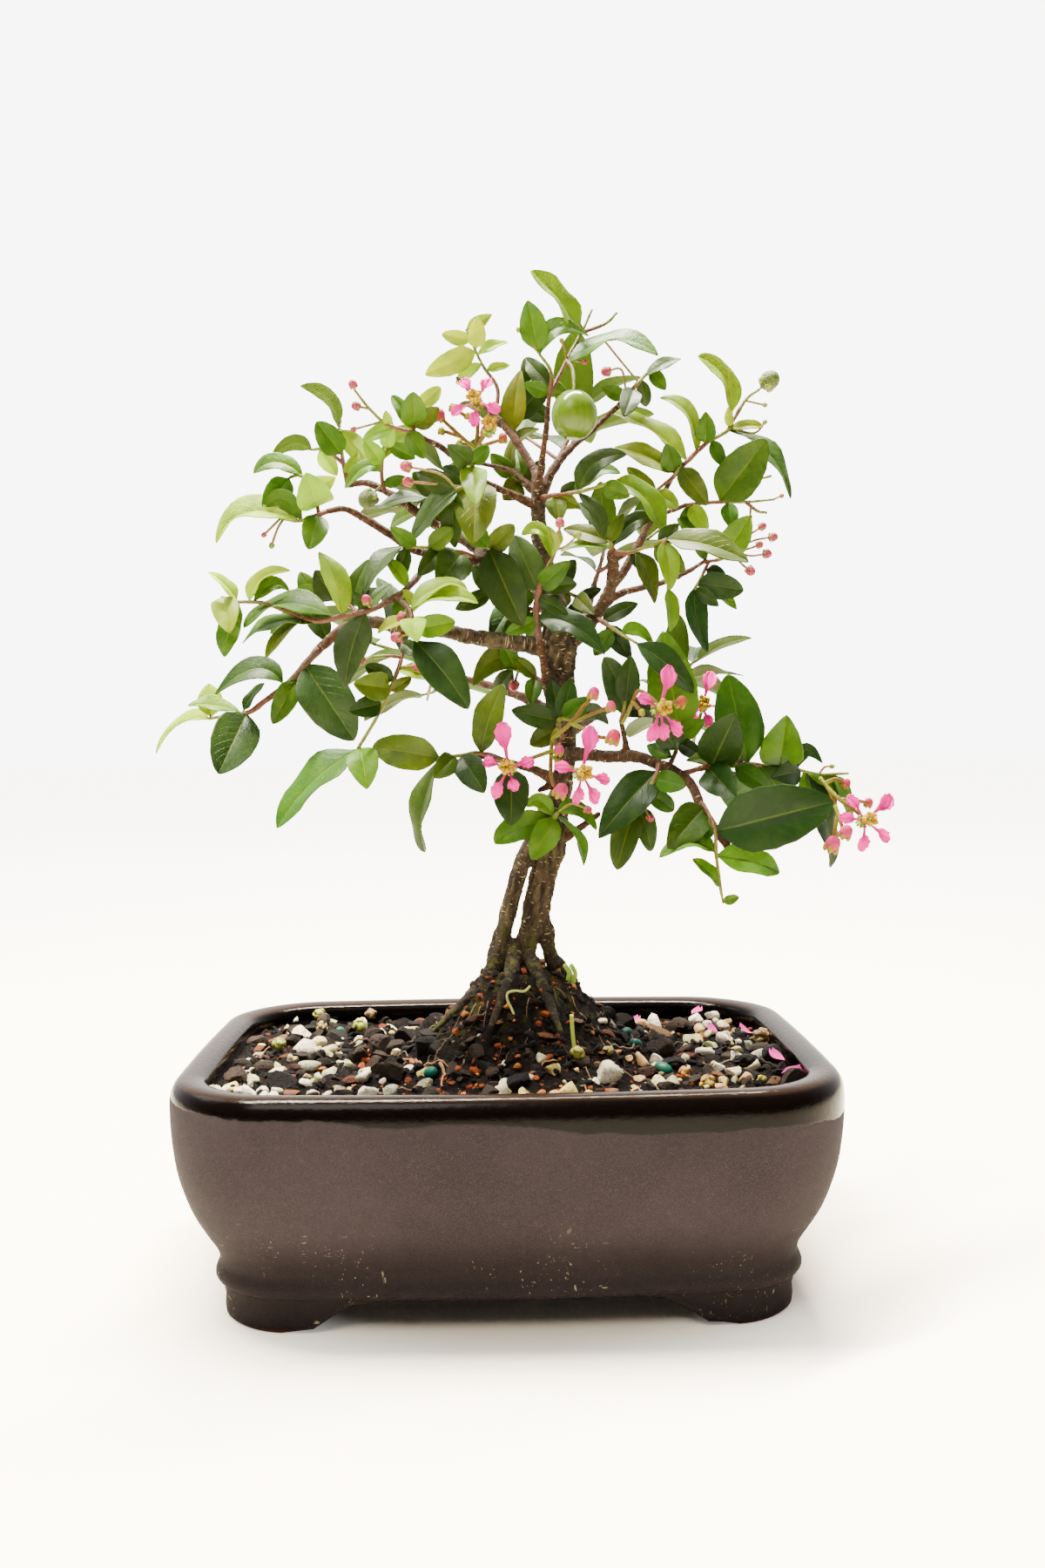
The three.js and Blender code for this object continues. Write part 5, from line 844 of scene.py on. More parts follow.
threads = Stack()
chance = np.random.default_rng(77)
THREAD_TINTS = ((0.030, 0.013, 0.006), (0.085, 0.040, 0.015), (0.042, 0.042, 0.004), (0.13, 0.075, 0.024))
for number in range(120):
    turn, far = chance.uniform(0, 2 * np.pi), chance.uniform(13, 44)
    place = MOUND_X + far * math.cos(turn), far * math.sin(turn) / MOUND_SQUEEZE
    downhill = turn + chance.normal(0, 0.5)
    tint = THREAD_TINTS[number % 4]
    thread(threads, *place, downhill, chance.uniform(5, 15), chance.uniform(0.12, 0.32), tint, chance)
for x, y, way, length, radius, *tint in rows("""
-30 -20 -0.7 18 0.55 0.23 0.1 0.04, -22 -30 -1.2 14 0.6 0.26 0.13 0.06, -60 26 0.1 30 0.4 0.09 0.04 0.02,
62 -14 0.5 26 0.4 0.07 0.035 0.018, 30 -20 0.3 22 0.4 0.08 0.04 0.02, 78 16 0.9 16 0.6 0.3 0.22 0.03,
-84 4 1.2 18 0.4 0.12 0.05 0.025, 54 6 1.5 14 0.35 0.02 0.014 0.01, -40 -44 0.3 14 0.5 0.09 0.035 0.02,
6 -44 0.9 12 0.4 0.22 0.12 0.05
"""):
    thread(threads, x, y, way, length, radius, tint, chance, 1.6)
thread_finish = mottled_finish("root_thread", 0.8, (700, 2), 0.35, 0.5, (0.12, 0.07, 0.035), 0.0002)
show("root_threads", threads.mesh("root_threads"), thread_finish.material, "soil")

# %% Sprouts, withered flowers and petals
sprouts = Stack()
SPROUT = (0.28, 0.36, 0.02)
pale_stem = rows("20.7 -31.5 73, 20.3 -31.3 77, 19.9 -31.2 81, 19.7 -31.2 86")
curled = rows("""
3.3 -24.4 82, 1.6 -22.5 85.7, 0.1 -21 89, 0.3 -20.5 91, 2.6 -20.3 91.6, 5.4 -20.2 91.4, 7.4 -19.8 93
""")
tube(sprouts, smooth_path(pale_stem, 0.8), 0.62, 8, SPROUT)
tube(sprouts, smooth_path(curled, 0.8), 0.42, 7, (0.27, 0.31, 0.05))


def withered(stack, centre, size, tint, chance):
    """A crumpled flower: thirteen flat lobes round a middle."""
    centre = np.array(centre, float)
    blob(stack, centre, (size * 0.7, size * 0.6), (0, 0, 1), np.array(tint) * 0.7, 7, 9)
    for _ in range(13):
        way = unit(chance.normal(size=3) + (0, 0, 0.5))
        blob(stack, centre + way * size * 0.62, (size * 0.2, size * 0.42), way + chance.normal(0, 0.4, 3),
             np.array(tint) * chance.uniform(0.6, 1.3), 6, 7)


chance = np.random.default_rng(78)
for x, y, z, size, *tint in rows("""
-77 13 68 2.9 0.2 0.25 0.02, -69 61 68.5 2.9 0.17 0.17 0.015, -52 40 68.5 3.3 0.28 0.33 0.03,
-66 41 68 2.6 0.14 0.09 0.012, -50 60 68.5 2.6 0.12 0.05 0.012, 21.3 -33.5 74.5 2.7 0.26 0.24 0.02,
31.3 -26 73.5 2.1 0.3 0.26 0.05, 52 28 66.5 1.8 0.24 0.21 0.02, 60 -41 66.5 3.0 0.34 0.18 0.015,
55 -28 66.5 2.6 0.36 0.12 0.012, 88 18 67 4.2 0.11 0.035 0.01, 77 -38 66.5 2.0 0.36 0.3 0.015
"""):
    withered(sprouts, (x, y, z), size, tint, chance)
sprout_finish = mottled_finish("sprout", 0.55, (600, 3, 0.6), 0.35, 0.35, (0.36, 0.34, 0.06), 0.0003)
show("sprouts", sprouts.mesh("sprouts"), sprout_finish.material, "soil")

fern = Stack()
stalk = smooth_path([(19.5, -4, 88), (21, -4.5, 91), (21.6, -4.7, 94), (20.4, -4.8, 96.4)], 0.5)
tube(fern, stalk, 0.22, 5, (0.10, 0.19, 0.012))
for number in range(4, len(stalk), 2):
    for hand in (-1, 1):
        blob(fern, stalk[number] + (hand, -0.2, 0.3), (0.25, 0.85), (0.1, -1, 0.2), (0.15, 0.30, 0.012), 5, 8)
show("fern_sprig", fern.mesh("fern_sprig"), sprout_finish.material, "soil")

FALLEN = rows("""
70.3 48 69.5 0.9 4.4, 71.8 20 69 2.0 3.8, 83 17 69 2.6 3.4, 85.5 -22 69 2.0 4.8, 87 -34 67.5 0.2 4.4,
46 36 69 0.8 4.2
""")
fallen = Stack()
for x, y, z, turn, size in FALLEN:
    u, v = np.meshgrid(np.linspace(0, 1, 8), np.linspace(-1, 1, 9), indexing="ij")
    half = size * 0.42 * np.sin(np.pi * u ** 1.4 * 0.93) ** 0.7
    run, wide = (u - 0.5) * size * 1.5, v * half
    bend = 0.5 * np.sin(u * 5 + turn) + 0.35 * np.sin(v * 9 + turn) * u + 1.0 * v ** 2 * u
    flake = np.stack([x + run * math.cos(turn) - wide * math.sin(turn),
                      y + run * math.sin(turn) + wide * math.cos(turn), z + bend + u * 1.8], -1)
    fallen.add(flake, grid_faces(8, 9), (0.62, 0.045, 0.30), np.stack([u, v * 0.5 + 0.5], -1))
fallen_mesh = fallen.mesh("fallen_petals")
print("fallen petals:", len(FALLEN))

# %% [markdown]
# ## Wood
# The trunk, the second stem on its left, the surface roots and the limbs are round sections along paths.
# Rows hold x, z, depth and radius. The stems are grown into one skin by a fine voxel remesh, as wood grows
# together, and then the skin is pushed in and out along its normals: long furrows along the stems,
# wrinkles, lumps and small warts.

# %% Wood of the tree
TRUNK = rows("""
6 84 0 6, 5.6 97 0 4.4, 6.7 103 0 3.6, 9.1 110.6 0 4.3, 10.9 118 0 4.6, 12.8 125.6 0 4.6, 14.6 134 0 5,
17 143 0 4.2, 17.8 150 0 3.7, 19.5 160 0 3.6, 20.4 171 0 3.7, 19.4 181 0 4.3, 18.4 191 0 5,
18.4 202 -1 5.9, 17.5 212 -1 4.4, 15.5 222 -1 3.5, 13 233 -2 3, 11.8 246 -2 2.5, 11.6 257 -3 1.7
""")
SECOND_STEM = rows("""
-4.5 84 -2 4.4, -3.6 95 -2 3.7, -1.9 103.3 -2 3.1, 0.2 111.3 -2 2.9, 2.6 119.5 -2 2.8, 5.6 130 -2 2.8,
9.5 138 -1 2.9, 13.5 147 0 2.8
""")
ROOTS = paths("""
11.6 112 0 3.2, 13 107 0 3, 14.2 102 0 2.4, 15 98.5 0.5 2.7, 18.2 94 1 2.9, 23 87 2 2.3, 29 78 3 1.2;
3 103 -2 2.6, 2 94 -9 2.6, -1 86 -17 1.9, -5 76 -27 1;
7.6 100 -3 2.1, 10.5 93 -10 2.4, 14 84 -18 1.7, 18 74 -30 0.9;
-3.6 97 -1 2.8, -8 90 -3 2.4, -15 83 -6 1.7, -25 74 -9 0.9;
-3 97 1 2.6, -7 90 9 2.3, -13 81 20 1.4;
15.5 98 3 1.9, 18 92 9 2.4, 25 81 19 1.5;
8.8 97.2 2 2.9, 9.5 91 11 2.6, 11 80 26 1.4
""")
LIMBS = paths("""
17 199 -3 4, 10 201.5 -4 3, -8 204 -8 2.6, -19 206.5 -11 2.4, -32 208 -13 2.2, -45 209.5 -15 1.9,
-52 207.5 -16 1.7, -60 201 -16 1.4;
14 223 -1 3.2, 6 226.5 -2 2.9, -4 230.5 -3 2.9, -7 231.5 -3 2.2;
-4 231 -2 2.4, -14 237 1 1.8, -25 243 5 1.5, -33 249 9 1.4, -43 254.5 14 1.2, -50 254 18 1;
-4 230 -3 2.5, -12 229.5 -8 1.9, -20 231 -13 1.6, -29 233 -17 1.4, -38 239 -21 1.3, -50 246 -25 1.1,
-57 245.5 -28 0.9;
11.5 254 -2 1.8, 11 258 -1 1.6, 5 268 3 1.4, 0 274 6 1.2, -5 279 8 1, -8 282 9 0.9, -14 288.5 11 0.7;
11 247 -3 1.6, 3 251 -7 1.3, -7 255.5 -11 1.2, -15 262.5 -14 1.1, -20 266.5 -16 1, -25 269 -17 0.8;
11.5 252 -1 1.3, 7 255.5 2.5 1, 3 258.5 6 0.9, -7 261 9 0.7;
18 200 0 4, 25 205 1 2.9, 29 209.5 0 2.4, 33 215 -1 2.1, 36 222 -3 2, 36.3 231.5 -6 1.9;
36 221 -3 1.8, 40 226 -1 1.6, 43.5 232 1 1.4, 47 239 4 1.3, 50.5 245 6 1.2, 55 254.5 9 0.9,
60 260.5 11 0.85;
50 243 6 0.9, 60 247 12 0.8;
33 214 -1 1.5, 38 218 0 1.3, 45 220 4 1.1, 53 222 8 1, 61 225.5 12 0.9, 66 228.5 15 0.75;
12 249 -2 1.9, 17 259 1 1.5, 23 266 4 1.3, 28 270 6 1.1, 32 273.5 8 1, 38 279 11 0.9;
11.4 250 -3 1.5, 13 260 -6 1.2, 14.5 270 -9 1, 15.5 280 -11 0.8;
20 166.5 -2 2.7, 28 165.5 -6 2.2, 37 165 -11 2, 43 165 -14 2, 49 163 -16 1.9, 55 160.5 -19 1.8,
60 157.5 -21 1.7, 62.5 154 -23 1.6, 65 148 -26 1.5, 70 140 -29 1.4, 75.5 132.5 -32 1.2;
40.5 165.5 -13 1.2, 39.5 172 -11 0.9, 38.5 177 -10 0.8;
17 157 -2 2.2, 10.9 160.5 -6 1.5, 1 163.5 -9 1.35, -7 165.6 -11 1.3, -14 163.5 -13 1.3,
-20 161.5 -15 1.25, -25.5 158.5 -17 1.2;
19 138 -1 1.8, 24 141 -4 1.4, 31 146 -9 1;
16 156 -2 1.5, 11.5 154 -5 0.8;
17 181 -2 2.2, 14.5 187 -6 1.6, 13.5 194 -8 1.4, 12 203 -10 1.2;
17 196 2 2.6, 22 204 14 2.1, 27 212 28 1.7, 30 221 42 1.2;
15 214 1 2.4, 8 222 14 1.9, -1 230 28 1.5, -9 239 42 1.1;
19 170 2 2.2, 26 176 14 1.7, 36 181 28 1.4, 46 184 40 1;
18 178 2 2.2, 8 184 14 1.7, -6 189 26 1.4, -20 193 38 1.1;
12 242 1 1.9, 14 251 12 1.4, 18 261 24 1
""")

# %% Grow the wood together
VOXEL_SIZE = 0.00052  # metres, a size that keeps the wood under 200,000 triangles


def wood_rows(path):
    """Stops of x, z, depth, radius: places as seen from the eye, radius kept, on a smooth curve."""
    places = np.array([seen(x, z, y) for x, z, y, _ in path])
    return smooth_path(np.column_stack([places, np.array(path)[:, 3]]), 1.5)


curves = [wood_rows(path) for path in [TRUNK, SECOND_STEM] + ROOTS + LIMBS]
wood_stack = Stack()
for curve in curves:
    tube(wood_stack, curve[:, :3], curve[:, 3], 14)
    for end in (0, -1):
        blob(wood_stack, curve[end, :3], (curve[end, 3],) * 2, (0, 0, 1), (1, 1, 1))
raw = bpy.data.objects.new("raw_wood", wood_stack.mesh("raw_wood"))
bpy.context.scene.collection.objects.link(raw)
remesh = raw.modifiers.new("grow", "REMESH")
remesh.mode = "VOXEL"
remesh.voxel_size = VOXEL_SIZE
remesh.use_smooth_shade = True
wood_mesh = bpy.data.meshes.new_from_object(raw.evaluated_get(bpy.context.evaluated_depsgraph_get()))
wood_mesh.name = "wood"
bpy.data.objects.remove(raw)
print("wood faces:", len(wood_mesh.polygons))

# %% [markdown]
# The furrows need to know how a stem runs. Each point of the skin takes the direction and radius of the
# nearest point on any path, and noise that is drawn out along that direction becomes bark.

# %% Bark relief
def nearest_stem(points, curves):
    """The path point nearest to each point, a thick stem counting as nearer: its place, slope, radius and
    distance along its path. The distances of each path start 100 higher than those of the last."""
    places = np.concatenate([c[:, :3] for c in curves])
    slopes = np.concatenate([along_path(c[:, :3])[0] for c in curves])
    radii = np.concatenate([c[:, 3] for c in curves])
    walks = np.concatenate([np.r_[0, np.cumsum(np.linalg.norm(np.diff(c[:, :3], axis=0), axis=1))] + 100 * k
                            for k, c in enumerate(curves)])
    best = np.empty(len(points), int)
    for start in range(0, len(points), 4000):
        part = points[start:start + 4000]
        far = ((part[:, None] - places[None]) ** 2).sum(-1) - radii ** 2
        best[start:start + 4000] = far.argmin(1)
    return places[best], slopes[best], radii[best], walks[best]


skin = np.zeros(len(wood_mesh.vertices) * 3, np.float32)
wood_mesh.vertices.foreach_get("co", skin)
skin = skin.reshape(-1, 3).astype(float)
normals = np.zeros(len(wood_mesh.vertices) * 3, np.float32)
wood_mesh.vertex_normals.foreach_get("vector", normals)
normals = normals.reshape(-1, 3).astype(float)
local = (skin - POT_CENTRE) * 1000
spots, slopes, radii, walks = nearest_stem(local, curves)
offset = local - spots
along = (offset * slopes).sum(1)
out = offset - along[:, None] * slopes
out /= np.linalg.norm(out, axis=1)[:, None] + 1e-9
walk = walks + along
girth = np.clip(radii, 0.8, 6)[:, None]
twisted = out * girth + slopes * (walk / 5)[:, None]
furrows = ripple(twisted, 1.9, 31, waves=30)
wrinkles = ripple(local, 1.5, 32, waves=24)
lumps = ripple(local, 6.5, 33)
warts = np.maximum(ripple(local, 2.1, 34, waves=22) - 1.25, 0)
strength = np.clip(radii / 5, 0.12, 1)
relief = strength * (0.36 * furrows + 0.14 * wrinkles - 0.12) + np.clip(radii / 4, 0.15, 1) * 0.28 * lumps
relief += 0.4 * np.clip(radii / 3, 0.3, 1) * warts
wood_points = skin + normals * relief[:, None] / 1000
wood_mesh.vertices.foreach_set("co", wood_points.astype(np.float32).ravel())
shade = wood_mesh.attributes.new("tint", "FLOAT_COLOR", "POINT")
tone = np.ones((len(relief), 4), np.float32)
tone[:, 0] = np.clip(0.5 + 0.45 * (furrows * 0.7 + wrinkles * 0.4), 0, 1)
tone[:, 1] = np.clip(radii / 5, 0, 1)
tone[:, 2] = np.clip(lumps * 0.5 + 0.5, 0, 1)
shade.data.foreach_set("color", tone.ravel())
run = wood_mesh.attributes.new("run", "FLOAT_VECTOR", "POINT")
stem_place = np.column_stack([twisted[:, :2] * 0.6, walk]) / 1000
run.data.foreach_set("vector", stem_place.astype(np.float32).ravel())
wood_mesh.update()
print("relief from", round(relief.min(), 2), "to", round(relief.max(), 2))

# %% [markdown]
# Old wood is grey-brown, darker in its furrows, and marked all over by short pale breathing pores that lie
# across the stem. Young wood is redder. Towards the soil the bark is nearly black and moss grows on it.

# %% Bark finish
bark = Finish("bark", 0.85)
bark.shine(0.2)
channels = bark.node("ShaderNodeSeparateColor", {"Color": bark.attribute("tint")})
ridge, thickness = channels.outputs[0], channels.outputs[1]
grainy = bark.noise(1700, 4, 0.75)
old = bark.blend(ridge, (0.005, 0.0030, 0.0015), (0.074, 0.051, 0.026))
stem_way = bark.node("ShaderNodeAttribute", attribute_name="run").outputs["Vector"]
old = bark.blend(bark.range(bark.noise(120, 4, 0.65), 0.48, 0.66, 0, 0.6), old, (0.088, 0.068, 0.038))
streaks = bark.noise(900, 2, 0.6, stem_way, (1, 1, 0.09))
old = bark.blend(bark.range(streaks, 0.56, 0.64, 0, 0.55), old, (0.080, 0.072, 0.026))
old = bark.blend(bark.range(streaks, 0.46, 0.38, 0, 0.8), old, (0.010, 0.006, 0.004))
old = bark.blend(bark.range(grainy, 0.3, 0.62, 0.6, 0), old, (0.010, 0.006, 0.003))
young = bark.blend(bark.range(bark.noise(700, 3), 0.4, 0.65), (0.026, 0.010, 0.004), (0.065, 0.028, 0.010))
wood_colour = bark.blend(bark.range(thickness, 0.26, 0.55), young, old)
pores = bark.range(bark.noise(760, 1, 0.5, stem_way, (1, 1, 1.9)), 0.655, 0.69)
wood_colour = bark.blend(bark.times(pores, 0.9), wood_colour, (0.30, 0.235, 0.12))
base_dark = bark.range(bark.height(), 0.116, 0.092)
wood_colour = bark.blend(bark.times(base_dark, 0.85), wood_colour, (0.0045, 0.0030, 0.0018))
rising = bark.plus(bark.height(), bark.times(bark.noise(110, 3), 0.03))
moss = bark.times(bark.range(rising, 0.130, 0.112), bark.range(bark.noise(240, 4, 0.7), 0.5, 0.6))
wood_colour = bark.blend(bark.times(moss, 0.75), wood_colour, (0.044, 0.046, 0.004))
bark.colour(wood_colour)
bark.bump(bark.plus(grainy, bark.times(pores, 0.5)), 0.0006, 1.0)
show("wood", wood_mesh, bark.material, "bark", "tree_wood")

# %% [markdown]
# ## Leaves
# A leaf row holds its base and tip as seen, its seen width and its tone. Depth is guessed: the leaf leans
# towards the viewer, or away on the tree's far side, when it looks short for its width, and its blade turns
# about the midrib until it shows the width that was read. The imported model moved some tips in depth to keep
# leaves apart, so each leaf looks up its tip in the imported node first. A tip that isn't found there belongs
# to a leaf that had no room.

# %% Leaf placing
BACK_DEPTH, TRUNK_X = 22.0, 12.0
FOLD = {"bright": 0.26, "green": 0.16, "dark": 0.14, "blue": 0.16, "olive": 0.2, "pale": 0.34}
SWINGS = [math.ceil(i / 2) * (1 if i % 2 else -1) * 2.5 for i in range(19)]
TIP_MISS = 0.8  # mm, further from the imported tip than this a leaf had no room


class Draw:
    """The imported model's own random numbers: next = (last x 1664525 + 1013904223) mod 2 to the 32nd."""

    def __init__(self, seed):
        self.seed = seed

    def next(self):
        self.seed = (self.seed * 1664525 + 1013904223) % 4294967296
        return self.seed / 4294967296


def nearest_on(paths, x, z):
    """The spot on any path that looks nearest to x, z, its depth read between the path's own."""
    best, found = 1e9, None
    for path in paths:
        for a, b in zip(path[:-1], path[1:]):
            a, b = np.array(a[:3], float), np.array(b[:3], float)
            run = b[:2] - a[:2]
            part = min(max(float(np.dot((x, z) - a[:2], run)) / float(run @ run), 0), 1)
            spot = a + (b - a) * part
            far = math.hypot(spot[0] - x, spot[1] - z)
            if far < best:
                best, found = far, spot
    return found


def facing(base, chord, turn):
    """The blade looks at the eye, turned about its chord so that the leaf shows the width that was read. On
    the tree's far side it looks away."""
    to_eye = unit(EYE - base)
    face = unit(to_eye - chord * (to_eye @ chord))
    edge = unit(np.cross(chord, face))
    upward = np.sign(edge[2]) if abs(edge[2]) > 0.2 else np.sign(edge[0] * (base[0] - TRUNK_X)) or 1.0
    if base[1] > BACK_DEPTH:
        face = -face
    return face * math.cos(turn) + edge * upward * math.sin(turn)


def seen_leaf(row, paths, draw):
    """A leaf of the front, with its tips for every swing in depth."""
    x, z, tip_x, tip_z, width, tone = row[:6]
    back = row[6] if len(row) > 6 else 0
    root = nearest_on(paths, x, z)
    depth = root[2]
    reach = math.hypot(tip_x - x, tip_z - z)
    lean = min(math.sqrt(max((width / 0.56) ** 2 - reach ** 2, 0)), reach * 0.9)
    stray = (draw.next() - 0.5) * 0.3 * reach
    tip_depth = depth + (-lean if depth < BACK_DEPTH else lean) + back + stray
    full = max(width, 0.44 * reach)
    middle = (depth + tip_depth) / 2
    bend = np.zeros(3)
    if len(row) > 7:
        bend = seen(row[7], row[8], middle) - seen((x + tip_x) / 2, (z + tip_z) / 2, middle)
    base = seen(x, z, depth)
    tips = np.array([seen(tip_x, tip_z, tip_depth + swing) for swing in SWINGS])
    turn = math.acos(min(width / full, 1))
    return {"root": seen(*root), "base": base, "tone": tone, "bend": bend, "width": full, "tips": tips,
            "arch": 0.02 if len(row) > 7 else 0.09, "normal": lambda chord: facing(base, chord, turn)}


def paired_leaves(path, pairs, draw):
    """Opposite pairs of a rear twig, half along it and half out."""
    stops = np.array([seen(*row) for row in path])
    leaves = []
    for pair in range(pairs):
        walk = ((pair + 0.7) / pairs) * (len(stops) - 1)
        start = min(int(walk), len(stops) - 2)
        root = stops[start] + (stops[start + 1] - stops[start]) * (walk - start)
        along = unit(stops[start + 1] - stops[start])
        level = unit(np.cross(along, (0, 0, 1)))
        steep = np.cross(level, along)
        for side in (1, -1):
            turn = (pair % 2) * 1.2 + (draw.next() - 0.5) * 0.7
            out = level * math.cos(turn) * side + steep * math.sin(turn) * side
            length = 20 + draw.next() * 12
            way = unit(along * 0.6 + out * 0.85)
            base = root + way * 2
            end = base + way * length
            tone = "dark" if draw.next() < 0.5 else "green"
            tips = np.array([end + (0, 0, swing) for swing in SWINGS])
            leaves.append({"root": root, "base": base, "tone": tone, "bend": np.zeros(3), "tips": tips,
                           "width": length * 0.46, "arch": 0.1,
                           "normal": lambda c: unit(np.array([0, 0.25, 1]) - c * (c[2] + 0.25 * c[1]))})
    return leaves


def settled_tip(leaf, corners):
    """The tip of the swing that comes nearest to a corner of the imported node, and how far it misses."""
    far = np.linalg.norm(leaf["tips"][:, None] - corners[None], axis=2).min(1)
    return leaf["tips"][far.argmin()], far.min()

# %% [markdown]
# A blade is a grid of rows from base to tip and columns from edge to edge. Its outline lies between two
# short tables of parts of its width, a pointed one and a blunt one. The halves stand up from the midrib,
# the edges wave a little, and the midrib arches between base and tip.

# %% Blades
ALONG = np.array([0, .012, .035, .07, .12, .19, .27, .36, .45, .54, .63, .72, .8, .87, .93, .97, 1.0])
POINTED = np.array(rows("""
0 0.05, 0.04 0.17, 0.1 0.46, 0.18 0.75, 0.27 0.94, 0.36 1, 0.48 0.98, 0.6 0.86, 0.72 0.67, 0.82 0.46,
0.9 0.27, 0.95 0.15, 0.98 0.08, 1 0.015
"""))
BLUNT = np.array(rows("""
0 0.05, 0.04 0.2, 0.1 0.5, 0.18 0.78, 0.28 0.95, 0.4 1, 0.52 0.99, 0.64 0.93, 0.75 0.81, 0.85 0.62,
0.92 0.44, 0.96 0.29, 0.985 0.16, 1 0.03
"""))
ACROSS = np.array([-1, -.93, -.72, -.4, -.07, 0, .07, .4, .72, .93, 1.0])
# Tones are the leaves' own colour and age, partly painted light and shade as well: the bright and pale tones
# partly paint light on lit leaves, and the dark tone partly paints the shade inside the crown.
LEAF_TINT = {
    "bright": (0.100, 0.185, 0.0035), "green": (0.036, 0.088, 0.0030), "dark": (0.0155, 0.036, 0.0024),
    "blue": (0.023, 0.048, 0.0085), "olive": (0.054, 0.080, 0.0040), "pale": (0.172, 0.262, 0.0050),
}


def blade(leaf, tip, chance):
    """Rows along the rib, columns from edge to edge: rib plus side by part of the half width, plus the fold's
    lift, plus waves that grow towards the edge."""
    base = leaf["base"]
    chord = tip - base
    length = np.linalg.norm(chord)
    chord = chord / length
    normal = leaf["normal"](chord)
    hump = leaf["bend"] + normal * leaf["arch"] * length
    u = ALONG[:, None]
    rib = base + chord * length * u + hump * 4 * u * (1 - u)
    slope = chord * length + hump * 4 * (1 - 2 * u)
    slope /= np.linalg.norm(slope, axis=1)[:, None]
    side = np.cross(slope, normal)
    side /= np.linalg.norm(side, axis=1)[:, None]
    up = np.cross(side, slope)
    blunt = np.clip(chance.normal(0.65, 0.25), 0, 1)
    outline = (1 - blunt) * np.interp(ALONG, *POINTED.T) + blunt * np.interp(ALONG, *BLUNT.T)
    half = leaf["width"] / 2 * outline[:, None]
    v = ACROSS[None, :]
    fold = FOLD[leaf["tone"]]
    cup = np.abs(v) * (1.25 - 0.32 * np.abs(v))
    narrow = min(1, length / (2.2 * leaf["width"]))
    wave = narrow * (0.05 + 0.05 * chance.random()) * leaf["width"] * np.abs(v) ** 2 * outline[:, None]
    wave = wave * np.sin(u * chance.uniform(5, 11) + chance.uniform(0, 6)
                         + np.where(v > 0, chance.uniform(1, 4), 0))
    twist = chance.normal(0, 0.10) * (u - 0.4) * v * half
    lift = half * fold * cup + wave + twist
    lift = lift - 0.05 * half * np.exp(-(v / 0.1) ** 2)
    edge = 1 + 0.02 * np.sin(u * 31 + chance.uniform(0, 6)) * (np.abs(v) > 0.9)
    points = rib[:, None] + side[:, None] * (half * v * edge)[..., None] + up[:, None] * lift[..., None]
    place = np.stack(np.broadcast_arrays(u, v * 0.5 + 0.5), -1)
    return points, place, rib[1]

# %% [markdown]
# The leaf finish reads the place on the blade: a pale midrib and side veins that run forward from it.
# Lighter and darker patches and a few brown spots lie over it. The underside is paler and duller. Light
# shines through thin blades, so a part of the finish is translucent.

# %% Leaf finish
def leaf_finish(name, under):
    """One recipe for two finishes, the upper face and the paler, duller underside."""
    made = Finish(name, 0.6 if under else 0.42)
    made.shine(0.08 if under else 0.13)
    tint = made.attribute("tint")
    place = made.node("ShaderNodeUVMap", uv_map="place").outputs["UV"]
    parts = made.node("ShaderNodeSeparateXYZ", {"Vector": place})
    run = parts.outputs["X"]
    across = made.math("ABSOLUTE", made.math("SUBTRACT", parts.outputs["Y"], 0.5))
    midrib = made.range(across, 0.028, 0.008)
    slant = made.math("SUBTRACT", made.times(run, 9.0), made.times(across, 5.2))
    wobble = made.times(made.noise(260, 2), 0.45)
    vein = made.math("ABSOLUTE", made.math("SUBTRACT", made.math("FRACT", made.plus(slant, wobble)), 0.5))
    vein = made.times(made.range(vein, 0.06, 0.015), made.range(across, 0.45, 0.25))
    lighter = made.blend(1.0, tint, (2.0, 1.65, 2.0), "MULTIPLY")
    darker = made.blend(1.0, tint, (0.55, 0.68, 0.6), "MULTIPLY")
    colour = made.blend(made.range(made.noise(85, 4, 0.65), 0.36, 0.64), darker, tint)
    colour = made.blend(made.range(made.noise(230, 3, 0.6), 0.5, 0.72, 0, 0.4), colour, lighter)
    colour = made.blend(made.range(made.noise(2100, 2), 0.35, 0.7, 0.0, 0.25), colour, darker)
    colour = made.blend(made.times(vein, 0.16), colour, lighter)
    pale_rib = made.blend(0.35, lighter, (0.14, 0.18, 0.03))
    colour = made.blend(made.times(midrib, 0.7), colour, pale_rib)
    spot = made.range(made.noise(150, 2, 0.7), 0.735, 0.775)
    colour = made.blend(made.times(spot, 0.75), colour, (0.045, 0.014, 0.003))
    if under:
        colour = made.blend(0.35, colour, (0.095, 0.135, 0.022))
    made.colour(colour)
    relief = made.plus(made.times(vein, -0.5), made.times(midrib, -1.0))
    made.bump(made.plus(relief, made.times(made.noise(700, 2), 0.9)), 0.0003, 0.6)
    glow = made.node("ShaderNodeBsdfTranslucent",
                     {"Color": made.blend(1.0, tint, (2.6, 2.2, 0.8), "MULTIPLY")}).outputs[0]
    mix = made.node("ShaderNodeMixShader", {0: 0.24, 1: made.shader.outputs[0], 2: glow})
    made.links.new(mix.outputs[0], made.nodes["Material Output"].inputs["Surface"])
    return made.material


LEAF_THICK, PETAL_THICK = 0.00028, 0.0003  # metres
LEAF_TOP, LEAF_UNDER = leaf_finish("leaf_top", False), leaf_finish("leaf_under", True)

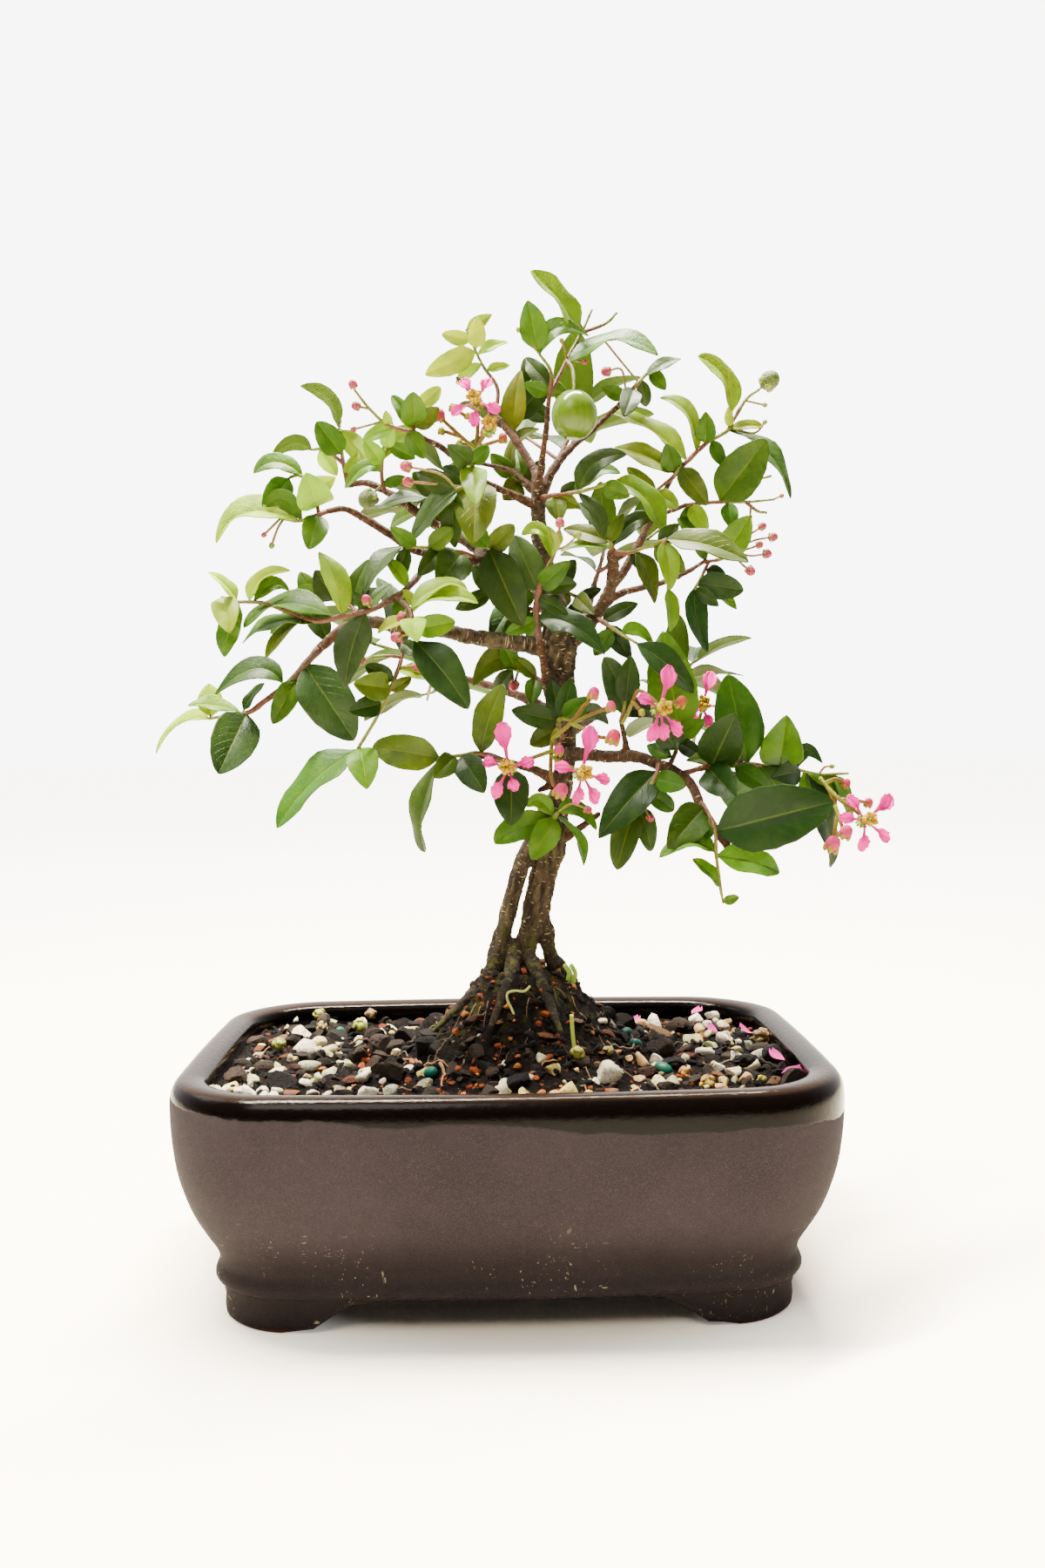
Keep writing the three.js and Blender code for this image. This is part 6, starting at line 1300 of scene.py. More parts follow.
twig_finish = Finish("young_twig", 0.6)
twig_finish.shine(0.3)
mottled = twig_finish.range(twig_finish.noise(900, 3, 0.7), 0.35, 0.7)
twig_tint = twig_finish.attribute("tint")
dull = twig_finish.blend(1.0, twig_tint, (0.55, 0.5, 0.45), "MULTIPLY")
bright_dots = twig_finish.range(twig_finish.noise(1300, 2), 0.66, 0.72, 0, 0.6)
twig_colour = twig_finish.blend(mottled, dull, twig_tint)
twig_finish.colour(twig_finish.blend(bright_dots, twig_colour, (0.22, 0.155, 0.07)))
twig_finish.bump(mottled, 0.0003)
print("leaf finishes ready")

# %% Growing a spray
TWIG_BROWN, TWIG_RED, TWIG_GREEN = (0.060, 0.024, 0.009), (0.115, 0.036, 0.012), (0.130, 0.165, 0.010)
THICK_TWIG = (TWIG_BROWN, TWIG_BROWN, TWIG_RED, TWIG_GREEN)
THIN_TWIG = (TWIG_RED, TWIG_RED, TWIG_GREEN, TWIG_GREEN)
BUD_PINK, BUD_GREEN, FRUIT_GREEN = (0.32, 0.022, 0.065), (0.17, 0.22, 0.015), (0.060, 0.105, 0.007)
sprays_grown = []
leaf_count = missing_count = 0


def even(path, start, end):
    """Places as seen along a path, with a radius that runs evenly from start to end."""
    places = np.array([seen(*row) for row in path])
    return smooth_path(np.column_stack([places, np.linspace(start, end, len(path))]), 1.4)


def ramp(colours, count):
    """Count colours drawn evenly through the given ones."""
    colours = np.asarray(colours, float)
    at = np.linspace(0, len(colours) - 1, count)
    return np.column_stack([np.interp(at, np.arange(len(colours)), colours[:, k]) for k in range(3)])


def grow(name, twigs, leaves=None, buds=None, radius=(0.9, 0.5)):
    """One spray: its twigs and buds in one piece, its blades in another."""
    global leaf_count, missing_count
    twigs = paths(twigs)
    number = len(sprays_grown)
    sprays_grown.append(name)
    draw, chance = Draw(100 + number), np.random.default_rng(500 + number)
    if leaves is None:
        grown = [leaf for i, path in enumerate(twigs) for leaf in paired_leaves(path, 1 if i else 3, draw)]
    else:
        grown = [seen_leaf(row, twigs, draw) for row in rows(leaves)]
    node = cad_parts[name]
    corners = np.zeros(len(node.data.vertices) * 3, np.float32)
    node.data.vertices.foreach_get("co", corners)
    corners = (corners.reshape(-1, 3) + np.array(node.matrix_world.translation) - POT_CENTRE) * 1000
    stems, blades = Stack(), Stack()
    for i, path in enumerate(twigs):
        curve = even(path, radius[0] * (0.8 if i else 1), radius[1])
        thick = radius[0] > 1
        shades = ramp(THICK_TWIG if thick else THIN_TWIG, len(curve))
        bumps = 1 + 0.10 * ripple(curve[:, :3], 5.0, number + 7)
        tube(stems, curve[:, :3], curve[:, 3] * bumps, 8, shades, 0.05)
    for leaf in grown:
        tip, miss = settled_tip(leaf, corners)
        if miss > TIP_MISS:
            missing_count += 1
            continue
        leaf_count += 1
        points, place, start = blade(leaf, tip, chance)
        tint = np.array(LEAF_TINT[leaf["tone"]]) * chance.uniform(0.82, 1.18)
        # Painted light, partly age: the tint is made paler and yellower at the top and left.
        tint = tint * (1 + chance.normal(0, 0.05, 3)) * painted_light_and_age(tip)
        blades.add(points, grid_faces(*points.shape[:2]), tint, place)
        bow = (leaf["root"] + start) / 2 + np.array([0, 0, -0.15])
        stalk = smooth_path([leaf["root"], bow, start], 0.9)
        tube(stems, stalk, np.linspace(0.5, 0.42, len(stalk)), 6, ramp((TWIG_GREEN, tint * 1.2), len(stalk)))
    for row in rows(buds) if buds else ():
        add_bud(stems, row, twigs, chance)
    show("twigs_" + name, stems.mesh("twigs_" + name), twig_finish.material, "stalk", name)
    piece = show("leaves_" + name, blades.mesh("leaves_" + name), LEAF_TOP, "leaf", name)
    piece.data.materials.append(LEAF_UNDER)
    thick = piece.modifiers.new("thickness", "SOLIDIFY")
    thick.thickness = LEAF_THICK
    thick.offset = -1
    thick.material_offset = 1
    thick.use_even_offset = False


def painted_light_and_age(place):
    """Partly painted light, partly the leaves' age: leaves at the top and on the left are paler and yellower
    than those at the lower right.
    """
    paler = np.clip(1.08 + 0.004 * (place[2] - 205) - 0.003 * place[0], 0.7, 1.5)
    yellower = np.clip(1 + 0.003 * (place[2] - 205) - 0.0016 * place[0], 0.75, 1.12)
    return paler * np.array([yellower, 1, 1])


def add_bud(stack, row, twigs, chance):
    """A round bud or young fruit on a thin stalk from the nearest twig."""
    radius, flat = row[0], row[1:]
    root = nearest_on(twigs, flat[0], flat[1])
    away = -1.5 if root[2] < BACK_DEPTH else 1.5
    stops = [seen(*root)]
    stops += [seen(flat[i], flat[i + 1], root[2] + away * (i / 2)) for i in range(2, len(flat), 2)]
    curve = smooth_path(stops, 0.9)
    pink = chance.random() < 0.6 or radius > 1.3
    colour = FRUIT_GREEN if radius > 2.3 else BUD_PINK if pink else BUD_GREEN
    head = np.array(colour) * chance.uniform(0.8, 1.1)
    tube(stack, curve, 0.42, 6, ramp((TWIG_GREEN, (0.30, 0.12, 0.06)), len(curve)))
    axis = stops[-1] - stops[-2]
    size = max(radius, 0.8)
    blob(stack, stops[-1], (size * 1.1, size), axis, head, 9, 11)
    axis = unit(axis)
    for turn in range(5):
        angle = turn * 2 * np.pi / 5
        side = unit(np.cross(axis, (0.36, 0.2, 0.91)))
        out = side * math.cos(angle) + np.cross(axis, side) * math.sin(angle)
        blob(stack, stops[-1] - axis * size * 0.45 + out * size * 0.72, (size * 0.5, size * 0.34), axis,
             (0.20, 0.26, 0.03), 5, 6)

# %% [markdown]
# The sprays. A twig is a path of x, z and depth. A leaf is base x, z, tip x, z, seen width and tone, then
# where it helps an added depth of the tip and a point that the midrib bends towards. A bud is a radius and
# the path of its stalk.

# %% Sprays of the front
grow("spray_left_low", """
-60 201 -16, -65 195.5 -16, -70 190 -15, -78 184 -14, -83 180.5 -13, -88 179.8 -12, -96 178.5 -10
""", """
-65 196 -49 171 16 blue, -67 191.5 -75.5 176.5 7.5 green, -72 190 -94 186.5 6.5 dark 0 -81 194.5,
-84 180 -93.5 160.5 14.5 blue, -86 180.5 -103 183 4 bright, -85 181 -78 190 3 dark,
-95.5 179 -96 190 8 pale, -96 178.5 -113.6 167.3 2.8 pale 0 -106 176.5
""", radius=(1.35, 0.5))
grow("spray_left_front", """
-20 230 -14, -26 226 -21, -31 220.5 -27, -37 216.5 -31, -43 213.5 -34, -52 211.5 -36, -61 210 -37,
-70 213 -37, -78 216 -36, -88 216.5 -34, -91.5 218 -33;
-35 218 -29.5, -30.5 213.5 -33, -29.5 208 -35, -29 203.5 -36
""", """
-86.5 217 -95.5 226 3.5 pale, -82.5 216.5 -69 226.5 3.5 pale 0 -78 224,
-81 216.5 -69.5 220 4.5 green 0 -75 222, -91 218 -89 206.5 8 pale, -86 216 -91 198.5 7 green,
-55 211.5 -84.5 208 5 green 0 -72 215.5, -61 209.5 -85 203 4 green 0 -74 209.5,
-65 211 -77.5 198 3.5 olive, -52 212 -59.5 232.5 7 bright, -45 213 -52 188 10 blue,
-43 213.5 -49 219 4 dark, -30 213.5 -11.5 220 4.5 pale 0 -20 221, -29.8 212.5 -8 215.5 5 pale 0 -20 217.8,
-29.6 211 -28 203 8 pale, -29 203.5 -11.5 181 11.5 blue, -30.5 210.5 -41 206 3 pale,
-29.3 207 -15.5 209.5 7 bright 5, -31 220.5 -38.5 230.5 4 bright, -34 219.5 -27 215 4 pale,
-33 218.5 -34 209 4 green
""", buds="""
1.5 -43 213.5 -44.5 216.8, 1.6 -31 214 -33 211, 1.6 -29.5 206 -35 204.5
""", radius=(1.2, 0.45))
grow("spray_left_hanging", """
-33 207.5 -13, -33 199 -17, -36 190 -20, -41 179.5 -22, -48 168 -24;
-33.3 198 -17.3, -38 198.5 -20, -43 198 -23
""", """
-48.5 168 -74.7 142.5 9 green, -47 168.5 -45 155 10 bright, -37 188 -49 189.5 9 olive,
-40 183 -50.5 180.5 7 dark, -36 190.5 -45 195.5 6 dark, -37 187 -30 191.5 4 olive,
-34.5 194 -22 190.5 4.5 pale, -33 203 -27 198 5 dark
""", buds="""
1.5 -43 198 -46.5 197, 1.4 -34.5 195 -28.5 195
""", radius=(0.8, 0.5))
grow("spray_left_behind", """
-45 209.5 -14, -50 215 -6, -57 217 2, -63 214 8
""", """
-49 214.5 -43.5 230 5 dark, -55 217 -61 226.5 9 dark, -63 213.5 -76 206 5 dark,
-50 215 -39.5 220.5 5 dark, -57 217 -67 221 6 green, -47 211 -36 222 5 dark, -60 215 -66 226 7 green,
-62 214.5 -57 203 8 dark 6
""", radius=(0.9, 0.5))
grow("spray_upper_left_tip", """
-57 245.5 -28, -61 244 -30, -66 242.5 -32, -72 243.3 -33;
-59.5 244.5 -29.2, -61 251 -27, -65 257 -26, -69 256.5 -26
""", """
-64.5 257 -80.5 258 5 green 0 -73 261.5, -69 256.3 -77.5 246 8 green, -60 247 -63.5 258 11 bright -4,
-65 242.7 -76.5 247 6 green 0 -71 249.5, -66 242.5 -93 235.5 5.5 pale 0 -83 245,
-59.5 244.5 -63 233.3 8 green, -62 252 -54 256.5 7 pale
""", buds="""
0.9 -71 243 -73 240 -75 234.5, 0.8 -72 243.3 -77.5 238
""", radius=(0.8, 0.45))
grow("spray_left_high", """
-50 254 18, -51.5 262 20, -52.5 272 23, -52 275 24;
-51.5 261 20, -57 265.5 22, -61.5 265.5 24
""", """
-61.5 265.3 -74.5 263.3 5 green 0 -67.5 267.5, -53 273 -65 286 5.5 green 0 -56 282,
-52 264 -60 274.5 9 green, -52.4 272 -42 260.5 7.5 pale -3, -59 265.5 -53.5 257 6 pale,
-50.7 257 -46.5 264.5 4 bright
""", radius=(0.9, 0.45))
grow("spray_left_inner", """
-38 251.5 11, -39 257 8, -38.5 263 6, -36 268 5
""", """
-38.5 262 -26.5 269 6 bright 0 -33 270, -39 258 -51 253 4.5 green 0 -44 260,
-38.8 261 -44.5 268.5 6 bright, -37 266 -36.5 276.5 5 bright, -38.5 254 -31 256.5 4 green,
-36.5 267 -28 262.5 5 green
""", buds="""
3.2 -38.8 254.5 -43.5 249.5
""", radius=(0.8, 0.5))
grow("spray_left_mid_high", """
-25 243 5.5, -26 248 9, -21 251 11
""", """
-24 249.8 -40.5 246.5 4 dark, -25.8 246 -36.5 240 4 green, -21 251 -29 258 7 dark,
-21 251 -12 257 6 green, -25.5 246 -17 243.5 6 olive, -23 250 -24 240 5 green
""", radius=(0.8, 0.5))
grow("spray_top_left", """
-25 269 -17, -28.5 270.8 -18, -36 273 -20, -38.5 274.5 -21, -43 279 -22, -47.3 284.5 -23;
-28.5 270.8 -18, -28 275 -17, -27 279 -16
""", """
-28.4 272 -35.5 283 5 green, -28.2 273 -28.5 284 8 green, -27 278.5 -19.5 285.5 5 pale,
-28 272.5 -20 279 6 olive, -35 272.8 -45 268.5 4.5 bright, -36.5 273.3 -37.5 278 3 pale,
-30 271.5 -25 262.5 6 green
""", buds="""
1.4 -47.3 284.5 -48 286.5, 1.4 -42.5 278.5 -47 279.5, 0.9 -38.5 274.5 -48 272
""", radius=(0.75, 0.4))
grow("spray_centre_left", """
-7 255.5 -11, -8 258 -17, -10 261 -22;
-7.5 256.8 -14, -11 254 -19, -15 252.5 -24
""", """
-9.3 260 -8.5 247.5 8.5 bright -4, -8.5 255.5 -9.3 235 13.5 olive, -14 253 -29.5 236 6.5 blue,
-15 252 -15.5 233.5 7 dark 4, -10 261 -17.5 267 7 blue, -9.5 260.5 -4 266.5 5 green,
-11 254.5 -19 260 6 blue, -15.5 252.5 -27.5 258 7 dark 6
""", buds="""
1.8 -15 253.5 -20 257.5 -31 260, 1.6 -13 253.5 -24 254.5 -30.5 255
""", radius=(0.8, 0.5))
grow("spray_limb_left", """
-9.5 230.5 -8, -13 232 -15, -22 233.5 -21, -31.5 234 -25
""", """
-13 232 -21 221.5 12 dark -6, -31 234 -45 218.5 4.5 dark 0 -39 229.5, -31 234 -33.5 222.5 5 dark 4,
-24 233.6 -16 240 6 green, -28 234 -36.5 240.5 5 green, -20 233.2 -27.5 224.5 6 dark 3
""", radius=(0.8, 0.5))
grow("spray_centre_dark", """
-3 231 -5, -4 233 -11, -4.5 233.5 -15
""", """
-4.3 233.2 6.5 207.8 13.5 dark, -3.8 232.8 4 241 7 olive, -4.5 233.5 -13 243 7 green 4
""", radius=(0.9, 0.6))
grow("spray_trunk_left", """
15 213 1, 9 213.5 9, 2 215.5 14, -4 219 18
""", """
3 215 -4 204 9 blue, 9 213.5 0 206 6 green, 8 213.7 4 223 7 green, -3.5 219 -15.5 213.5 6 dark,
-2 218 3 227 6 olive, -4 219 -9.5 228.5 6 dark, 11 213.5 9 203 6 green 4
""", radius=(0.9, 0.5))
grow("spray_front_centre", """
12 203 -10, 11 211 -12, 11.7 219 -15, 14 225 -18, 16.5 230 -21, 17.5 233 -23
""", """
11.7 219 4 237.5 10.5 blue, 12.3 220.5 22 229 7 green, 16.3 230 6.5 237.5 4 bright 0 12.5 239,
16.8 231 14.8 240.5 3 bright, 17.5 233 18.8 239.5 2.5 bright, 11.5 217.5 21.5 211.5 5 dark,
11.3 209.7 33.5 198.5 8.5 blue 0 22 208.5, 11.2 210 1 205.5 5 green, 12.5 221 24.5 221.5 6 dark 5
""", buds="""
1.5 17.5 233 18.5 236 19 241.5, 1.2 17.5 232.5 21 234 24.8 237.5
""", radius=(1.2, 0.6))
grow("spray_right_inner", """
30.5 210.5 0, 33 209 -6, 36 207 -10, 39 205 -13, 44 202 -16
""", """
32.5 209.5 44.5 215 5.5 dark, 34 208.3 42 197 6.5 blue, 39 205 49.5 201.3 4.5 bright 0 44 206.5,
44 202 62.5 185.8 8.5 blue, 36 207 30 198 6 green 5
""", radius=(0.9, 0.5))
grow("spray_right_inner_back", """
31 212 0, 27 216 8, 22 218.5 13, 17 222 17
""", """
25 217 32.5 220 4 dark, 24 217.5 30 211.5 6 olive, 22 218.5 14.5 213 6 olive, 18 221.3 24 229.5 7 dark,
17 222 10 227 6 green, 27 216 20 209.5 5 dark
""", radius=(0.8, 0.5))
grow("spray_knob", """
36.3 231 -6, 36 234 -9, 34.5 236 -11;
36.3 231.8 -7, 41 231.5 -14, 46 233 -20, 54 236 -26;
53 235.6 -25.5, 54.5 228 -25, 54.3 219.5 -24
""", """
36 233.8 49 242 6 dark 0 43 241.5, 34.7 236 25 248 4.5 blue, 34.8 236 31 244.5 4.5 olive,
35.5 235 20 239.5 6 olive, 35.7 233.5 19 232.3 3 bright, 35.3 235.2 40 244.5 4.5 olive,
54 236 81 228.5 7.5 olive, 53 235.5 55.2 219.5 6.5 bright -4, 54.3 220 55 205.8 4.5 bright,
50 234.5 60 225 7 olive, 44 232.3 50 215 6 olive, 42 231.6 48 224.5 4 dark, 51 234.8 58 241 5 dark
""", radius=(1, 0.5))
grow("spray_centre_right", """
12.5 249.5 -3, 18 250.5 -9, 25 251.5 -14, 31 253 -17, 37 255 -19
""", """
25 251.7 41 263.5 7 dark 0 31 261, 24 251.5 39 257.5 5 green 4 31 258,
37 255 53.5 236.3 6.5 bright 0 47 249, 18 250.5 25.5 246.5 5 olive, 25 251.3 33.3 236.5 4.5 blue 0 31 244,
19 250.8 25.5 254.5 4 dark, 33 253.7 42 250 6 green, 17.5 250.3 19 241.5 7 olive 4
""", radius=(0.9, 0.5))
grow("spray_right_top", """
60 260.5 11, 67 267 14, 75 272 17, 75.5 277 17;
74.5 271.7 17, 80 281 19, 84.5 284.5 20
""", """
61 261.5 36.5 277 5.5 bright 0 48 272, 67 267 67 277.5 7 green, 74.8 272.2 74.5 279 3 pale -3,
75.5 277 64.5 295.5 5.5 bright 0 73 288.5, 75.2 272 86 272.5 3.5 pale,
64 264.3 52 282 4 bright 0 60.5 277, 74.5 271.5 95 249 4.5 green 0 87.5 263.5, 69 268.2 73 259.5 5 green
""", buds="""
3.3 84.5 284.5 88 287.5, 0.7 75 272 83 270.5 86.5 274, 0.6 80 281 86.5 279.5
""", radius=(0.85, 0.5))
grow("spray_right_mid", """
55 254.5 9, 57 257.5 4, 58.5 259.5 0;
56 256 6.5, 51 252 2, 49.5 249 0
""", """
56.5 258 54 267 7 green, 56.5 257.7 37 266 6.5 olive, 58.5 259.5 67.5 247 7.5 olive,
50 249.5 41 259.5 5.5 olive, 51 251 58 246.5 6 bright, 49.5 249 43 243 5 green
""", radius=(0.8, 0.5))
grow("spray_right_side", """
60 247 12, 70 248 18, 80 248 24, 89.5 248.8 28;
79 248 23.5, 83 254.5 25, 88.5 256.5 27;
80 248 24, 84 245 26, 87 244.5 27
""", """
71.5 248.5 87 268.3 15 green 3, 62 247.3 67.5 238 6 pale, 65 247.6 58 241 5 green, 66 247.8 62 257 6 dark,
74 248 76 239 6 green 4
""", buds="""
0.7 89 248.8 92 250, 0.7 82 247 81.5 243
""", radius=(0.8, 0.45))
grow("spray_right_buds", """
66 228.5 15, 72 229.5 18, 76 232.5 19;
68 228.8 16, 65 223 12, 63 219.5 9
""", """
73 230.3 81.5 243.5 10 bright, 67 228.8 57.5 243 5 green, 64 222 79.3 219 9 blue,
63.5 220 71 214 5 blue 3, 64 221 77 213 4.5 bright 4 71 218, 63.2 220 67.3 199 6.5 blue 0 63.5 210,
67 226 73.5 224 5 dark 4
""", buds="""
1.4 76 232.5 81 237 85.5 240, 1.6 76 232.5 83 235.5 89 236.5, 1.3 76 232.5 80 232.5 84.5 234,
1.6 76 232.2 81 230.5 87 231, 1.7 75.5 232 78.5 228 81.5 225.5
""", radius=(0.8, 0.5))
grow("spray_top_centre", """
15.5 280 -11, 16.5 290 -12, 12.5 296.5 -12;
15.8 283 -11.3, 17.5 286 -10.5, 22 295 -7, 26.5 303 -4, 30 310.5 -2;
26.5 303 -4, 34.5 306 -3, 38 309.5 -2;
21.5 294 -7.4, 23.5 291 -15, 23.9 284.1 -20
""", """
26 302 10 323 6 bright, 12.5 297 9 313.5 9 green, 13 296.5 29 302 5.5 green 0 18.5 304.5,
21 293 51.5 295.7 4.5 green 0 37 300.5, 16 286 8 295 6 dark 6, 15.8 283.5 7.5 286.5 5 green
""", buds="""
0.6 22 294.5 27.5 293.5, 0.6 22 294.5 20 300.5, 0.6 12.5 296.5 6 304, 0.6 27 304 24.5 309
""", radius=(0.8, 0.45))
grow("spray_top_right", """
38 279 11, 46 288 15, 50.5 292.5 18
""", """
47 289 59 294.7 3.5 dark, 43.5 285 40.3 276 7 dark -3, 46 288 47.5 279 5 dark, 49 291 54 284.5 5 green,
40.5 282 33 285.5 5 green 4
""", buds="""
1.7 41 282.5 39.5 291 34.5 290.5, 1 45 287 40 293 33.5 301
""", radius=(0.85, 0.5))
grow("spray_top_light", """
-2 276 7, -1 285 9, -6 293 11, -11 304 13
""", """
-8 297 -24.5 289.5 8 pale, -9.5 300.5 -19 302.5 5 pale, -6 293 -14.5 286.5 4 pale 4,
-11 304 -2.5 309 4.5 pale, -8 298 -7 308 6 pale, -7.5 296 2.5 300 3 pale, -4.5 291 3 292.5 3 pale
""", radius=(0.7, 0.45))
grow("spray_top_back", """
4 269 4, 4.5 273 10, 8 280 15, 13 286 18
""", """
4.2 271 6.5 291 8 olive, 5 274.5 16 290 8.5 dark, 11 283.5 8 295 6 dark, 4.5 273 -4.5 278 6 green,
13 286 21.5 284 6 green, 8 280 16 274.5 7 dark
""", radius=(0.8, 0.5))
grow("spray_crown_inner", """
10.5 251 -1, 7.5 253.5 6, 3.5 256.5 11
""", """
7.5 254 4.5 266.5 8 green, 6 254.6 0.5 249 8 olive, 4 256.5 12.5 272 4 olive 0 4.5 267,
4 256 -3.5 264 6 green, 8 253.3 14 262 6 dark
""", radius=(0.8, 0.5))
grow("spray_trunk_front", """
19.5 171 -3, 18 175 -9, 18.5 177.5 -13, 23 177 -16
""", """
18 176.7 2.5 180.5 7.5 dark, 18.2 177.4 15.8 190.5 6.5 dark, 19 177.5 22.5 190.5 7 dark,
20 177.3 28.5 184.7 7.5 green, 23 177 34.5 175.5 5.5 dark 0 29 180, 17.8 174.5 8.5 169 7 olive,
18.3 175.5 20 166 5.5 blue
""", radius=(0.9, 0.6))
grow("spray_trunk_mid_left", """
15 188 -1, 10 191.5 4, 3 194 8
""", """
5 193.5 -10 188.5 9 olive 0 -2 197.5, 11 191 3.5 198 5 olive, 10.5 191.3 9 182 6 green,
4 193.7 0 202 6 green, 3.2 194 -3 186 6 dark 5
""", buds="""
1.8 5 193.5 3.5 188.5
""", radius=(0.9, 0.5))
grow("spray_lower_left", """
-2 164.5 -10, -5 165.5 -15, -9 166.6 -17, -14 165.8 -19, -21 165 -22;
-5 165.5 -15, -1 164 -16, 2.5 161.5 -17
""", """
-7.5 166.5 0 189 9 olive, -21 165 -43 169 11 olive, -14 165.7 -6.5 153.5 9.5 dark,
-20.5 165 -26.3 134 5 olive 0 -26.8 148, -16 165.5 -23 158.5 7 olive 5, 2.3 161.7 2.2 142.5 11.5 dark 6,
-2 164.5 0.5 140.5 4 pale 8
""", radius=(0.8, 0.5))
grow("spray_base_front", """
17 142 -3, 16.5 145 -10, 17.5 146.5 -14
""", """
16.8 145 8.8 131.3 9 bright, 16 144.5 -3.3 136.5 9 bright 3 4 141.5,
16.3 145.5 7.5 148.5 5.5 bright 0 11.5 150.5, 17.5 146.5 30.3 140.8 5 bright 0 24 147.8,
17 145.8 26 129 2.6 bright 0 23.5 138
""", buds="""
1.3 17.5 146.3 22 149.5 27.5 147.5
""", radius=(0.9, 0.6))
grow("spray_right_low_mid", """
51 162.5 -17, 50.3 159 -23, 47 153 -24, 43 147.5 -23
""", """
50.5 160 31 138 12.5 dark -4, 43.5 148 37 127.5 9 olive, 44 148.8 48.3 133.5 6.5 olive,
49.5 157.5 60 155 7 green, 47.5 153.5 56 147 6 green 3
""", buds="""
1.2 45 150.3 48 144.5
""", radius=(0.9, 0.5))
grow("spray_right_low_end", """
64.7 149.5 -26, 66.5 147.5 -32, 69.5 140.5 -36, 69.8 133 -37, 71.3 121 -37, 72.2 116 -37
""", """
69.7 140 109 149.3 19 dark -5, 69.7 133 51 131.5 5.5 bright 0 61 136.5, 69.9 132 91 126.3 8.5 bright,
71.3 121.3 62 130.8 3.5 bright -3, 72 116.5 77.5 118 3 bright, 66 148 53.7 134.3 11.5 olive 3,
67.5 145 64 136 7 green 6
""", radius=(0.8, 0.4))
grow("spray_right_low_top", """
59 159 -20, 66 161 -17, 74 162 -13, 82 162 -9, 90 160.8 -6, 97 160 -4, 104 158.3 -3, 109 158.5 -2,
114 158.6 -1
""", """
80.5 162.5 74 191.7 15.5 green, 91 161 93.5 178 14 bright, 79 162.3 66.5 169.5 7 olive -4,
78 162.2 60 163.5 6 olive 3, 68.5 161.5 76.5 178.5 14 dark 6, 97 160.5 105.3 162 5 blue 0 100 166.5,
98 159.6 88 157.5 8.5 blue -3, 67 161 76.5 151 11 dark -3, 99 159.3 104.3 150.8 9 bright,
76 161.8 89 152.5 7 green, 104 158.3 113 150 4 bright, 100 159 108 127.5 7 dark 3,
84 161.8 97 146 11 green 8, 109 158.2 114.3 142.3 4 bright 4, 70 161.3 84 144 11 green 8
""", buds="""
0.6 104 158.3 106 160.8 108.5 161
""", radius=(1, 0.45))
grow("spray_right_low_inner", """
38.5 176.5 -10, 39.5 180 -14, 40 183 -16
""", """
39.2 178.5 33 197.5 9 blue -3 37.5 189, 40 182 42 198 8 dark, 39 178 52.5 175.5 5.5 dark 4 46 180.5,
38.8 177.2 45.8 165 5 olive 3, 38.7 176.8 33.5 160.8 7 dark -3
""", radius=(0.8, 0.5))
grow("spray_right_upright", """
54 161 -18, 56.5 166 -11, 58 172 -7
""", """
58 172 52.5 206 16 bright, 56.8 167 49.5 178.5 9 blue -4, 57.5 169.5 65.3 164.5 5.5 dark,
57.9 171.5 66.5 177 6 bright, 55.5 164.5 47 168.5 5 green
""", radius=(0.9, 0.6))

# %% Sprays of the back
grow("spray_rear_right_high", """
30 221 42, 33 231 52, 35 243 62;
31 225 46, 42 232 48, 53 240 46
""")
grow("spray_rear_left_high", """
-9 239 42, -15 249 50, -18 260 58;
-11 243 45, -24 244 44, -36 247 38
""")
grow("spray_rear_right_low", """
46 184 40, 56 190 48, 64 197 52;
48 185 42, 54 178 52, 58 172 62
""")
grow("spray_rear_left_low", """
-20 193 38, -32 199 44, -44 203 46;
-22 194 39, -24 188 50, -25 184 61
""")
grow("spray_rear_crown", """
18 261 24, 23 271 34, 27 281 42;
18.5 262 25, 10 268 34, 2 273 42
""")
print("sprays:", len(sprays_grown), "leaves:", leaf_count, "without room:", missing_count)

# %% [markdown]
# ## Flowers
# Clusters branch from the wood or from a spray's twig: reddish stalks with round buds, most of them pink. A
# flower has five petals on narrow claws, each blade a fringed, cupped disc, ten yellow stamens in the
# middle, and behind them a green calyx that carries pairs of round glands.

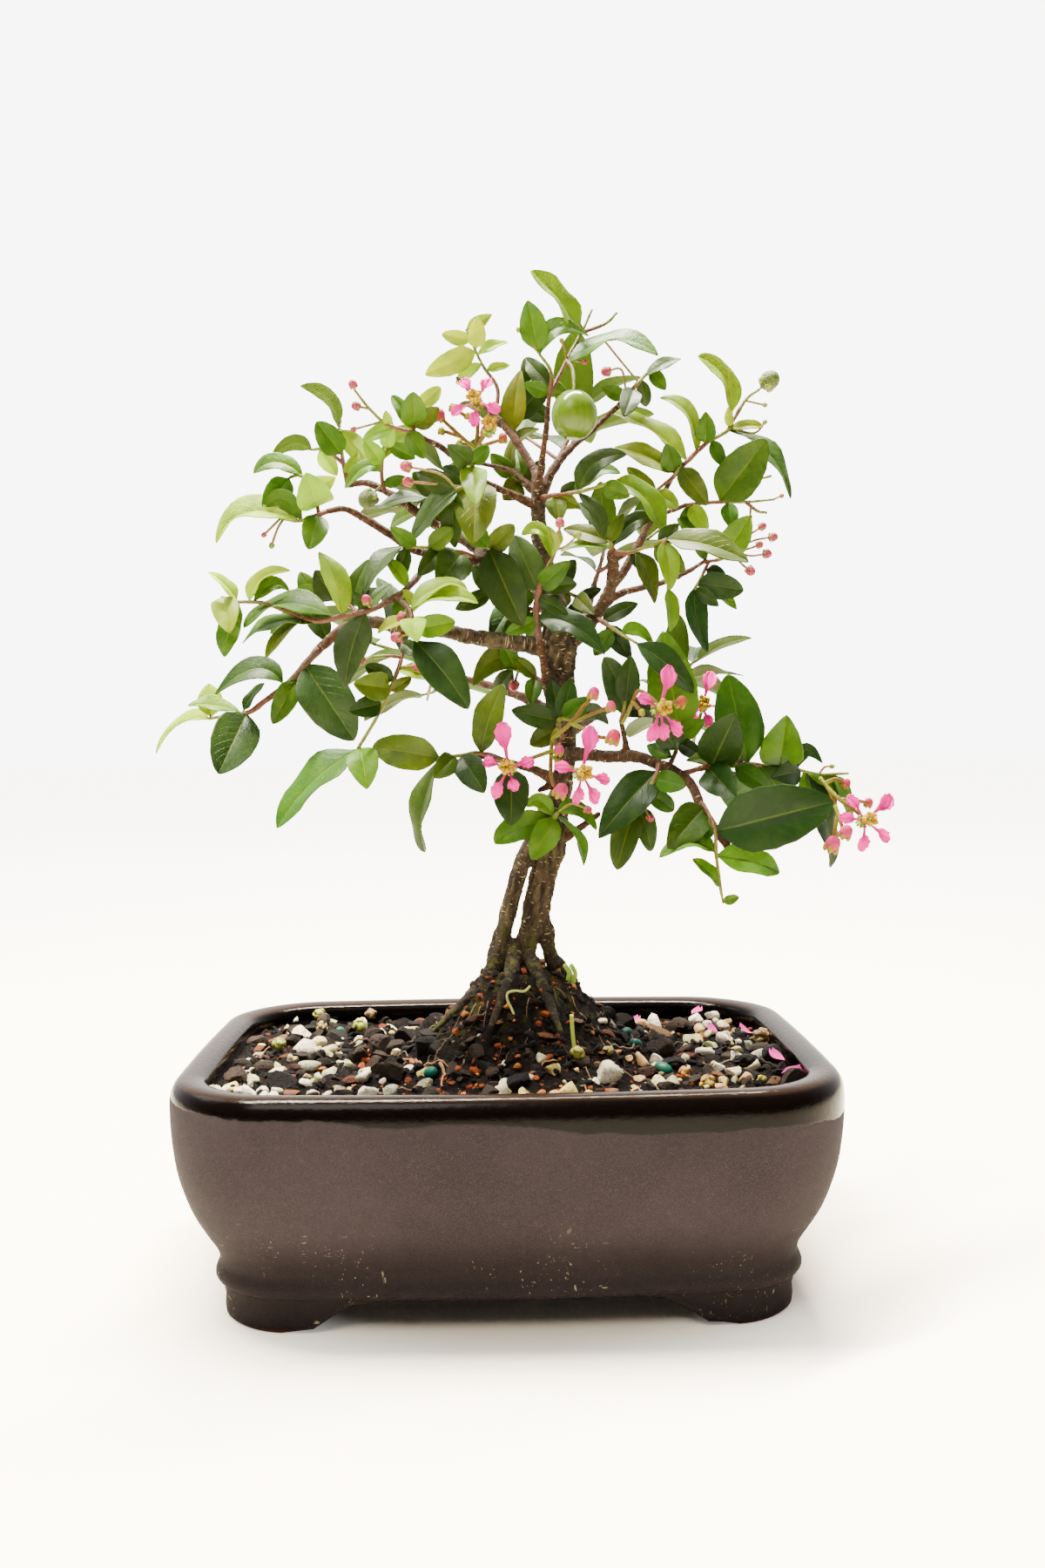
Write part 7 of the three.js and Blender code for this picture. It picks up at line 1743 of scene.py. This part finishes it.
# %% Flower tables
CLUSTERS = (
    ("cluster_centre", paths("""
17.5 174 -9.5, 16 171 -15, 15.3 160 -20, 16.5 155 -24;
16 171 -15, 18 167 -20;
15.8 167 -17, 9 164.6 -24, 1.5 161.5 -30;
15.8 165 -18, 20 162.5 -24, 25.5 159.5 -29;
16 171 -15, 22 176 -22, 26 181 -23, 29.3 184.5 -24;
22 176 -22, 29 179 -24, 34.5 181 -26;
22 176 -22, 26.5 174 -25, 31 171.5 -28, 33.5 171.2 -29
"""), rows("""
18.5 153.6 -25 2.7, 18 167 -21 2, 29.6 185.5 -24.5 2.2, 35.2 181.2 -26.5 1.9, 36 171 -30.5 2.7
""")),
    ("cluster_right", paths("""
38.9 175.8 -10.4, 40.5 178.5 -15, 42.5 183 -21, 44.5 186.5 -24, 48.5 184.3 -27, 51.5 181 -30;
42.5 183 -21, 45 180 -26;
51.5 181 -30, 55 182.5 -27, 58 182.5 -26
"""), rows("""
58.4 182.5 -25.5 2.1, 45.5 179.3 -26.5 1.2
""")),
    ("cluster_behind", paths("""
66 162.5 -13.5, 63.8 164.5 -4, 62.5 167.5 8, 63 172 19, 65.2 179.5 20.5
"""), ()),
    ("cluster_right_end", paths("""
104.5 157.2 -4.5, 107 154 -8, 109.5 148 -10, 110.2 144.5 -10.5;
107 154 -8, 111 150 -11, 116 146.5 -12.5, 119.3 143.4 -14;
109.5 148 -10, 111.5 142 -14, 112.5 137 -15;
106 155.4 -6.6, 109.5 156.8 -6, 113 155.5 -6;
111 150 -11, 117 149.5 -7, 120 148.8 -4;
110.2 144.5 -10.5, 109.3 139 -10, 108.8 136 -10
"""), rows("""
113.2 155.2 -6 1.7, 120.6 148.7 -3.6 1.8, 108.6 135 -10 3, 113 139 -15.5 2.6
""")),
    ("cluster_upper_left", paths("""
-7.4 261.5 8, -8 266 2, -7.5 274 -6, -8 280.5 -10;
-8 266 2, -5 270.5 -8;
-7.8 265 3.6, -13 269.5 -4, -19.5 275.5 -8;
-7.8 265 3.6, -13 267.5 -2;
-13 269.5 -4, -18.5 271.3 -5;
-7.5 274 -6, -11 276 -8, -15.5 278.5 -9;
-8 266 2, 0 268.5 -8
"""), rows("""
-20 276.2 -8.4 2.2, -19.5 271.3 -5 1.4, -13.6 267.4 -2 1.3, -15.8 278.8 -9 1.5, -10.8 276.1 -8 1.3,
0.6 268.8 -8.4 1.8, -4.8 271.2 -9 2.2
""")),
)
BLOOMS = (
    ("bloom_a", "cluster_centre", (1.5, 161.5, -32), (-0.25, -1, 0.15),
     ((-0.5, 176.5), (9.8, 163.8), (3.8, 154), (-3.4, 151.6), (-6.6, 164))),
    ("bloom_b", "cluster_centre", (25.5, 159.5, -31), (0.3, -1, 0.1),
     ((28.8, 175), (16.6, 162.2), (23.4, 149.6), (30.4, 149.4), (34.6, 156.8))),
    ("bloom_c", "cluster_right", (51.5, 180.5, -32), (0.35, -1, 0.15),
     ((54.6, 194.6), (44.3, 184.6), (47.8, 169.8), (52.6, 170.2), (58, 171.6))),
    ("bloom_d", "cluster_behind", (65.5, 181.5, 13), (0, -1, 0.3),
     ((68.6, 192.4), (60.4, 186.4), (61, 176.6), (67.6, 174.8), (76, 180.4))),
    ("bloom_e", "cluster_right_end", (119.5, 143, -17), (0.3, -1, 0.2),
     ((113.6, 151.2), (128.4, 151), (127.2, 136), (118, 132.8), (110.8, 144))),
    ("bloom_f", "cluster_upper_left", (-8, 281, -12), (-0.2, -1, 0.3),
     ((-16, 276.6), (-12.4, 288), (-3.2, 288), (-0.4, 277.4), (-8.6, 272.8))),
)

# %% Petals
PETAL_ALONG = np.array([0, .12, .25, .36, .44, .52, .6, .7, .8, .89, .96, 1.0])
PETAL_HALF = np.array([.4, .42, .48, .62, 1.15, 1.8, 2.25, 2.5, 2.4, 1.95, 1.2, .4])
PETAL_ACROSS = np.linspace(-1, 1, 11)
PINK_LIGHT, PINK_DEEP = (0.72, 0.007, 0.33), (0.46, 0.003, 0.16)


def petal(stack, centre, axis, tip, chance):
    """Claw, then a disc: half widths come from a table, the disc is cupped and its edge is fringed by waves
    that grow towards the rim."""
    chord = tip - centre
    length = np.linalg.norm(chord)
    chord = chord / length
    side = unit(np.cross(chord, axis))
    u = PETAL_ALONG[:, None]
    v = PETAL_ACROSS[None, :]
    scale = length / 13.0
    half = PETAL_HALF[:, None] * max(scale, 0.75)
    rim = np.maximum(np.abs(v), np.clip((u - 0.8) / 0.2, 0, 1)) ** 3
    fringe = 0.42 * rim * np.sin(v * 19 + u * 37 + chance.uniform(0, 6)) * (u > 0.4)
    reach = 1.6 + (length - 1.6) * u + 0.5 * fringe * (u > 0.85)
    lift = (0.75 * np.sin(np.pi * np.clip(u, 0, 1)) + 0.9 * (v ** 2) * (u > 0.4) * np.sin(np.pi * u)
            + 0.55 * fringe)
    lift = lift + 0.25 * np.sin(v * 7 + u * 9 + chance.uniform(0, 6)) * (u > 0.45)
    aside = side * ((half + 0.55 * fringe) * v)[..., None]
    points = centre + chord * reach[..., None] + aside + axis * lift[..., None]
    shade = ramp((PINK_DEEP, PINK_DEEP, PINK_LIGHT, PINK_LIGHT), len(PETAL_ALONG))
    shade = np.repeat(shade * chance.uniform(0.92, 1.08), len(PETAL_ACROSS), 0)
    place = np.stack(np.broadcast_arrays(u, v * 0.5 + 0.5), -1)
    stack.add(points, grid_faces(len(PETAL_ALONG), len(PETAL_ACROSS)), shade, place)


petal_finish = Finish("petal", 0.6)
petal_finish.shine(0.06)
petal_place = petal_finish.node("ShaderNodeUVMap", uv_map="place").outputs["UV"]
streak = petal_finish.range(petal_finish.noise(9, 3, 0.6, petal_place, (0.6, 6, 1)), 0.4, 0.65)
pink = petal_finish.blend(petal_finish.times(streak, 0.35), petal_finish.attribute("tint"),
                          (0.82, 0.055, 0.42))
petal_finish.colour(pink)
petal_glow = petal_finish.node("ShaderNodeBsdfTranslucent", {"Color": pink}).outputs[0]
petal_mix = petal_finish.node("ShaderNodeMixShader",
                              {0: 0.3, 1: petal_finish.shader.outputs[0], 2: petal_glow})
petal_finish.links.new(petal_mix.outputs[0], petal_finish.nodes["Material Output"].inputs["Surface"])


def flower_axis(face):
    """The way that a flower faces, one long."""
    return unit(np.array(face, float))


for name, _, at, face, tips in BLOOMS:
    centre, axis = seen(*at), flower_axis(face)
    chance = np.random.default_rng(sum(map(ord, name)))
    stack = Stack()
    for x, z in tips:
        flat = seen(x, z, at[2]) - centre
        petal(stack, centre, axis, seen(x, z, at[2] - flat @ axis / axis[1]), chance)
    piece = show("petals_" + name, stack.mesh("petals_" + name), petal_finish.material, "petal", name)
    thick = piece.modifiers.new("thickness", "SOLIDIFY")
    thick.thickness = PETAL_THICK
    thick.offset = 0
show("fallen_petals", fallen_mesh, petal_finish.material, "petal")
print("flowers:", len(BLOOMS))

# %% Stalks, buds, calyx and stamens
STALK_RED, GLAND = (0.095, 0.052, 0.011), (0.15, 0.17, 0.010)
PINKISH = ((0.25, 0.010, 0.045), (0.31, 0.018, 0.085), (0.20, 0.036, 0.020))
YELLOW, YELLOW_DEEP = (0.30, 0.195, 0.0003), (0.28, 0.13, 0.0003)


def round_about(axis, count, start=0.0):
    """Directions spread evenly round an axis."""
    side = unit(np.cross((0.2, 0.1, 1), axis))
    up = np.cross(axis, side)
    angles = start + np.arange(count) / count * 2 * np.pi
    return [side * math.cos(a) + up * math.sin(a) for a in angles]


def flower_middle(stack, centre, axis, chance):
    """Calyx of five lobes with two glands each behind the petals, stamens and three styles in front."""
    blob(stack, centre - axis * 2.0, (1.5, 1.7), axis, (0.11, 0.16, 0.012), 7, 10)
    for out in round_about(axis, 5):
        blob(stack, centre - axis * 1.4 + out * 1.6, (1.5, 0.7), axis + out * 0.5, (0.24, 0.34, 0.07), 5, 6)
        aside = np.cross(axis, out)
        for hand in (-0.5, 0.5):
            blob(stack, centre - axis * 2.3 + out * 1.7 + aside * hand, (0.85, 0.45), axis, GLAND, 6, 7)
    tube(stack, [centre - axis * 1.0, centre, centre + axis * 1.6], 0.9, 8, (0.24, 0.17, 0.001))
    for number, out in enumerate(round_about(axis, 10, 0.2)):
        lean = 0.62 if number % 2 else 0.42
        top = centre + axis * chance.uniform(2.6, 3.5) + out * lean * chance.uniform(2.6, 3.3)
        filament = [centre + axis * 0.6 + out * 0.4, (centre + top) / 2 + axis * 0.5, top]
        tube(stack, filament, 0.2, 5, (0.28, 0.18, 0.001))
        blob(stack, top, (1.2, 0.9), axis + out * 0.4, YELLOW if number % 3 else YELLOW_DEEP, 6, 7)
    for out in round_about(axis, 3):
        top = centre + axis * 3.2 + out * 0.5
        tube(stack, [centre + axis * 1.2, centre + axis * 2.2 + out * 0.3, top], 0.22, 5, (0.45, 0.50, 0.12))


def pink_bud(stack, centre, radius, chance):
    """A round bud: a ball over a ring of five calyx glands. The smallest buds are green, the others pink."""
    axis = unit(np.array([0.2, -0.3, 1]) + chance.normal(0, 0.15, 3))
    pinkish = np.array(PINKISH[chance.integers(0, 3)])
    if radius < 1.6:
        pinkish = np.array((0.17, 0.21, 0.015))
    blob(stack, centre + axis * 0.12 * radius, (radius * 0.95, radius * 0.82), axis, pinkish, 10, 15)
    for out in round_about(axis, 5, 0.3):
        blob(stack, centre - axis * radius * 0.35 + out * radius * 0.62, (radius * 0.55, radius * 0.32), axis,
             (0.17, 0.13, 0.012), 6, 7)


stalk_finish = mottled_finish("flower_stalk", 0.5, (1300, 2), 0.4, 0.10, (0.26, 0.20, 0.05), 0.0002)
stalk_finish.shine(0.06)

for name, stalks, knobs in CLUSTERS:
    chance = np.random.default_rng(sum(map(ord, name)))
    stack = Stack()
    for path in stalks:
        curve = even(path, 0.7, 0.6)
        tube(stack, curve[:, :3], curve[:, 3], 8, ramp((TWIG_GREEN, STALK_RED, STALK_RED), len(curve)), 0.05)
    for x, z, y, radius in knobs:
        pink_bud(stack, seen(x, z, y), radius, chance)
    for _, cluster, at, face, _ in BLOOMS:
        if cluster != name:
            continue
        centre, axis = seen(*at), flower_axis(face)
        back = centre - axis * 3
        ends = np.array([seen(*path[-1]) for path in stalks])
        end = ends[np.linalg.norm(ends - back, axis=1).argmin()]
        tube(stack, smooth_path([end, (end + back) / 2, back], 0.8), 0.6, 8, STALK_RED)
        flower_middle(stack, centre, axis, chance)
    if name == "cluster_upper_left":
        flower_middle(stack, seen(-3.8, 272.5, -12), flower_axis((0, -1, 0.3)), chance)
    show("stalks_" + name, stack.mesh("stalks_" + name), stalk_finish.material, "stalk", name)

# %% [markdown]
# ## The cherry
# One big unripe cherry hangs in front of the crown. It is glossy and green, with three shallow lobes,
# darker streaks from pole to pole, darker poles and a dimple at each.

# %% Cherry
CHERRY_AT, CHERRY_RADIUS = (23.8, 276.4, -20), 7.2
polar = np.linspace(0.01, np.pi - 0.01, 40)[:, None]
around = (np.arange(72) / 72 * 2 * np.pi)[None, :]
flat = np.sin(polar)
lobed = 1 + 0.025 * np.cos(3 * around) * flat ** 2
top_dent, low_dent = 0.13 * np.exp(-(polar / 0.22) ** 2), 0.05 * np.exp(-((np.pi - polar) / 0.2) ** 2)
height = np.cos(polar) * (1.08 - top_dent - low_dent)
ball = np.stack(np.broadcast_arrays(np.cos(around) * flat * lobed, np.sin(around) * flat * lobed, height), -1)
cherry_stack = Stack()
cherry_stack.closed(seen(*CHERRY_AT) + ball * CHERRY_RADIUS)
cherry_mesh = cherry_stack.mesh("cherry_fruit")
outward(cherry_mesh)

fruit = Finish("green_cherry", 0.2)
fruit.shine(0.2)
centre = metres(seen(*CHERRY_AT))
aside = fruit.node("ShaderNodeVectorMath", {0: fruit.coordinates, 1: tuple(centre)}, operation="SUBTRACT")
parts = fruit.node("ShaderNodeSeparateXYZ", {"Vector": aside.outputs[0]})
angle = fruit.math("ARCTAN2", parts.outputs["Y"], parts.outputs["X"])
streaks = fruit.noise(1.0, 3, 0.6, fruit.node("ShaderNodeCombineXYZ", {
    "X": fruit.times(angle, 3.2), "Y": fruit.times(parts.outputs["Z"], 120)}).outputs[0])
green = fruit.blend(fruit.range(streaks, 0.35, 0.68), (0.062, 0.106, 0.004), (0.042, 0.082, 0.0035))
tips = fruit.range(fruit.math("ABSOLUTE", parts.outputs["Z"]), 0.0045, 0.0068)
green = fruit.blend(fruit.times(tips, 0.6), green, (0.020, 0.045, 0.002))
fruit.colour(green)
show("cherry_fruit", cherry_mesh, fruit.material, "fruit", "cherry")
